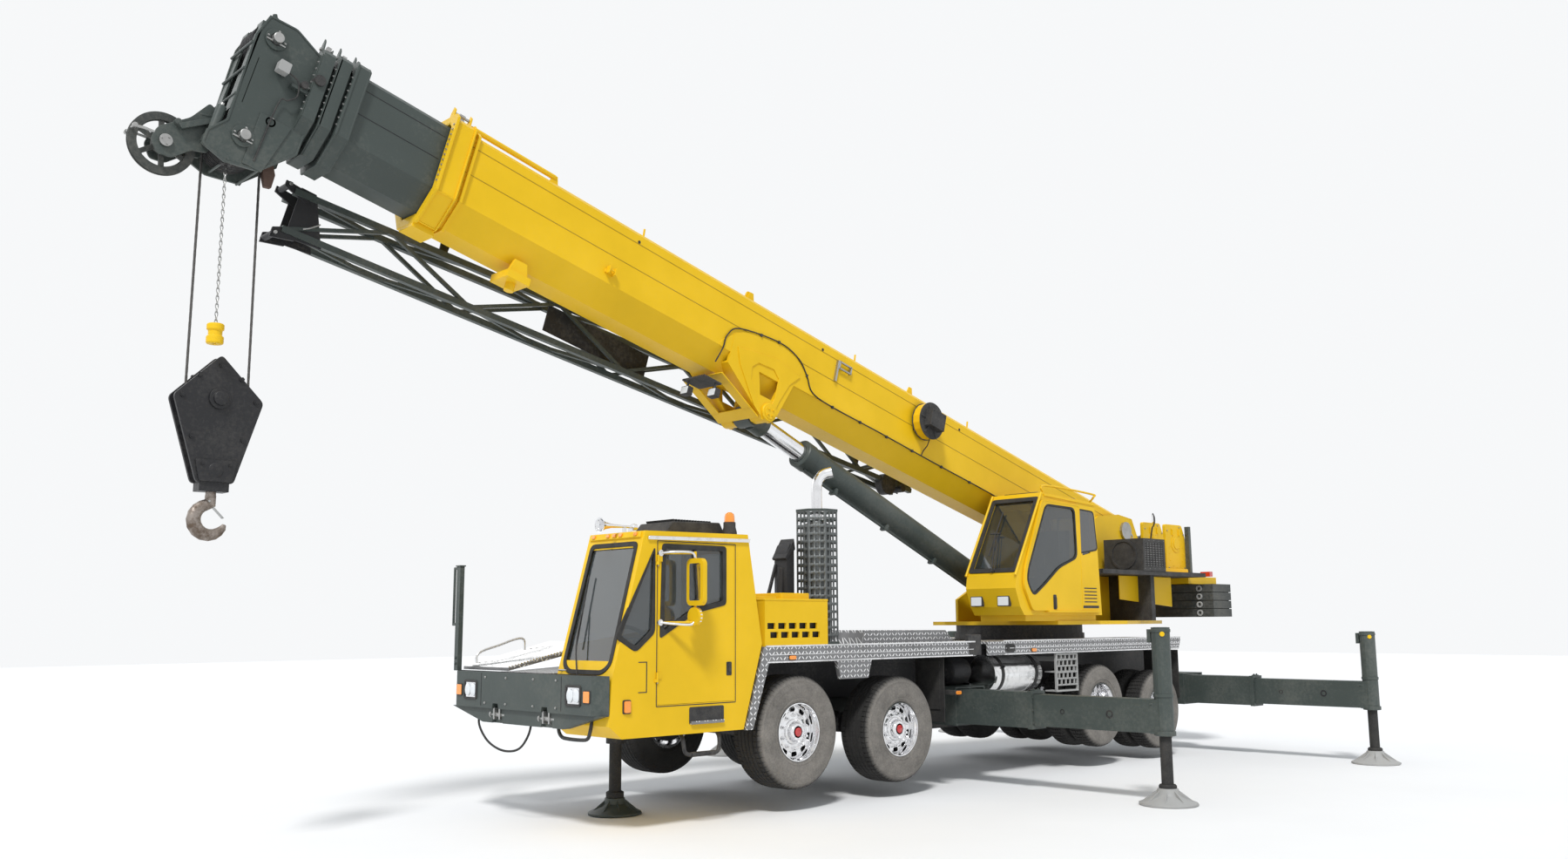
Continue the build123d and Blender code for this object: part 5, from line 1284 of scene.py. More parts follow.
# ---------------------------------------------------------------- under the carrier
def make_underbody():
    """Spring clips, brake chambers, shafts and gearbox between the axles."""
    springs = Shape()
    for node_x, node_z in ((5.565, 0.792), (3.993, 0.729), (-0.057, 0.794), (-1.520, 0.674)):
        for side in (1, -1):
            for dx in (-0.10, 0.10):
                springs.box((node_x + dx - 0.012, node_x + dx + 0.012), (side * 0.322, side * 0.408),
                            (node_z - 0.07, node_z + 0.16))
            springs.bar((node_x - 0.20, side * 0.56, node_z + 0.10),
                        (node_x - 0.34, side * 0.56, node_z + 0.10), 0.08)
            springs.bar((node_x - 0.22, side * 0.56, node_z + 0.10),
                        (node_x - 0.24, side * 0.56, node_z + 0.10), 0.09)
    springs.build("spring_clips_and_chambers", "carrier", "black", 0.003)
    shaft = Shape()
    shaft.bar((3.1, 0, 0.60), (0.25, 0, 0.60), 0.055)
    shaft.bar((-0.36, 0, 0.79), (-1.22, 0, 0.71), 0.050)
    for p in ((3.1, 0, 0.60), (0.25, 0, 0.60), (-0.36, 0, 0.79), (-1.22, 0, 0.71)):
        p = Vector(p)
        shaft.bar(p - Vector((0.05, 0, 0)), p + Vector((0.05, 0, 0)), 0.085)
    shaft.build("drive_shafts", "carrier", "black", 0.002)
    gear = Shape()
    gear.prism(soften([(3.1, 0.86), (4.62, 0.80), (4.72, 0.95), (4.72, 1.04), (3.1, 1.04)], 0.08),
               (-0.24, 0.24))
    gear.prism(soften([(4.78, 0.82), (5.25, 0.82), (5.25, 1.0), (4.78, 1.0)], 0.05), (-0.22, 0.22))
    gear.build("gearbox", "carrier", "iron", 0.012)


# ---------------------------------------------------------------- boom
BOOM_HALF = 0.330
BOOM_CORNER_N = 3.215


def boom_outline(grow):
    """Cross-section of the base section as (y, n), moved out by grow."""
    half = BOOM_HALF + grow
    side = [(half * 0.45, 2.968 - grow), (half, BOOM_CORNER_N - grow * 0.4), (half, 3.891 + grow),
            (half - 0.05, 3.941 + grow)]
    return side + [(-y, n) for y, n in reversed(side)]


def hoop(shape, s, outer, inner):
    """A flange round the boom between two distances along it."""
    rings = [[(s[0], *a), (s[1], *a), (s[1], *b), (s[0], *b)] for a,
             b in zip(boom_outline(outer), boom_outline(inner))]
    return shape.loft(rings, closed=True)


def make_boom_collar():
    """Double flange with ribs at the base section's mouth, its top lugs and adjusting screws."""
    collar = Shape(along)
    hoop(collar, (10.575, 10.603), 0.075, -0.004)
    hoop(collar, (10.375, 10.392), 0.062, -0.004)
    for y, n in boom_outline(0.0):
        a = Vector((y, n))
        out = Vector((y, n - 3.45)).normalized()
        b = a + out * 0.058
        turn = Vector((-out.y, out.x)) * 0.008
        collar.loft([[(s, *(p + q)) for s, p, q in ((10.38, a, turn), (10.60, a, turn), (10.60, b, turn),
                                                    (10.38, b, turn))],
                     [(s, *(p - q)) for s, p, q in ((10.38, a, turn), (10.60, a, turn), (10.60, b, turn),
                                                    (10.38, b, turn))]])
    for y in (-0.24, 0.24):
        for s in (10.40, 10.58):
            collar.prism([(y - 0.045, 3.93), (y + 0.045, 3.93), (y + 0.030, 4.10), (y - 0.005, 4.13),
                          (y - 0.035, 4.06)], (s, s + 0.018), "x")
        collar.box((10.41, 10.58), (y - 0.05, y + 0.05), (3.985, 4.0))
    collar.prism([(10.36, 2.86), (10.60, 2.86), (10.60, 2.99), (10.40, 2.99)], (-0.13, 0.13))
    collar.build("boom_mouth_collar", "boom", "yellow", 0.004)
    bolts = Shape(along)
    for y in (-0.24, 0.24):
        for n in (4.02, 4.07):
            bolts.bar((10.42, y, n), (10.57, y, n), 0.014, sides=8)
            bolts.bar((10.47, y, n), (10.53, y, n), 0.024, sides=6)
    for side in (1, -1):
        bolts.bolts([(10.602, side * 0.372, 3.28 + 0.055 * i) for i in range(12)], (1, 0, 0), 0.011, 0.008)
    bolts.build("boom_mouth_screws", "boom", "steel", 0)


def make_boom_skin():
    """Seams, cable, eyes and rests along the base section."""
    # The weld seams are thin strips in the darker yellow: painted shade along the seam lines.
    seams = Shape(along)
    for side in (1, -1):
        for n in (3.797, 3.523):
            seams.box((-1.25, 10.36), (side * 0.3285, side * 0.3325), (n - 0.0035, n + 0.0035))
    seams.build("boom_seams", "boom", "yellow_edge", 0)
    doubler = Shape(along)
    outline = soften([(4.80, 3.20), (5.30, 3.20), (5.62, 3.42), (5.80, 3.55), (6.10, 3.60), (6.62, 3.53),
                      (6.86, 3.36),
                      (7.00, 3.20)], 0.12)
    for side in (1, -1):
        doubler.prism(outline, (side * 0.328, side * 0.336))
    doubler.build("boom_doublers", "boom", "yellow", 0.003)
    cable = Shape(along)
    y = 0.343
    cable.pipe([(6.93, 0.30, 3.02), (6.90, y, 3.20), (6.88, y, 3.36), (6.72, y, 3.51), (6.12, y, 3.605),
                (5.78, y, 3.545), (5.60, y, 3.40), (5.46, y, 3.24), (5.10, y, 3.20), (4.2, y, 3.205),
                (3.2, y, 3.20),
                (2.2, y, 3.205), (1.2, y, 3.20), (0.3, y, 3.205)], 0.008, 8, smooth=5)
    cable.pipe([(3.42, 0.44, 3.42), (3.40, 0.40, 3.34), (3.40, 0.352, 3.28), (3.42, 0.345, 3.21)], 0.007, 8,
               smooth=4)
    cable.build("boom_cable", "boom", "seal", 0)
    clips = Shape(along)
    for s in (6.4, 6.12, 5.6, 5.1, 4.6, 4.1, 3.6, 3.0, 2.4, 1.8, 1.2, 0.7):
        n = 3.57 if s > 6.2 else 3.605 if s > 6 else 3.40 if s > 5.5 else 3.20
        clips.box((s - 0.012, s + 0.012), (0.328, 0.354), (n - 0.016, n + 0.016))
    clips.build("boom_cable_clips", "boom", "trim", 0.001)
    eyes = Shape(along)
    for s in (8.20, 4.80, 2.52):
        eyes.pipe([(s, 0.26, 3.93), (s + 0.01, 0.26, 4.03)], 0.012, 10)
        eyes.pipe([(s, -0.26, 3.93), (s + 0.01, -0.26, 4.03)], 0.012, 10)
    eyes.prism(soften([(6.54, 3.92), (6.66, 3.92), (6.63, 4.06), (6.57, 4.06)], 0.03), (0.19, 0.21))
    eyes.prism(soften([(6.54, 3.92), (6.66, 3.92), (6.63, 4.06), (6.57, 4.06)], 0.03), (-0.21, -0.19))
    eyes.build("boom_top_eyes", "boom", "yellow", 0.003)
    rest = Shape(along)
    rest.box((8.49, 8.60), (0.328, 0.352), (3.31, 3.35))
    for s in (8.50, 8.575):
        rest.box((s, s + 0.014), (0.34, 0.40), (3.30, 3.38))
    rest.bar((8.51, 0.385, 3.34), (8.58, 0.385, 3.34), 0.008, sides=10)
    rest.box((9.36, 9.62), (-0.02, 0.30), (2.78, 2.86))
    rest.prism([(9.36, 2.79), (9.62, 2.79), (9.56, 3.0), (9.42, 3.0)], (0.22, 0.26))
    rest.bar((9.49, 0.16, 2.80), (9.49, 0.16, 2.70), 0.05)
    rest.build("boom_side_rests", "boom", "yellow", 0.003)
    ladder = Shape(along)
    for s in (4.93, 5.13):
        ladder.box((s - 0.010, s + 0.010), (0.328, 0.372), (3.69, 3.79))
    for n in (3.70, 3.78):
        ladder.box((4.93, 5.13), (0.350, 0.372), (n - 0.009, n + 0.009))
    ladder.box((5.135, 5.160), (0.328, 0.365), (3.52, 3.79))
    ladder.build("boom_angle_mark_frame", "boom", "steel", 0.001)
    plugs = Shape(along)
    for s in (8.28, 5.42, 2.75):
        plugs.bar((s, 0.329, 3.82), (s, 0.334, 3.82), 0.017)
    plugs.build("boom_grease_holes", "boom", "seal", 0)


def make_lift_bracket():
    """Tapered ribs, window plate, pin bosses and work lights of the lift cylinder's bracket."""
    ribs = Shape(along)
    for side in (1, -1):
        y0, y1 = side * 0.338, side * 0.352
        ribs.prism([(6.70, 3.30), (6.62, 3.12), (6.30, 2.74), (6.17, 2.66), (6.20, 2.74), (6.42, 3.02),
                    (6.44, 3.16),
                    (6.36, 3.24), (6.12, 3.26), (6.02, 3.18), (6.02, 2.94), (6.10, 2.70), (6.02, 2.68),
                    (5.94, 2.94),
                    (5.84, 3.18), (5.70, 3.34), (6.10, 3.40)], (y0, y1))
        ribs.lathe([(0.058, side * 0.135), (0.108, side * 0.135), (0.108, side * 0.366),
                    (0.100, side * 0.374),
                    (0.058, side * 0.374)], (6.07, 0, 2.745), sides=36)
    ribs.build("lift_bracket_ribs", "boom", "yellow", 0.004)
    caps = Shape(along)
    for side in (1, -1):
        caps.lathe([(0, side * 0.362), (0.078, side * 0.362), (0.078, side * 0.382), (0, side * 0.382)],
                   (6.07, 0, 2.745), sides=32)
        caps.bolts([(a, side * 0.382, b) for a, b in polygon((6.07, 2.745), 0.045, 4, 0.7)], (0, side, 0),
                   0.014, 0.012)
    caps.build("lift_bracket_pin_caps", "boom", "yellow", 0.002)
    plate = Shape(along)
    low, high = (6.20, 2.64), (6.84, 2.92)
    for t0, t1, y0, y1 in ((0.0, 0.22, -0.335, 0.335), (0.78, 1.0, -0.335, 0.335), (0.2, 0.8, -0.335, -0.20),
                           (0.2, 0.8, 0.20, 0.335)):
        a = (low[0] + (high[0] - low[0]) * t0, low[1] + (high[1] - low[1]) * t0)
        b = (low[0] + (high[0] - low[0]) * t1, low[1] + (high[1] - low[1]) * t1)
        plate.prism([a, b, (b[0] - 0.007, b[1] + 0.016), (a[0] - 0.007, a[1] + 0.016)], (y0, y1))
    plate.build("lift_bracket_window_plate", "boom", "yellow", 0.004)
    lights, glass_faces = Shape(along), Shape(along)
    for s, y in ((6.86, 0.30), (7.02, 0.02)):
        lights.prism(soften([(y - 0.065, 2.62), (y + 0.065, 2.62), (y + 0.065, 2.72), (y - 0.065, 2.72)],
                            0.012),
                     (s - 0.04, s + 0.03), "x")
        lights.bar((s, y, 2.72), (s, y, 2.80), 0.014, sides=10)
        glass_faces.prism(soften([(y - 0.055, 2.63), (y + 0.055, 2.63), (y + 0.055, 2.71),
                                  (y - 0.055, 2.71)], 0.01),
                          (s + 0.026, s + 0.036), "x")
    lights.box((6.80, 7.06), (-0.05, 0.33), (2.79, 2.81))
    lights.build("boom_work_lights", "boom", "trim", 0.003)
    glass_faces.build("boom_work_light_lenses", "boom", "clear", 0.002)


def make_hose_reel():
    """Black hose reel with its drum flanges, hose and drive box."""
    reel = Shape(along)
    s, n = 3.49, 3.635
    reel.lathe([(0.03, 0.362), (0.236, 0.362), (0.240, 0.368), (0.236, 0.374), (0.150, 0.380), (0.150, 0.480),
                (0.236, 0.486), (0.240, 0.492), (0.236, 0.498), (0.03, 0.498)], (s, 0, n), sides=48)
    for k in range(6):
        a = math.radians(60 * k)
        c, t = math.cos(a), math.sin(a)
        reel.bar((s + 0.05 * c, 0.500, n + 0.05 * t), (s + 0.225 * c, 0.500, n + 0.225 * t), 0.012, sides=8)
    reel.box((s - 0.136, s + 0.136), (0.486, 0.606), (n - 0.111, n + 0.111))
    reel.box((s - 0.15, s + 0.15), (0.328, 0.345), (n - 0.16, n + 0.16))
    reel.bolts([(s + a, 0.606, n + b) for a in (-0.11, 0.11) for b in (-0.085, 0.085)], (0, 1, 0), 0.009,
               0.006)
    reel.build("hose_reel", "boom", "trim", 0.004)
    hose = Shape(along)
    turns = [(s + 0.19 * math.cos(0.35 * k), 0.385 + 0.0011 * k,
              n + 0.19 * math.sin(0.35 * k)) for k in range(80)]
    hose.pipe(turns, 0.0105, 8)
    hose.build("hose_reel_winding", "boom", "seal", 0)


def make_section_noses():
    """Flanges, bolts and top adjusting plates at the noses of the two inner sections and the head."""
    for name, body, nose, step, finish in (("section_2", "section_2", 11.600, 0.036, "slate"),
                                           ("section_3", "section_3", 11.750, 0.072, "slate"),
                                           ("head", "head", 11.900, 0.108, "slate")):
        collar = Shape(along)
        proud = 0.052 if name == "section_2" else 0.060
        hoop(collar, (nose - 0.014, nose + 0.006), proud - step + 0.018, -step - 0.004)
        hoop(collar,
             (nose - 0.128 if name == "section_2" else nose - 0.108, nose - 0.114 if name == "section_2"
                      else nose - 0.094), proud - step + 0.010, -step - 0.004)
        for y in (-0.20, 0.20):
            collar.prism([(y - 0.05, 3.90), (y + 0.05, 3.90), (y + 0.02, 4.03), (y - 0.01, 4.07),
                          (y - 0.03, 4.02)],
                         (nose - 0.012, nose + 0.002), "x")
            collar.prism([(y - 0.05, 3.90), (y + 0.05, 3.90), (y + 0.04, 3.98), (y - 0.04, 3.98)],
                         (nose - 0.09, nose - 0.08), "x")
        collar.build(f"{name}_nose_flanges", body, finish, 0.003)
        bolts = Shape(along)
        for y in (-0.20, 0.20):
            bolts.bar((nose - 0.10, y, 3.95), (nose + 0.02, y, 3.95), 0.016, sides=6)
            bolts.box((nose - 0.075, nose - 0.035), (y - 0.022, y + 0.022), (3.96, 4.0))
        for side in (1, -1):
            edge = side * (BOOM_HALF - step + proud - 0.016)
            bolts.bolts([(nose + 0.005, edge, 3.30 + 0.07 * i) for i in range(8)], (1, 0, 0), 0.010, 0.008)
        bolts.build(f"{name}_nose_bolts", body, "steel", 0)
    stripes = Shape(along)
    for side in (1, -1):
        for n in (3.76, 3.52):
            stripes.box((10.62, 11.47), (side * 0.292, side * 0.2965), (n - 0.003, n + 0.003))
    stripes.build("section_2_seams", "section_2", "black", 0)


# ---------------------------------------------------------------- boom head
HEAD_Y = 0.226
UPPER_PIN, LOWER_PIN, NOSE_PIN = (12.288, 3.786), (12.266, 2.822), (12.772, 2.528)


def grooved(shape, pin, y, r, hub=0.08):
    """One rope sheave with its groove, web and hub."""
    return shape.lathe([(hub * 0.7, y - 0.026), (hub, y - 0.026), (hub, y - 0.008), (r - 0.06, y - 0.008),
                        (r - 0.05, y - 0.022), (r, y - 0.023), (r, y - 0.016), (r - 0.028, y - 0.006),
                        (r - 0.028, y + 0.006),
                        (r, y + 0.016), (r, y + 0.023), (r - 0.05, y + 0.022), (r - 0.06, y + 0.008),
                        (hub, y + 0.008),
                        (hub, y + 0.026), (hub * 0.7, y + 0.026)], (pin[0], 0, pin[1]), sides=56)


def make_sheaves():
    """Rope sheaves of the head and the spoked sheave of the nose, with their pins."""
    wheels = Shape(along)
    for y in (-0.12, -0.06, 0, 0.06, 0.12):
        grooved(wheels, UPPER_PIN, y, 0.170)
        grooved(wheels, LOWER_PIN, y, 0.230)
    for s, n in (UPPER_PIN, LOWER_PIN):
        wheels.bar((s, -0.24, n), (s, 0.24, n), 0.0545, sides=32)
    wheels.build("head_sheave_sets", "head", "black", 0, replaces=("head_sheaves",))
    spoked = Shape(along)
    s, n = NOSE_PIN
    spoked.lathe([(0.196, -0.022), (0.264, -0.023), (0.264, -0.016), (0.236, -0.006), (0.236, 0.006),
                  (0.264, 0.016),
                  (0.264, 0.023), (0.196, 0.022), (0.190, 0.0)], (s, 0, n), sides=72)
    spoked.lathe([(0.041, -0.030), (0.078, -0.030), (0.078, 0.030), (0.041, 0.030)], (s, 0, n), sides=36)
    for k in range(6):
        a = math.radians(60 * k + 12)
        c, t = math.cos(a), math.sin(a)
        spoked.loft([[(s + r * c - w * t, y, n + r * t + w * c) for y,
                      w in ((-0.014, -0.020), (0.014, -0.020),
                                                                            (0.014, 0.020), (-0.014, 0.020))]
                     for r in (0.070, 0.200)])
    spoked.build("nose_sheave", "head", "iron", 0.002)
    pin = Shape(along)
    pin.bar((s, -0.115, n), (s, 0.115, n), 0.0395, sides=28)
    pin.lathe([(0, 0.108), (0.052, 0.108), (0.052, 0.122), (0, 0.122)], (s, 0, n), sides=28)
    pin.bolts([(a, 0.122, b) for a, b in polygon((s, n), 0.034, 3)], (0, 1, 0), 0.008, 0.008)
    pin.build("nose_pin", "head", "steel", 0.001)


def make_head_fittings():
    """Edge strips, pin caps, keeper plates, rope guards and lifting eye of the boom head."""
    edges = Shape(along)
    plate = [(11.80, 2.90), (11.80, 3.83), (12.15, 3.99), (12.40, 3.975), (12.46, 3.74), (12.43, 2.90),
             (12.545, 2.74),
             (12.545, 2.60), (12.33, 2.54), (12.05, 2.60)]
    for side in (1, -1):
        border(edges, plate, 0.018, (side * (HEAD_Y - 0.002), side * (HEAD_Y + 0.007)), "y", 0.03)
        for pin in (UPPER_PIN, LOWER_PIN):
            edges.lathe([(0.054, side * HEAD_Y), (0.096, side * HEAD_Y), (0.096, side * (HEAD_Y + 0.018)),
                         (0.054, side * (HEAD_Y + 0.018))], (pin[0], 0, pin[1]), sides=36)
        edges.prism([(12.03, 2.60), (12.20, 2.60), (12.20, 3.10), (11.92, 3.10)],
                    (side * HEAD_Y, side * (HEAD_Y + 0.012)))
        edges.box((12.42, 12.44), (side * 0.10, side * HEAD_Y), (3.0, 3.9))
        edges.box((11.90, 12.06), (side * HEAD_Y, side * (HEAD_Y + 0.06)), (3.44, 3.47))
    edges.box((12.36, 12.372), (-HEAD_Y, HEAD_Y), (3.10, 3.56))
    edges.build("head_edge_strips", "head", "slate", 0.003)
    caps = Shape(along)
    for side in (1, -1):
        for pin in (UPPER_PIN, LOWER_PIN):
            caps.lathe([(0, side * 0.238), (0.047, side * 0.238), (0.047, side * 0.300),
                        (0.041, side * 0.306),
                        (0, side * 0.306)], (pin[0], 0, pin[1]), sides=28)
            caps.bolts([(pin[0] + c, side * 0.244, pin[1] + d) for c,
                        d in ((-0.076, 0), (0.076, 0), (0, 0.076))],
                       (0, side, 0), 0.010, 0.010)
            caps.bar((pin[0] - 0.085, side * 0.250, pin[1] - 0.03),
                     (pin[0] + 0.085, side * 0.250, pin[1] - 0.03), 0.008,
                     sides=8)
        caps.lathe([(0.028, side * (HEAD_Y - 0.002)), (0.046, side * (HEAD_Y - 0.002)),
                    (0.046, side * (HEAD_Y + 0.012)),
                    (0.028, side * (HEAD_Y + 0.012))], (12.10, 0, 3.06), sides=28)
    caps.build("head_pin_caps", "head", "steel", 0.002)
    guards = Shape(along)
    for s, n in ((12.46, 3.66), (12.45, 3.40), (12.44, 3.15), (12.06, 2.60), (12.31, 2.575)):
        guards.bar((s, -0.235, n), (s, 0.235, n), 0.012, sides=14)
    guards.pipe([(12.27, 0.17, 3.93), (12.32, 0.14, 4.02), (12.33, 0.0, 4.05), (12.32, -0.14, 4.02),
                 (12.27, -0.17, 3.93)], 0.016, smooth=5)
    guards.bar((12.30, 0.19, 3.90), (12.36, 0.19, 4.02), 0.020, sides=14)
    guards.build("head_rope_guards", "head", "slate", 0)
    box = Shape(along)
    box.prism(soften([(12.12, 3.50), (12.22, 3.50), (12.22, 3.60), (12.12, 3.60)], 0.012),
              (HEAD_Y + 0.02, HEAD_Y + 0.11))
    box.build("head_switch_box", "head", "silver", 0.003)
    wires = Shape(along)
    wires.pipe([(12.12, HEAD_Y + 0.06, 3.54), (12.02, HEAD_Y + 0.07, 3.50), (11.98, HEAD_Y + 0.05, 3.38),
                (12.04, HEAD_Y + 0.05, 3.30), (12.10, HEAD_Y + 0.03, 3.24), (12.12, HEAD_Y + 0.015, 2.66)],
                0.007, 8,
               smooth=6)
    wires.bar((11.86, 0.20, 3.60), (11.86, 0.34, 3.60), 0.05)
    wires.bar((11.96, HEAD_Y, 3.50), (11.96, HEAD_Y + 0.09, 3.50), 0.034)
    wires.build("head_switch_wiring", "head", "trim", 0.001)


def make_nose():
    """Side plates, gusset and pin of the auxiliary nose."""
    nose = Shape(along)
    for side in (1, -1):
        y0, y1 = side * 0.074, side * 0.097
        nose.prism(soften([(12.44, 2.60), (12.44, 2.96), (12.56, 3.02), (12.66, 2.82), (12.86, 2.62),
                           (12.88, 2.50),
                           (12.80, 2.40), (12.68, 2.42), (12.56, 2.56)], 0.03), (y0, y1))
        nose.bar((12.74, side * 0.080, 2.72), (12.74, side * 0.14, 2.72), 0.028)
        nose.prism([(12.52, 2.88), (12.62, 2.80), (12.74, 2.70), (12.70, 2.67), (12.52, 2.82)],
                   (side * 0.09, side * 0.15))
    nose.prism([(12.45, 2.66), (12.45, 2.98), (12.475, 2.98), (12.475, 2.66)], (-0.20, 0.20))
    nose.prism([(12.47, 2.94), (12.60, 2.90), (12.60, 2.88), (12.47, 2.92)], (-0.10, 0.10))
    for side in (1, -1):
        nose.bar((12.49, side * 0.185, 2.64), (12.49, side * 0.185, 3.0), 0.040, sides=24)
    nose.build("auxiliary_nose", "head", "slate", 0.004)
    clips = Shape(along)
    for side in (1, -1):
        clips.bar((12.49, side * 0.185, 3.0), (12.49, side * 0.185, 3.03), 0.018)
        clips.bar((13.02, side * 0.09, 2.53), (13.02, side * 0.12, 2.53), 0.020)
    clips.bar((13.02, -0.10, 2.53), (13.02, 0.10, 2.53), 0.012, sides=12)
    clips.pipe([(12.86, 0.085, 2.56), (12.95, 0.09, 2.55), (13.02, 0.09, 2.53)], 0.012, 10)
    clips.pipe([(12.86, -0.085, 2.56), (12.95, -0.09, 2.55), (13.02, -0.09, 2.53)], 0.012, 10)
    clips.build("nose_pins", "head", "steel", 0.001)


# ---------------------------------------------------------------- lattice extension
def make_lattice_details():
    """End plates, hinge eyes, panel, hangers and sheave of the stowed lattice extension."""
    plates = Shape(along)
    for y in (-0.50, -0.72):
        plates.prism([(11.36, 2.46), (11.58, 2.40), (11.58, 2.50), (11.34, 2.62)], (y - 0.012, y + 0.012))
        plates.prism([(11.36, 2.84), (11.60, 2.92), (11.60, 2.98), (11.34, 2.96)], (y - 0.012, y + 0.012))
        plates.prism([(11.10, 2.50), (11.45, 2.46), (11.45, 2.98), (11.30, 2.98)], (y - 0.006, y + 0.006))
        plates.prism([(2.60, 3.05), (2.90, 3.06), (2.86, 3.60), (2.60, 3.62)], (y - 0.006, y + 0.006))
    plates.bar((11.55, -0.74, 2.45), (11.55, -0.48, 2.45), 0.030)
    plates.bar((11.56, -0.74, 2.95), (11.56, -0.48, 2.95), 0.030)
    plates.box((7.2, 8.6), (-0.60, -0.585), (2.82, 3.12))
    for s in (3.6, 9.9):
        plates.box((s - 0.05, s + 0.05), (-0.86, -0.33), (3.325, 3.395))
        plates.prism([(s - 0.04, 3.05), (s + 0.04, 3.05), (s + 0.06, 3.33), (s - 0.06, 3.33)], (-0.64, -0.62))
    plates.bar((3.1, -0.56, 3.0), (3.1, -0.44, 3.0), 0.14, sides=32)
    plates.bar((2.85, -0.60, 3.02), (2.85, -0.40, 3.02), 0.05)
    plates.build("lattice_end_plates", "boom", "black", 0.003)
    pins = Shape(along)
    for s, n in ((11.55, 2.45), (11.56, 2.95)):
        for y in (-0.76, -0.46):
            pins.bar((s, y - 0.01, n), (s, y + 0.01, n), 0.016)
    pins.pipe([(11.2, -0.44, 2.70), (11.28, -0.43, 2.62), (11.34, -0.43, 2.58)], 0.008, 8, smooth=3)
    pins.build("lattice_pins", "boom", "steel", 0)


# ---------------------------------------------------------------- hook tackle
SHEAVE_LOW, SHEAVE_TOP = 0.252, 0.242
BLOCK_Z = 3.750


def laid_rope(shape, path, r):
    """Six strands laid round a path, turning once each 40 rope radii."""
    for k in range(6):
        strand = []
        run = 0.0
        for i, p in enumerate(path):
            run += (p - path[i - 1]).length if i else 0.0
            turn = math.radians(60 * k) + run / (r * 6.5)
            strand.append(p + Vector((math.cos(turn), math.sin(turn), 0)) * r * 0.66)
        shape.pipe(strand, r * 0.36, 5)
    return shape


def make_falls(radius):
    """The two parts of hoist rope between the head and the hook block."""
    rope = Shape(hanging)
    low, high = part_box("hoist_falls")
    for side in (1, -1):
        top, foot = Vector((side * SHEAVE_TOP, 0, high.z)), Vector((side * SHEAVE_LOW, 0, low.z))
        path = [top.lerp(foot, i / 90) for i in range(91)]
        laid_rope(rope, path, radius)
    ropes = rope.build("hoist_rope_falls", None, "rope", 0)
    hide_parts("hoist_falls")
    tuple(hanging(0, 0, low.z))
    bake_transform(ropes)


def make_limit_weight(drop):
    """Wedge socket and the weight on its chain that warns before the block meets the head."""
    socket = Shape(hanging)
    x = -0.31
    socket.loft([[(x - 0.030, -0.026, HANG.z - 0.06), (x + 0.030, -0.026, HANG.z - 0.06),
                  (x + 0.030, 0.026, HANG.z - 0.06), (x - 0.030, 0.026, HANG.z - 0.06)],
                 [(x - 0.060, -0.034, HANG.z - 0.20), (x + 0.052, -0.034, HANG.z - 0.20),
                  (x + 0.052, 0.034, HANG.z - 0.20), (x - 0.060, 0.034, HANG.z - 0.20)],
                 [(x - 0.034, -0.024, HANG.z - 0.32), (x + 0.026, -0.024, HANG.z - 0.32),
                  (x + 0.026, 0.024, HANG.z - 0.32), (x - 0.034, 0.024, HANG.z - 0.32)]])
    socket.bar((x, -0.07, HANG.z - 0.05), (x, 0.07, HANG.z - 0.05), 0.024)
    socket.build("wedge_socket", "falls", "brown", 0.006)
    chain = Shape(hanging)
    cx, cy, top, foot = 0.10, 0.16, HANG.z - 0.28, HANG.z - drop
    count = 40
    pitch = (top - foot) / count
    for i in range(count):
        z = top - (i + 0.5) * pitch
        wide = Vector((1, 0, 0)) if i % 2 else Vector((0, 1, 0))
        loop = []
        for k in range(10):
            a = 2 * math.pi * k / 10
            loop.append(Vector((cx, cy,
                                z)) + wide * 0.011 * math.cos(a) + Vector((0, 0,
                                                                           1)) * pitch * 0.72 * math.sin(a))
        rings = []
        for k, p in enumerate(loop):
            run = (loop[(k + 1) % 10] - loop[k - 1]).normalized()
            side = run.cross(wide.cross(Vector((0, 0, 1)))).normalized()
            flat = run.cross(side)
            rings.append([p + (side * math.cos(t) + flat * math.sin(t)) * 0.0042 for t in
                          [2 * math.pi * m / 6 for m in range(6)]])
        chain.loft(rings, closed=True)
    chain.build("limit_weight_chain", "falls", "steel", 0)
    switch = Shape(hanging)
    switch.box((cx - 0.045, cx + 0.045), (cy - 0.035, cy + 0.035), (top + 0.02, top + 0.10))
    switch.bar((cx, cy, top + 0.02), (cx, cy, top - 0.05), 0.014)
    switch.build("limit_switch", "falls", "trim", 0.004)
    weight = Shape(hanging)
    weight.lathe([(0.014, foot - 0.17), (0.060, foot - 0.17), (0.068, foot - 0.16), (0.068, foot - 0.11),
                  (0.055, foot - 0.10), (0.055, foot - 0.06), (0.068, foot - 0.05), (0.068, foot - 0.01),
                  (0.060, foot), (0.014, foot)], (cx, cy, 0), axis="z", sides=36)
    weight.build("limit_weight", "falls", "yellow", 0.003)


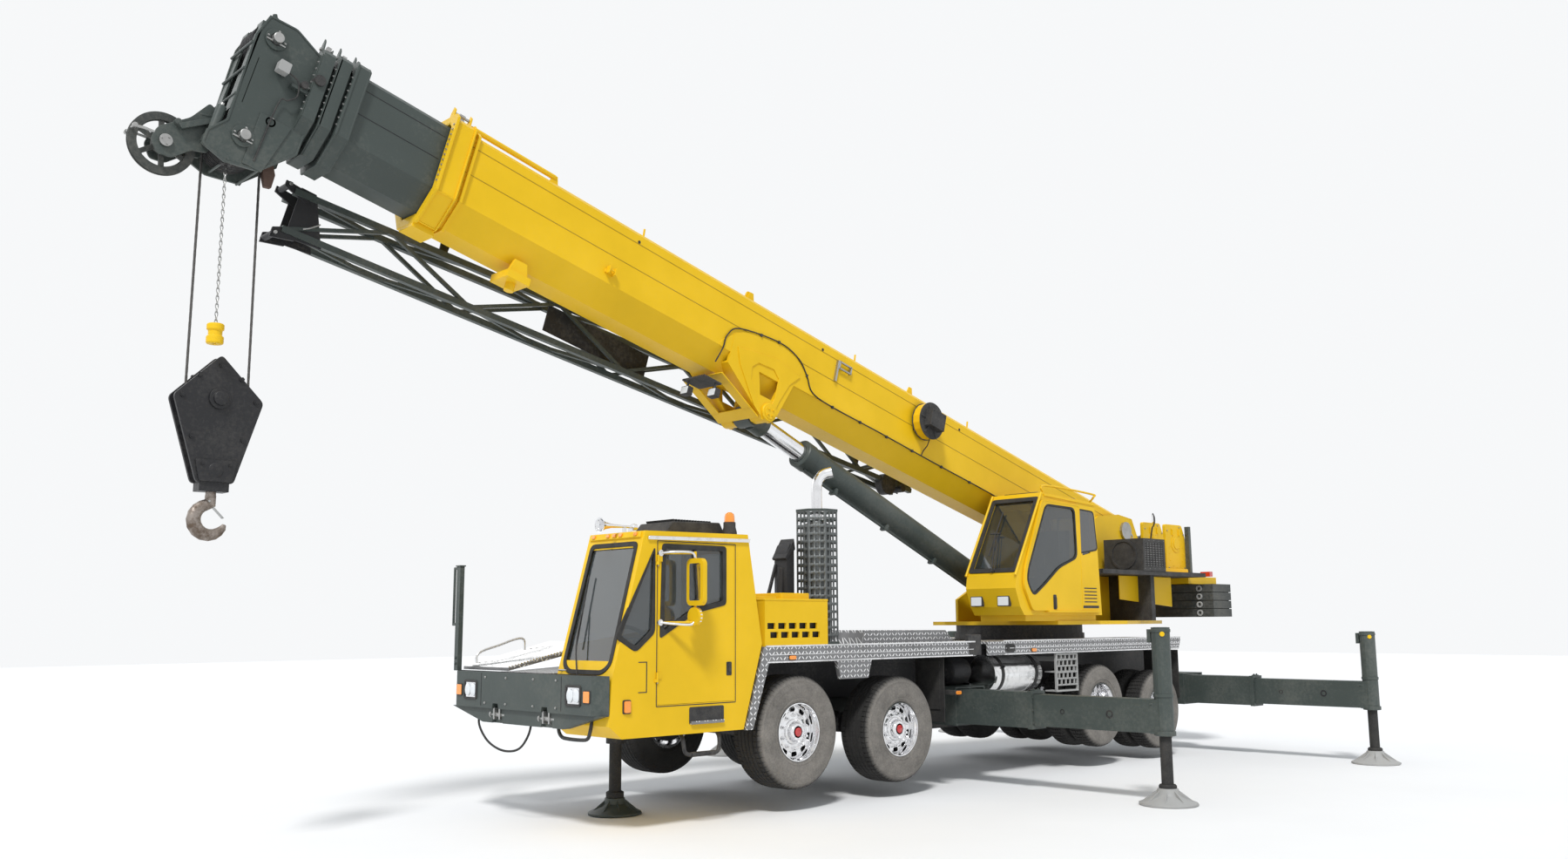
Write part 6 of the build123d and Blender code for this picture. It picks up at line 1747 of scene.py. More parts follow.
def make_hook_block():
    """Kite-shaped cheeks, sheave, bosses and bolts of the hook block."""
    block = Shape(hanging)
    kite = soften([(0, 4.118), (-0.363, 3.75), (-0.150, 3.05), (0.150, 3.05), (0.363, 3.75)], 0.035)
    for side in (1, -1):
        block.prism(kite, (side * 0.045, side * 0.0745))
        block.prism(soften([(-0.13, 3.06), (0.13, 3.06), (0.17, 3.24), (-0.17, 3.24)], 0.02),
                    (side * 0.07, side * 0.090))
        block.lathe([(0, side * 0.07), (0.088, side * 0.07), (0.088, side * 0.092), (0.060, side * 0.096),
                     (0.060, side * 0.118), (0.050, side * 0.124), (0, side * 0.124)], (0, 0, BLOCK_Z),
                     sides=40)
        block.lathe([(0, side * 0.07), (0.062, side * 0.07), (0.062, side * 0.090), (0.052, side * 0.096),
                     (0, side * 0.096)], (0, 0, 3.155), sides=36)
    grooved(block, (0, BLOCK_Z), 0.0, 0.240, 0.075)
    block.loft([[(-0.12, -0.068, 2.982), (0.12, -0.068, 2.982), (0.12, 0.068, 2.982), (-0.12, 0.068, 2.982)],
                [(-0.12, -0.068, 3.128), (0.12, -0.068, 3.128), (0.12, 0.068, 3.128), (-0.12, 0.068, 3.128)]])
    block.build("hook_block_cheeks", "hook_block", "block", 0.005, replaces=("hook_block",))
    bolts = Shape(hanging)
    for side in (1, -1):
        places = [(0, 4.03), (0.295, 3.75), (-0.295, 3.75), (0.205, 3.42), (-0.205, 3.42), (0.17, 3.93),
                  (-0.17, 3.93)]
        bolts.bolts([(x, side * 0.0745, z) for x, z in places], (0, side, 0), 0.021, 0.014)
        bolts.bolts([(x, side * 0.090, z) for x, z in ((-0.11, 3.20), (0.11, 3.20))], (0, side, 0), 0.014,
                    0.01)
    for x, z in ((0.295, 3.75), (-0.295, 3.75), (0.205, 3.42), (-0.205, 3.42), (0, 4.03)):
        bolts.bar((x, -0.05, z), (x, 0.05, z), 0.016, sides=14)
    bolts.build("hook_block_bolts", "hook_block", "block", 0.001)


def make_hook():
    """Forged hook with a tapering bowl and point, shank nut and safety latch."""
    centre = Vector((0, 0, 2.755))
    turns = [90, 76, 60, 42, 22, 0, -22, -45, -68, -90, -112, -132, -150, -164]
    sizes = [0.046, 0.047, 0.049, 0.052, 0.055, 0.057, 0.058, 0.057, 0.054, 0.050, 0.045, 0.038, 0.029, 0.016]
    path, radii = [centre + Vector((0, 0, 0.20))], [0.044]
    for turn, size in zip(turns, sizes):
        a = math.radians(turn)
        reach = 0.125 if turn > -140 else 0.128
        path.append(centre + Vector((reach * math.cos(a), 0, reach * math.sin(a))))
        radii.append(size)
    body = Shape(hanging)
    rings = []
    for i, p in enumerate(path):
        run = (path[min(i + 1, len(path) - 1)] - path[max(i - 1, 0)]).normalized()
        out = Vector((run.z, 0, -run.x))
        rings.append([p + (out * math.cos(t) * 1.0 + Vector((0, 1, 0)) * math.sin(t) * 0.80) * radii[i]
                      for t in [2 * math.pi * k / 24 for k in range(24)]])
    body.loft(rings)
    body.lathe([(0, 2.94), (0.041, 2.94), (0.041, 3.075), (0, 3.075)], (0, 0, 0), axis="z", sides=28)
    body.lathe([(0, 3.072), (0.061, 3.072), (0.061, 3.118), (0, 3.118)], (0, 0, 0), axis="z", sides=6)
    body.build("forged_hook", "hook", "hook", 0.002, replaces=("hook",))
    latch = Shape(hanging)
    latch.loft([[(0.012, -0.030, 2.895), (0.012, 0.030, 2.895), (0.022, 0.030, 2.902),
                 (0.022, -0.030, 2.902)],
                [(-0.112, -0.018, 2.775), (-0.112, 0.018, 2.775), (-0.104, 0.018, 2.768),
                 (-0.104, -0.018, 2.768)]])
    latch.bar((0.020, -0.042, 2.905), (0.020, 0.042, 2.905), 0.010, sides=12)
    latch.build("hook_latch", "hook", "steel", 0.001)


# ---------------------------------------------------------------- lift ram
def make_ram():
    """Round barrel with its head and pipes, and the chromed rod with its eye."""
    barrel = Shape(on_ram)
    barrel.lathe([(0.06, 0.251), (0.150, 0.251), (0.166, 0.275), (0.166, 4.40), (0.176, 4.405),
                  (0.176, 4.548),
                  (0.160, 4.560), (0.114, 4.560), (0.114, 4.45), (0.06, 4.45)], (0, 0, 0), axis="x", sides=56)
    barrel.build("lift_ram_barrel", "lift_barrel", "slate", 0.002)
    pipes = Shape(on_ram)
    pipes.pipe([(0.50, 0.05, -0.20), (1.2, 0.05, -0.20), (2.6, 0.05, -0.20), (4.2, 0.05, -0.20),
                (4.46, 0.05, -0.18)],
               0.018, 10)
    for s in (0.9, 1.9, 2.9, 3.9):
        pipes.box((s - 0.02, s + 0.02), (-0.01, 0.10), (-0.225, -0.15))
    pipes.box((0.30, 0.62), (-0.06, 0.10), (-0.235, -0.14))
    pipes.build("lift_ram_pipes", "lift_barrel", "slate", 0.002)
    shaft = Shape(on_ram)
    reach = math.hypot(*(a - b for a, b in zip(along(6.07, 0, 2.745).xz, FOOT.xz)))
    shaft.lathe([(0, 4.40), (0.1115, 4.40), (0.1115, reach - 0.26), (0, reach - 0.26)], (0, 0, 0), axis="x",
                sides=48)
    shaft.build("lift_ram_shaft", "lift_rod", "chrome", 0, replaces=("lift_rod",))
    eye = Shape(on_ram)
    eye.lathe([(0, reach - 0.262), (0.128, reach - 0.262), (0.136, reach - 0.250), (0.136, reach - 0.075),
               (0, reach - 0.075)],
              (0, 0, 0), axis="x", sides=40)
    eye.lathe([(0, -0.128), (0.130, -0.128), (0.130, 0.128), (0, 0.128)], (reach, 0, 0), sides=44)
    eye.build("lift_ram_eye", "lift_rod", "slate", 0.003)


# ---------------------------------------------------------------- operator's cab
PANE_Y = 1.251
CAB_DOOR = [(1.14, 3.45), (0.29, 3.42), (0.29, 2.03), (1.42, 2.03), (1.59, 2.33), (1.56, 2.56)]
CAB_WINDOW = [(1.07, 3.40), (0.40, 3.385), (0.38, 2.72), (0.80, 2.58), (1.13, 2.36), (1.40, 2.20),
              (1.535, 2.40),
              (1.50, 2.56)]
REAR_WINDOW = [(0.275, 3.385), (-0.10, 3.365), (-0.165, 2.84), (0.275, 2.78)]


def spokes_of(points, r):
    """An outline met by spokes at even angles from the door's middle."""
    x, z = 0.86, 2.86
    loop = soften(points, r, 6)
    out = []
    for k in range(96):
        t = 2 * math.pi * k / 96
        ray = Vector((math.cos(t), math.sin(t)))
        best = 0.0
        for i, p in enumerate(loop):
            a, b = Vector(loop[i - 1]) - Vector((x, z)), Vector(p) - Vector((x, z))
            side = b - a
            cut = ray.x * side.y - ray.y * side.x
            if abs(cut) < 1e-9:
                continue
            reach = (a.x * side.y - a.y * side.x) / cut
            share = (a.x * ray.y - a.y * ray.x) / cut
            if reach > best and -1e-6 <= share <= 1 + 1e-6:
                best = reach
        out.append((x + ray.x * best, z + ray.y * best))
    return out


def crane_screen():
    """Datum of the operator's sloping front screen: left to right, up, and out."""
    run = Vector((1.08 - 1.70, 0, 3.55 - 2.48)).normalized()
    return Face((1.70, 0.8275, 2.48), (0, 1, 0), run)


def make_operator_glass():
    """Frames, seals and panes of the operator's windows, and the tubes along the screen."""
    door, seals, panes = Shape(), Shape(), Shape()
    outer, inner = spokes_of(CAB_DOOR, 0.05), spokes_of(CAB_WINDOW, 0.09)
    door.loft([[(a[0], PANE_Y, a[1]), (a[0], PANE_Y - 0.030, a[1]), (b[0], PANE_Y - 0.030, b[1]),
                (b[0], PANE_Y, b[1])]
               for a, b in zip(outer, inner)], closed=True)
    door.build("operator_door", "crane_door", "yellow", 0.003, replaces=("crane_door",))
    border(seals, CAB_WINDOW, 0.026, (PANE_Y - 0.006, PANE_Y + 0.005), r=0.09)
    panes.prism(soften(shrink(CAB_WINDOW, 0.012), 0.08), (PANE_Y - 0.016, PANE_Y - 0.010))
    seals.build("operator_door_seals", "crane_door", "seal", 0.002)
    panes.build("operator_door_pane", "crane_door", "glass", 0)
    face = crane_screen()
    frame_ring = Shape(face)
    border(frame_ring, [(-0.372, 0.030), (0.372, 0.030), (0.372, 1.165), (-0.372, 1.165)], 0.062,
           (0.002, 0.016), "z", 0.05)
    frame_ring.build("operator_screen_frame", "turntable", "seal", 0.002)
    tubes = Shape(face)
    for u in (-0.386, 0.386):
        tubes.bar((u, -0.02, 0.016), (u, 1.22, 0.016), 0.017, sides=16)
    tubes.build("operator_screen_tubes", "turntable", "yellow", 0)
    roof = Shape()
    roof.prism([(0.10, 3.520), (1.00, 3.560), (1.00, 3.572), (0.10, 3.532)], (0.56, 1.08))
    roof.build("operator_roof_window", "turntable", "glass", 0.004)


def make_operator_skin():
    """Handle, vents, mouldings, rear window, chin lamps and rails of the operator's cab."""
    dark, slot, yellow = Shape(), Shape(), Shape()
    dark.prism(soften([(0.90, 2.045), (0.97, 2.045), (0.97, 2.235), (0.90, 2.235)], 0.02),
               (PANE_Y - 0.004, PANE_Y + 0.006))
    dark.prism(soften([(0.918, 2.06), (0.952, 2.06), (0.952, 2.20), (0.918, 2.20)], 0.012),
               (PANE_Y + 0.004, PANE_Y + 0.024))
    dark.build("operator_door_handle", "crane_door", "trim", 0.003)
    slot.prism(soften([(-0.14, 2.065), (0.26, 2.065), (0.26, 2.10), (-0.14, 2.10)], 0.012), (1.2135, 1.2195))
    slot.build("operator_cab_slot", "turntable", "trim", 0.001)
    border(yellow, CAB_DOOR, 0.014, (PANE_Y - 0.004, PANE_Y + 0.004), r=0.05)
    yellow.build("operator_door_edge", "crane_door", "yellow", 0.002)
    body = Shape()
    body.prism([(-0.12, 3.44), (1.05, 3.505), (1.06, 3.535), (-0.13, 3.472)], (1.214, 1.229))
    body.prism(soften([(-0.19, 2.0), (0.28, 2.0), (0.28, 2.62), (-0.17, 2.62)], 0.05), (1.213, 1.219))
    body.build("operator_cab_mouldings", "turntable", "yellow", 0.003)
    rear = Shape()
    border(rear, REAR_WINDOW, 0.020, (1.213, 1.2195), r=0.06)
    rear.build("operator_rear_window_seal", "turntable", "seal", 0.001)
    pane = Shape()
    pane.prism(soften(shrink(REAR_WINDOW, 0.015), 0.05), (1.2145, 1.2180))
    pane.build("operator_rear_window", "turntable", "dark_glass", 0)
    vent = Shape()
    for i in range(5):
        z = 2.14 + 0.045 * i
        vent.box((-0.10, 0.20), (1.2145, 1.2195), (z, z + 0.016))
    vent.build("operator_side_vent", "turntable", "trim", 0.001)
    lamps, lenses = Shape(), Shape()
    for y0, y1 in ((0.50, 0.66), (0.92, 1.08)):
        lamps.prism(soften([(y0 - 0.012, 2.085), (y1 + 0.012, 2.085), (y1 + 0.012, 2.215),
                            (y0 - 0.012, 2.215)], 0.015),
                    (1.655, 1.700), "x")
        lenses.prism(soften([(y0, 2.095), (y1, 2.095), (y1, 2.205), (y0, 2.205)], 0.012), (1.695, 1.708), "x")
    lamps.build("operator_work_lights", "turntable", "trim", 0.003)
    lenses.build("operator_work_light_lenses", "turntable", "clear", 0.003)
    rail = Shape()
    rail.pipe([(0.86, 1.10, 3.53), (0.86, 1.10, 3.66), (-0.24, 1.10, 3.62), (-0.30, 1.10, 3.58),
               (-0.30, 1.02, 3.50)],
              0.014, smooth=5)
    rail.build("operator_roof_rail", "turntable", "yellow", 0)
    grab = Shape()
    grab.pipe([(0.62, 1.175, 2.80), (0.62, 1.130, 2.82), (0.62, 1.130, 3.20), (0.62, 1.175, 3.22)], 0.011,
              smooth=5)
    grab.build("operator_grab_rail", "turntable", "trim", 0)


def make_operator_wiper():
    """Parallel-arm wiper on the operator's screen."""
    wiper = Shape(crane_screen())
    wiper.bar((0.02, 0.04, 0.010), (0.02, 0.04, 0.050), 0.018)
    wiper.bar((0.02, 0.04, 0.042), (-0.12, 0.60, 0.034), 0.008)
    wiper.bar((0.06, 0.04, 0.042), (-0.08, 0.60, 0.034), 0.006)
    wiper.box((-0.20, -0.04), (0.60, 0.615), (0.020, 0.040))
    wiper.bar((-0.12, 0.28, 0.022), (-0.12, 0.95, 0.022), 0.009, sides=8)
    wiper.build("operator_wiper", "turntable", "trim", 0.001)


def make_operator_desk():
    """Joysticks on their pads and the wheel-less console seen through the operator's windows."""
    desk = Shape()
    desk.prism([(1.30, 2.20), (1.50, 2.20), (1.56, 2.50), (1.42, 2.62), (1.30, 2.56)], (0.62, 1.00))
    for y in (0.58, 1.06):
        desk.prism(soften([(0.56, 2.50), (0.92, 2.53), (0.92, 2.60), (0.56, 2.60)], 0.02),
                   (y - 0.05, y + 0.05))
        desk.bar((0.86, y, 2.59), (0.87, y, 2.70), 0.012)
        desk.bar((0.87, y, 2.69), (0.875, y, 2.78), 0.022, 0.026)
    desk.build("operator_controls", "turntable", "trim", 0.006)


# ---------------------------------------------------------------- superstructure
WINCHES = ((-2.980, "front"), (-3.640, "rear"))
WINCH_HALF, WINCH_SIDE, WINCH_TOP = 0.300, 0.469, 3.399
DRUM_R, DRUM_Z = 0.200, 3.00


def make_winches():
    """Housings, drums, rope and bolted gear covers of the two hoist winches."""
    for x, name in WINCHES:
        z = DRUM_Z
        housing = Shape()
        outline = soften([(x - 0.27, 2.565), (x - WINCH_HALF, 2.66), (x - WINCH_HALF, WINCH_TOP - 0.20),
                          (x - WINCH_HALF + 0.10, WINCH_TOP), (x + WINCH_HALF, WINCH_TOP),
                          (x + WINCH_HALF, 2.66), (x + 0.27, 2.565)], 0.04)
        for side in (1, -1):
            housing.prism(outline, (side * (WINCH_SIDE - 0.075), side * (WINCH_SIDE - 0.022)))
            for dx in (-0.10, 0.10):
                housing.box((x + dx - 0.012, x + dx + 0.012),
                            (side * (WINCH_SIDE - 0.024), side * (WINCH_SIDE - 0.004)),
                            (WINCH_TOP - 0.17, WINCH_TOP - 0.07))
        for dz in (0.0, 0.34):
            housing.bar((x - 0.255, 0.42, 2.64 + dz), (x - 0.255, -0.42, 2.64 + dz), 0.024)
        housing.build(f"{name}_winch_housing", "turntable", "yellow", 0.006)
        cover = Shape()
        for side in (1, -1):
            y = side * (WINCH_SIDE - 0.024)
            cover.lathe([(0, y), (0.140, y), (0.140, y + side * 0.010), (0.085, y + side * 0.013),
                         (0.085, y + side * 0.022), (0, y + side * 0.022)], (x, 0, z + 0.10), sides=44)
            cover.bolts([(p, y + side * 0.008, q) for p, q in polygon((x, z + 0.10), 0.118, 10)],
                        (0, side, 0), 0.010,
                        0.005)
            cover.bolts([(p, y + side * 0.0, q) for p, q in polygon((x, z - 0.06), 0.215, 12)], (0, side, 0),
                        0.009, 0.006)
        cover.build(f"{name}_winch_gear_cover", "turntable", "yellow", 0.002)
        marks = Shape()
        for side in (1, -1):
            marks.bolts([(p, side * (WINCH_SIDE - 0.022), q) for p, q in
                         ((x - 0.24, 3.25), (x - 0.24, 2.72), (x + 0.24, 2.72), (x + 0.25, 3.30),
                          (x - 0.12, 3.36))],
                        (0, side, 0), 0.012, 0.008)
        marks.build(f"{name}_winch_bolts", "turntable", "steel", 0)
        drum = Shape()
        for side in (1, -1):
            drum.lathe([(0.10, side * 0.350), (0.310, side * 0.350), (0.310, side * 0.376),
                        (0.10, side * 0.376)],
                       (x, 0, z), sides=48)
        drum.bar((x, -0.36, z), (x, 0.36, z), DRUM_R - 0.004, sides=44)
        drum.build(f"{name}_winch_drum", "turntable", "black", 0.002)
        rope = Shape()
        step, per = 0.0235, 28
        coil = [Vector((x + DRUM_R * math.cos(2 * math.pi * k / per), -0.335 + step * k / per,
                        z + DRUM_R * math.sin(2 * math.pi * k / per))) for k in range(28 * per)]
        rope.pipe(coil, 0.0118, 6)
        rope.build(f"{name}_winch_rope", "turntable", "rope", 0)


def make_winch_fittings():
    """Winch base rails, the round mirror that watches the drums, and the lifting eye."""
    base = Shape()
    for x, _ in WINCHES:
        for side in (1, -1):
            base.box((x - 0.26, x + 0.26), (side * 0.36, side * 0.44), (2.562, 2.60))
    base.build("winch_base_rails", "turntable", "yellow", 0.003, replaces=("winches",))
    mirror = Shape(Face((-2.72, 0.60, 3.42), (0.80, 0.60, 0), (0, 0, 1)))
    mirror.lathe([(0, -0.030), (0.060, -0.026), (0.104, -0.006), (0.106, 0.004), (0, 0.004)], (0, 0, 0),
                 axis="z", sides=40)
    mirror.build("winch_watch_mirror", "turntable", "trim", 0.001)
    face = Shape(Face((-2.72, 0.60, 3.42), (0.80, 0.60, 0), (0, 0, 1)))
    face.lathe([(0, 0.002), (0.095, 0.002), (0.060, 0.009), (0, 0.012)], (0, 0, 0), axis="z", sides=40)
    face.build("winch_mirror_glass", "turntable", "chrome", 0)
    stalk = Shape()
    stalk.pipe([(-2.72, 0.585, 3.32), (-2.74, 0.55, 3.22), (-2.80, 0.47, 3.02)], 0.011, smooth=4)
    stalk.build("winch_mirror_stalk", "turntable", "trim", 0)
    eye = Shape()
    eye.lathe([(0.030, 0.404), (0.052, 0.404), (0.058, 0.412), (0.052, 0.420), (0.030, 0.420)],
              (-2.37, 0, 3.16), sides=28)
    eye.build("side_plate_eye", "turntable", "steel", 0)


COOLER = (-1.97, -1.37, 0.56, 1.20, 2.62, 3.06)


def make_cooler():
    """Grille, corner angles and screws of the oil cooler."""
    x0, x1, y0, y1, z0, z1 = COOLER
    angles = Shape()
    border(angles, [(x0 + 0.002, z0 - 0.015), (x1 - 0.002, z0 - 0.015), (x1 - 0.002, z1 - 0.002),
                    (x0 + 0.002, z1 - 0.002)],
           0.055, (y1 - 0.012, y1 - 0.001), r=0.012)
    angles.build("cooler_frame", "turntable", "trim", 0.003)
    screws = Shape()
    for i in range(5):
        x = x0 + 0.03 + (x1 - x0 - 0.06) * i / 4
        for z in (z0 + 0.012, z1 - 0.028):
            screws.bolts([(x, y1 - 0.006, z)], (0, 1, 0), 0.008, 0.002)
    screws.build("cooler_screws", "turntable", "silver", 0)
    wires = Shape()
    across, high = 13, 11
    for i in range(across):
        x = x0 + 0.07 + (x1 - x0 - 0.14) * i / (across - 1)
        wires.bar((x, y1 - 0.014, z0 + 0.04), (x, y1 - 0.014, z1 - 0.055), 0.0035, sides=6)
    for i in range(high):
        z = z0 + 0.05 + (z1 - z0 - 0.115) * i / (high - 1)
        wires.bar((x0 + 0.055, y1 - 0.012, z), (x1 - 0.055, y1 - 0.012, z), 0.0035, sides=6)
    wires.build("cooler_guard_wires", "turntable", "steel", 0)
    shroud = Shape()
    shroud.lathe([(0.18, x1 - 0.001), (0.215, x1 - 0.001), (0.215, x1 + 0.012), (0.18, x1 + 0.012)],
                 (0, (y0 + y1) / 2, (z0 + z1) / 2), axis="x", sides=40)
    shroud.build("cooler_fan_ring", "turntable", "trim", 0.002)


def make_slewing_gear():
    """Teeth round the slewing ring."""
    low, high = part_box("slew_ring")
    ring = Shape()
    r, z0, z1 = high.x - SLEW_X - 0.002, low.z + 0.005, low.z + 0.055
    profile = []
    for k in range(112):
        t = 2 * math.pi * k / 112
        for d, reach in ((0.0, r - 0.028), (0.014, r - 0.028), (0.020, r - 0.004), (0.036, r - 0.004),
                         (0.042, r - 0.028)):
            profile.append((reach * math.cos(t + d), reach * math.sin(t + d)))
    inner = [(p[0] * 0.93, p[1] * 0.93) for p in profile]
    ring.loft([[(*a, z0), (*a, z1), (*b, z1), (*b, z0)] for a, b in zip(profile, inner)], closed=True)
    ring.build("slewing_teeth", "carrier", "black", 0)


def make_tail():
    """Marker post, lamps and the strips along the superstructure's tail, and the boom pin's caps."""
    frame_box = Shape()
    frame_box.prism(soften([(-3.84, 2.565), (-1.16, 2.565), (-1.16, 2.60), (-2.66, 2.60), (-2.70, 2.70),
                            (-3.84, 2.70)],
                           0.02), (0.50, 0.53))
    frame_box.prism([(-2.64, 2.10), (-1.20, 2.20), (-1.20, 2.535), (-2.64, 2.535)], (0.88, 0.895))
    frame_box.build("tail_side_plates", "turntable", "yellow", 0.004)
    post = Shape()
    post.prism(soften([(-3.98, 2.562), (-3.91, 2.562), (-3.91, 3.38), (-3.98, 3.38)], 0.010), (0.46, 0.53))
    post.pipe([(-3.905, 0.495, 3.33), (-3.885, 0.495, 3.31), (-3.885, 0.495, 3.26), (-3.905, 0.495, 3.24)],
              0.006, 8)
    post.build("tail_marker_post", "turntable", "slate", 0.003)
    lamp = Shape()
    lamp.prism(soften([(-4.00, 2.575), (-3.90, 2.575), (-3.90, 2.655), (-4.00, 2.655)], 0.012), (0.70, 0.86))
    lamp.build("tail_lamp", "turntable", "red", 0.004)
    cap = Shape()
    low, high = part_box("boom_pivot_pin")
    x, z = (low.x + high.x) / 2 - SLEW_X, (low.z + high.z) / 2
    for side in (1, -1):
        y = side * (high.y - 0.001)
        cap.lathe([(0, y), (0.085, y), (0.085, y - side * 0.012), (0, y - side * 0.012)], (x, 0, z), sides=32)
        cap.bolts([(p, y - side * 0.010, q) for p, q in polygon((x, z), 0.108, 6)], (0, side, 0), 0.012,
                  0.004)
    cap.build("boom_pivot_caps", "turntable", "steel", 0.001)


def make_counterweight_details():
    """Lifting sockets and lugs of the counterweight's slabs."""
    _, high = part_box("counterweight")
    x = high.x - SLEW_X
    sockets = Shape()
    for z in (2.375, 2.255, 2.135, 2.01):
        for y in (1.05, 0.10, -0.85):
            sockets.lathe([(0.026, x - 0.006), (0.046, x - 0.006), (0.046, x + 0.020), (0.026, x + 0.020)],
                          (0, y, z), axis="x", sides=24)
    sockets.build("counterweight_sockets", "turntable", "silver", 0.001)
    lugs = Shape()
    for y in (0.62, -0.62):
        lugs.prism(soften([(-3.60, 2.44), (-3.44, 2.44), (-3.47, 2.53), (-3.57, 2.53)], 0.03),
                   (y - 0.012, y + 0.012))
    lugs.build("counterweight_lugs", "turntable", "iron", 0.002)


# ---------------------------------------------------------------- painting
def names_ending(*endings):
    """CAD nodes whose names end in one of the endings."""
    return [name for name in NODES if name.endswith(endings)]


def paint_all():
    """Finishes of the CAD nodes that stay visible."""
    paint_nodes(["carrier_cab", "carrier_door", "crane_cab", "crane_door", "boom_base", "turntable",
                 "engine_hood"],
                "yellow")
    paint_nodes([*names_ending("_beam", "_tip"), "front_bumper", "boom_head", "boom_section_2",
                 "boom_section_3",
                 "lift_barrel", "boom_extension", "outrigger_housings"], "slate")
    paint_nodes([*(name for name in NODES if name.startswith("knuckle")), "chassis_frame", "axles",
                 "slew_ring",
                 "engine"], "black")
    paint_nodes(["counterweight"], "iron")
    paint_nodes(["oil_cooler"], "trim")
    paint_nodes(["lift_foot_pin", "boom_pivot_pin"], "steel")
    paint_nodes(["carrier_cab_interior", "crane_seat"], "vinyl")
    paint_nodes(["carrier_cab_glass", "crane_cab_glass"], "glass")


# ---------------------------------------------------------------- settings
class CraneColours(bpy.types.PropertyGroup):
    """Paint colours."""
    body_colour: bpy.props.FloatVectorProperty(
        name="Body colour", description="Paint of both cabs, the boom's base section, the hood and the tail",
        subtype="COLOR", size=3, min=0.0, max=1.0, default=(0.90, 0.56, 0.012))
    boom_colour: bpy.props.FloatVectorProperty(
        name="Boom colour",
        description="Paint of the inner boom sections, bumper, outriggers and lattice extension",
        subtype="COLOR", size=3, min=0.0, max=1.0, default=(0.061, 0.076, 0.070))


class CraneStage(bpy.types.PropertyGroup):
    """Light and floor."""
    sky_strength: bpy.props.FloatProperty(
        name="Sky", description="Strength of the soft light from all round", min=0.0, default=0.55)
    sun_strength: bpy.props.FloatProperty(
        name="Key light", description="Strength of the broad light from the front left", min=0.0, default=2.2)
    fill_strength: bpy.props.FloatProperty(
        name="Fill light", description="Strength of the weaker light from the right", min=0.0, default=0.5)
    floor_size: bpy.props.FloatProperty(
        name="Floor", description="Half the side of the pale floor", subtype="DISTANCE", unit="LENGTH",
        min=20.0,
        default=60.0)


class CraneSizes(bpy.types.PropertyGroup):
    """Sizes of the hoist tackle."""
    rope_radius: bpy.props.FloatProperty(
        name="Rope radius", description="Radius of the hoist rope", subtype="DISTANCE", unit="LENGTH",
        min=0.004,
        max=0.011, default=0.011)
    limit_drop: bpy.props.FloatProperty(
        name="Limit weight drop", description="How far the limit weight hangs below the lower sheaves",
        subtype="DISTANCE", unit="LENGTH", min=0.6, max=1.7, default=1.62)


# ---------------------------------------------------------------- operators
class CRANE_OT_stage(bpy.types.Operator):
    """Places the camera, backdrop, floor and lights"""
    bl_idname = "crane.stage"
    bl_label = "Stage"

    def execute(self, context):
        stage = context.scene.crane_stage
        make_camera()
        make_world(stage.sky_strength)
        make_floor(stage.floor_size)
        make_lamps(stage.sun_strength, stage.fill_strength)
        context.scene.view_settings.view_transform = "Standard"
        return {"FINISHED"}


class CRANE_OT_finishes(bpy.types.Operator):
    """Makes every finish and paints the pieces of the frame"""
    bl_idname = "crane.finishes"
    bl_label = "Finishes"

    def execute(self, context):
        make_finishes(context.scene.crane_colours)
        paint_all()
        return {"FINISHED"}


class CRANE_OT_wheels(bpy.types.Operator):
    """Makes the tyres, rims, nuts and hubs of all eight wheels"""
    bl_idname = "crane.wheels"
    bl_label = "Wheels"

    def execute(self, context):
        for axle in "1234":
            for side in ("left", "right"):
                make_wheel(axle, side)
        return {"FINISHED"}


class CRANE_OT_outriggers(bpy.types.Operator):
    """Makes the floats, jack rods, tube fittings, valves and beam fittings of the four outriggers"""
    bl_idname = "crane.outriggers"
    bl_label = "Outriggers"

    def execute(self, context):
        for name, side, top in OUTRIGGERS:
            make_outrigger(name, side, top)
        return {"FINISHED"}


OUTRIGGERS = (("front_left", 1, 1.825), ("front_right", -1, 1.825), ("rear_left", 1, 1.735),
              ("rear_right", -1, 1.735))


class CRANE_OT_hook_tackle(bpy.types.Operator):
    """Makes the rope falls, hook block, hook and limit weight"""
    bl_idname = "crane.hook_tackle"
    bl_label = "Hook tackle"

    def execute(self, context):
        sizes = context.scene.crane_sizes
        make_falls(sizes.rope_radius)
        make_limit_weight(sizes.limit_drop)
        make_hook_block()
        make_hook()
        return {"FINISHED"}


class CRANE_OT_carrier_cab(bpy.types.Operator):
    """Makes the windows, wipers, handles, mirrors and lamps of the carrier's cab"""
    bl_idname = "crane.carrier_cab"
    bl_label = "Carrier cab"

    def execute(self, context):
        make_cab_windows()
        make_cab_wiper()
        make_cab_skin()
        make_cab_step()
        make_cab_roof()
        make_cab_mirrors()
        make_cab_front()
        return {"FINISHED"}


class CRANE_OT_front(bpy.types.Operator):
    """Makes the bumper's lamps, steps and towing gear, and the access ramp"""
    bl_idname = "crane.front"
    bl_label = "Front"

    def execute(self, context):
        make_bumper_lamps()
        make_bumper_details()
        make_ramp()
        make_front_jack()
        return {"FINISHED"}


class CRANE_OT_deck(bpy.types.Operator):
    """Makes the tread plates, ladders, boxes and rails of the deck"""
    bl_idname = "crane.deck"
    bl_label = "Deck"

    def execute(self, context):
        make_decks()
        make_deck_details()
        return {"FINISHED"}


class CRANE_OT_engine_bay(bpy.types.Operator):
    """Makes the hood's lids, the dark plate of painted shade behind its holes, the intake frame, the exhaust
    and its guard
    """
    bl_idname = "crane.engine_bay"
    bl_label = "Engine bay"

    def execute(self, context):
        make_hood_details()
        make_exhaust()
        return {"FINISHED"}


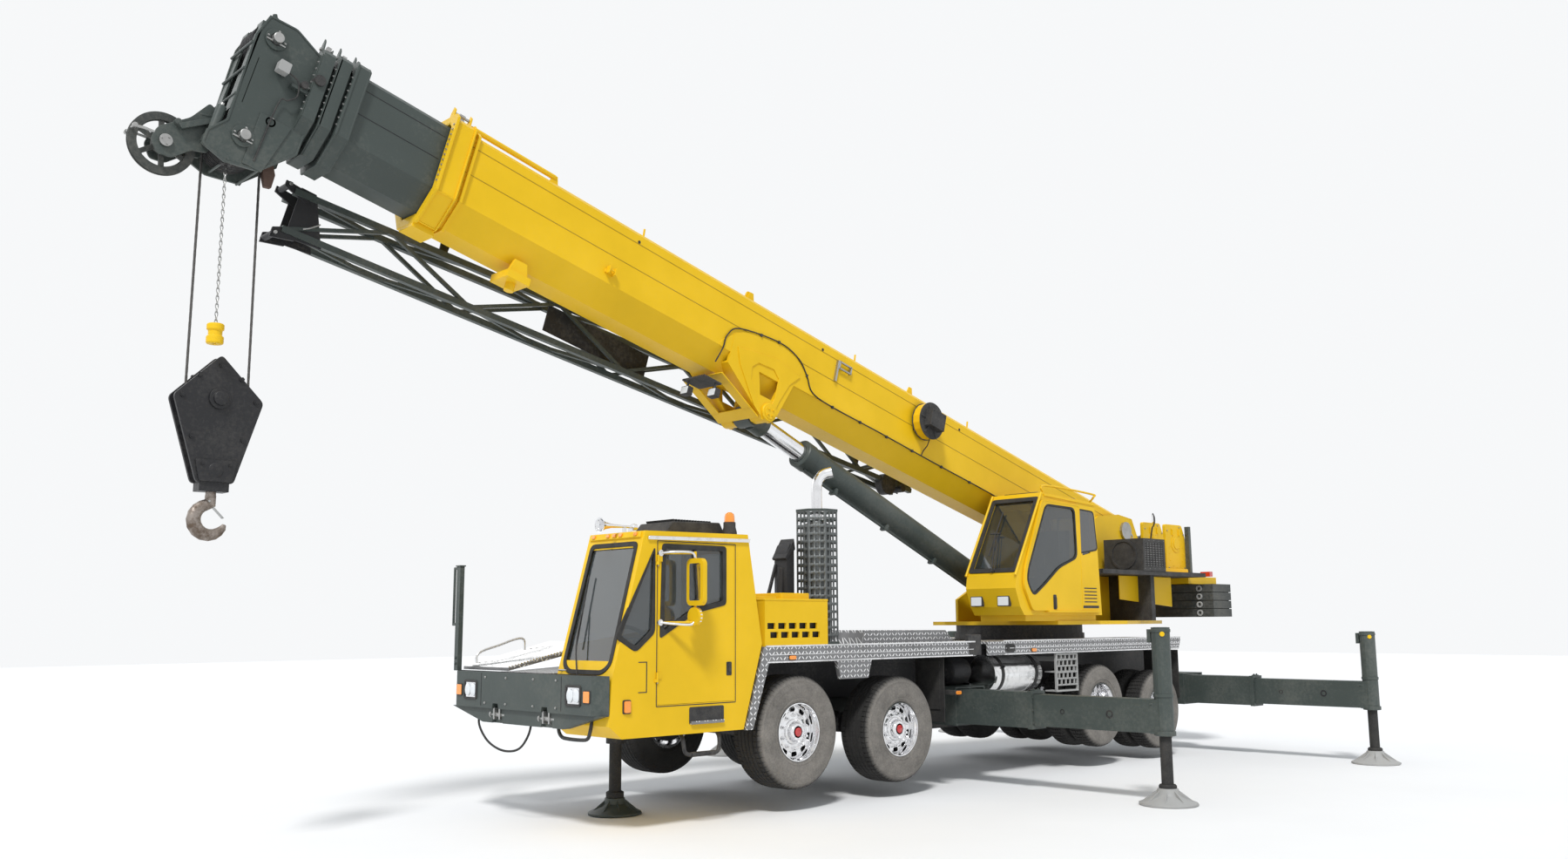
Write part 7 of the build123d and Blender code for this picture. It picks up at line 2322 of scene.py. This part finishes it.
class CRANE_OT_underbody(bpy.types.Operator):
    """Makes the tanks, spring clips, shafts and gearbox below the deck"""
    bl_idname = "crane.underbody"
    bl_label = "Underbody"

    def execute(self, context):
        make_tanks()
        make_underbody()
        return {"FINISHED"}


class CRANE_OT_boom(bpy.types.Operator):
    """Makes the collars, seams, cable, bracket and hose reel of the boom"""
    bl_idname = "crane.boom"
    bl_label = "Boom"

    def execute(self, context):
        make_boom_collar()
        make_boom_skin()
        make_lift_bracket()
        make_hose_reel()
        make_section_noses()
        return {"FINISHED"}


class CRANE_OT_boom_head(bpy.types.Operator):
    """Makes the sheaves, pins, guards and nose of the boom head"""
    bl_idname = "crane.boom_head"
    bl_label = "Boom head"

    def execute(self, context):
        make_sheaves()
        make_head_fittings()
        make_nose()
        return {"FINISHED"}


class CRANE_OT_lattice(bpy.types.Operator):
    """Makes the end plates, hangers and pins of the stowed lattice extension"""
    bl_idname = "crane.lattice"
    bl_label = "Lattice extension"

    def execute(self, context):
        make_lattice_details()
        return {"FINISHED"}


class CRANE_OT_operator_cab(bpy.types.Operator):
    """Makes the windows, handle, lamps, wiper and controls of the operator's cab"""
    bl_idname = "crane.operator_cab"
    bl_label = "Operator's cab"

    def execute(self, context):
        make_operator_glass()
        make_operator_skin()
        make_operator_wiper()
        make_operator_desk()
        return {"FINISHED"}


class CRANE_OT_superstructure(bpy.types.Operator):
    """Makes the winches, cooler, slewing gear, tail and counterweight details"""
    bl_idname = "crane.superstructure"
    bl_label = "Superstructure"

    def execute(self, context):
        make_winches()
        make_winch_fittings()
        make_cooler()
        make_slewing_gear()
        make_tail()
        make_counterweight_details()
        return {"FINISHED"}


class CRANE_OT_lift_ram(bpy.types.Operator):
    """Makes the lift cylinder's barrel, pipes, rod and eye"""
    bl_idname = "crane.lift_ram"
    bl_label = "Lift ram"

    def execute(self, context):
        make_ram()
        return {"FINISHED"}


OPERATORS = (CRANE_OT_stage, CRANE_OT_finishes, CRANE_OT_wheels, CRANE_OT_carrier_cab, CRANE_OT_front,
             CRANE_OT_deck, CRANE_OT_engine_bay, CRANE_OT_underbody, CRANE_OT_outriggers, CRANE_OT_boom,
             CRANE_OT_boom_head, CRANE_OT_lattice, CRANE_OT_hook_tackle, CRANE_OT_operator_cab,
             CRANE_OT_superstructure, CRANE_OT_lift_ram)
SETTINGS = (("crane_colours", CraneColours), ("crane_stage", CraneStage), ("crane_sizes", CraneSizes))


class CRANE_PT_panel(bpy.types.Panel):
    """Settings and steps of the mobile crane"""
    bl_idname = "CRANE_PT_panel"
    bl_label = "Mobile crane"
    bl_space_type = "VIEW_3D"
    bl_region_type = "UI"
    bl_category = "Crane"

    def draw(self, context):
        for name, group in SETTINGS:
            box = self.layout.box()
            for key in group.__annotations__:
                box.prop(getattr(context.scene, name), key)
        for operator in OPERATORS:
            self.layout.operator(operator.bl_idname)


def register():
    for group in (*(group for _, group in SETTINGS), *OPERATORS, CRANE_PT_panel):
        bpy.utils.register_class(group)
    for name, group in SETTINGS:
        setattr(bpy.types.Scene, name, bpy.props.PointerProperty(type=group))


def unregister():
    for name, _ in SETTINGS:
        delattr(bpy.types.Scene, name)
    for group in (CRANE_PT_panel, *reversed(OPERATORS), *(group for _, group in reversed(SETTINGS))):
        bpy.utils.unregister_class(group)


def main():
    """Registers the add-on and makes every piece."""
    register()
    for operator in OPERATORS:
        getattr(bpy.ops.crane, operator.bl_idname.split(".")[1])()


if __name__ == "__main__":
    main()
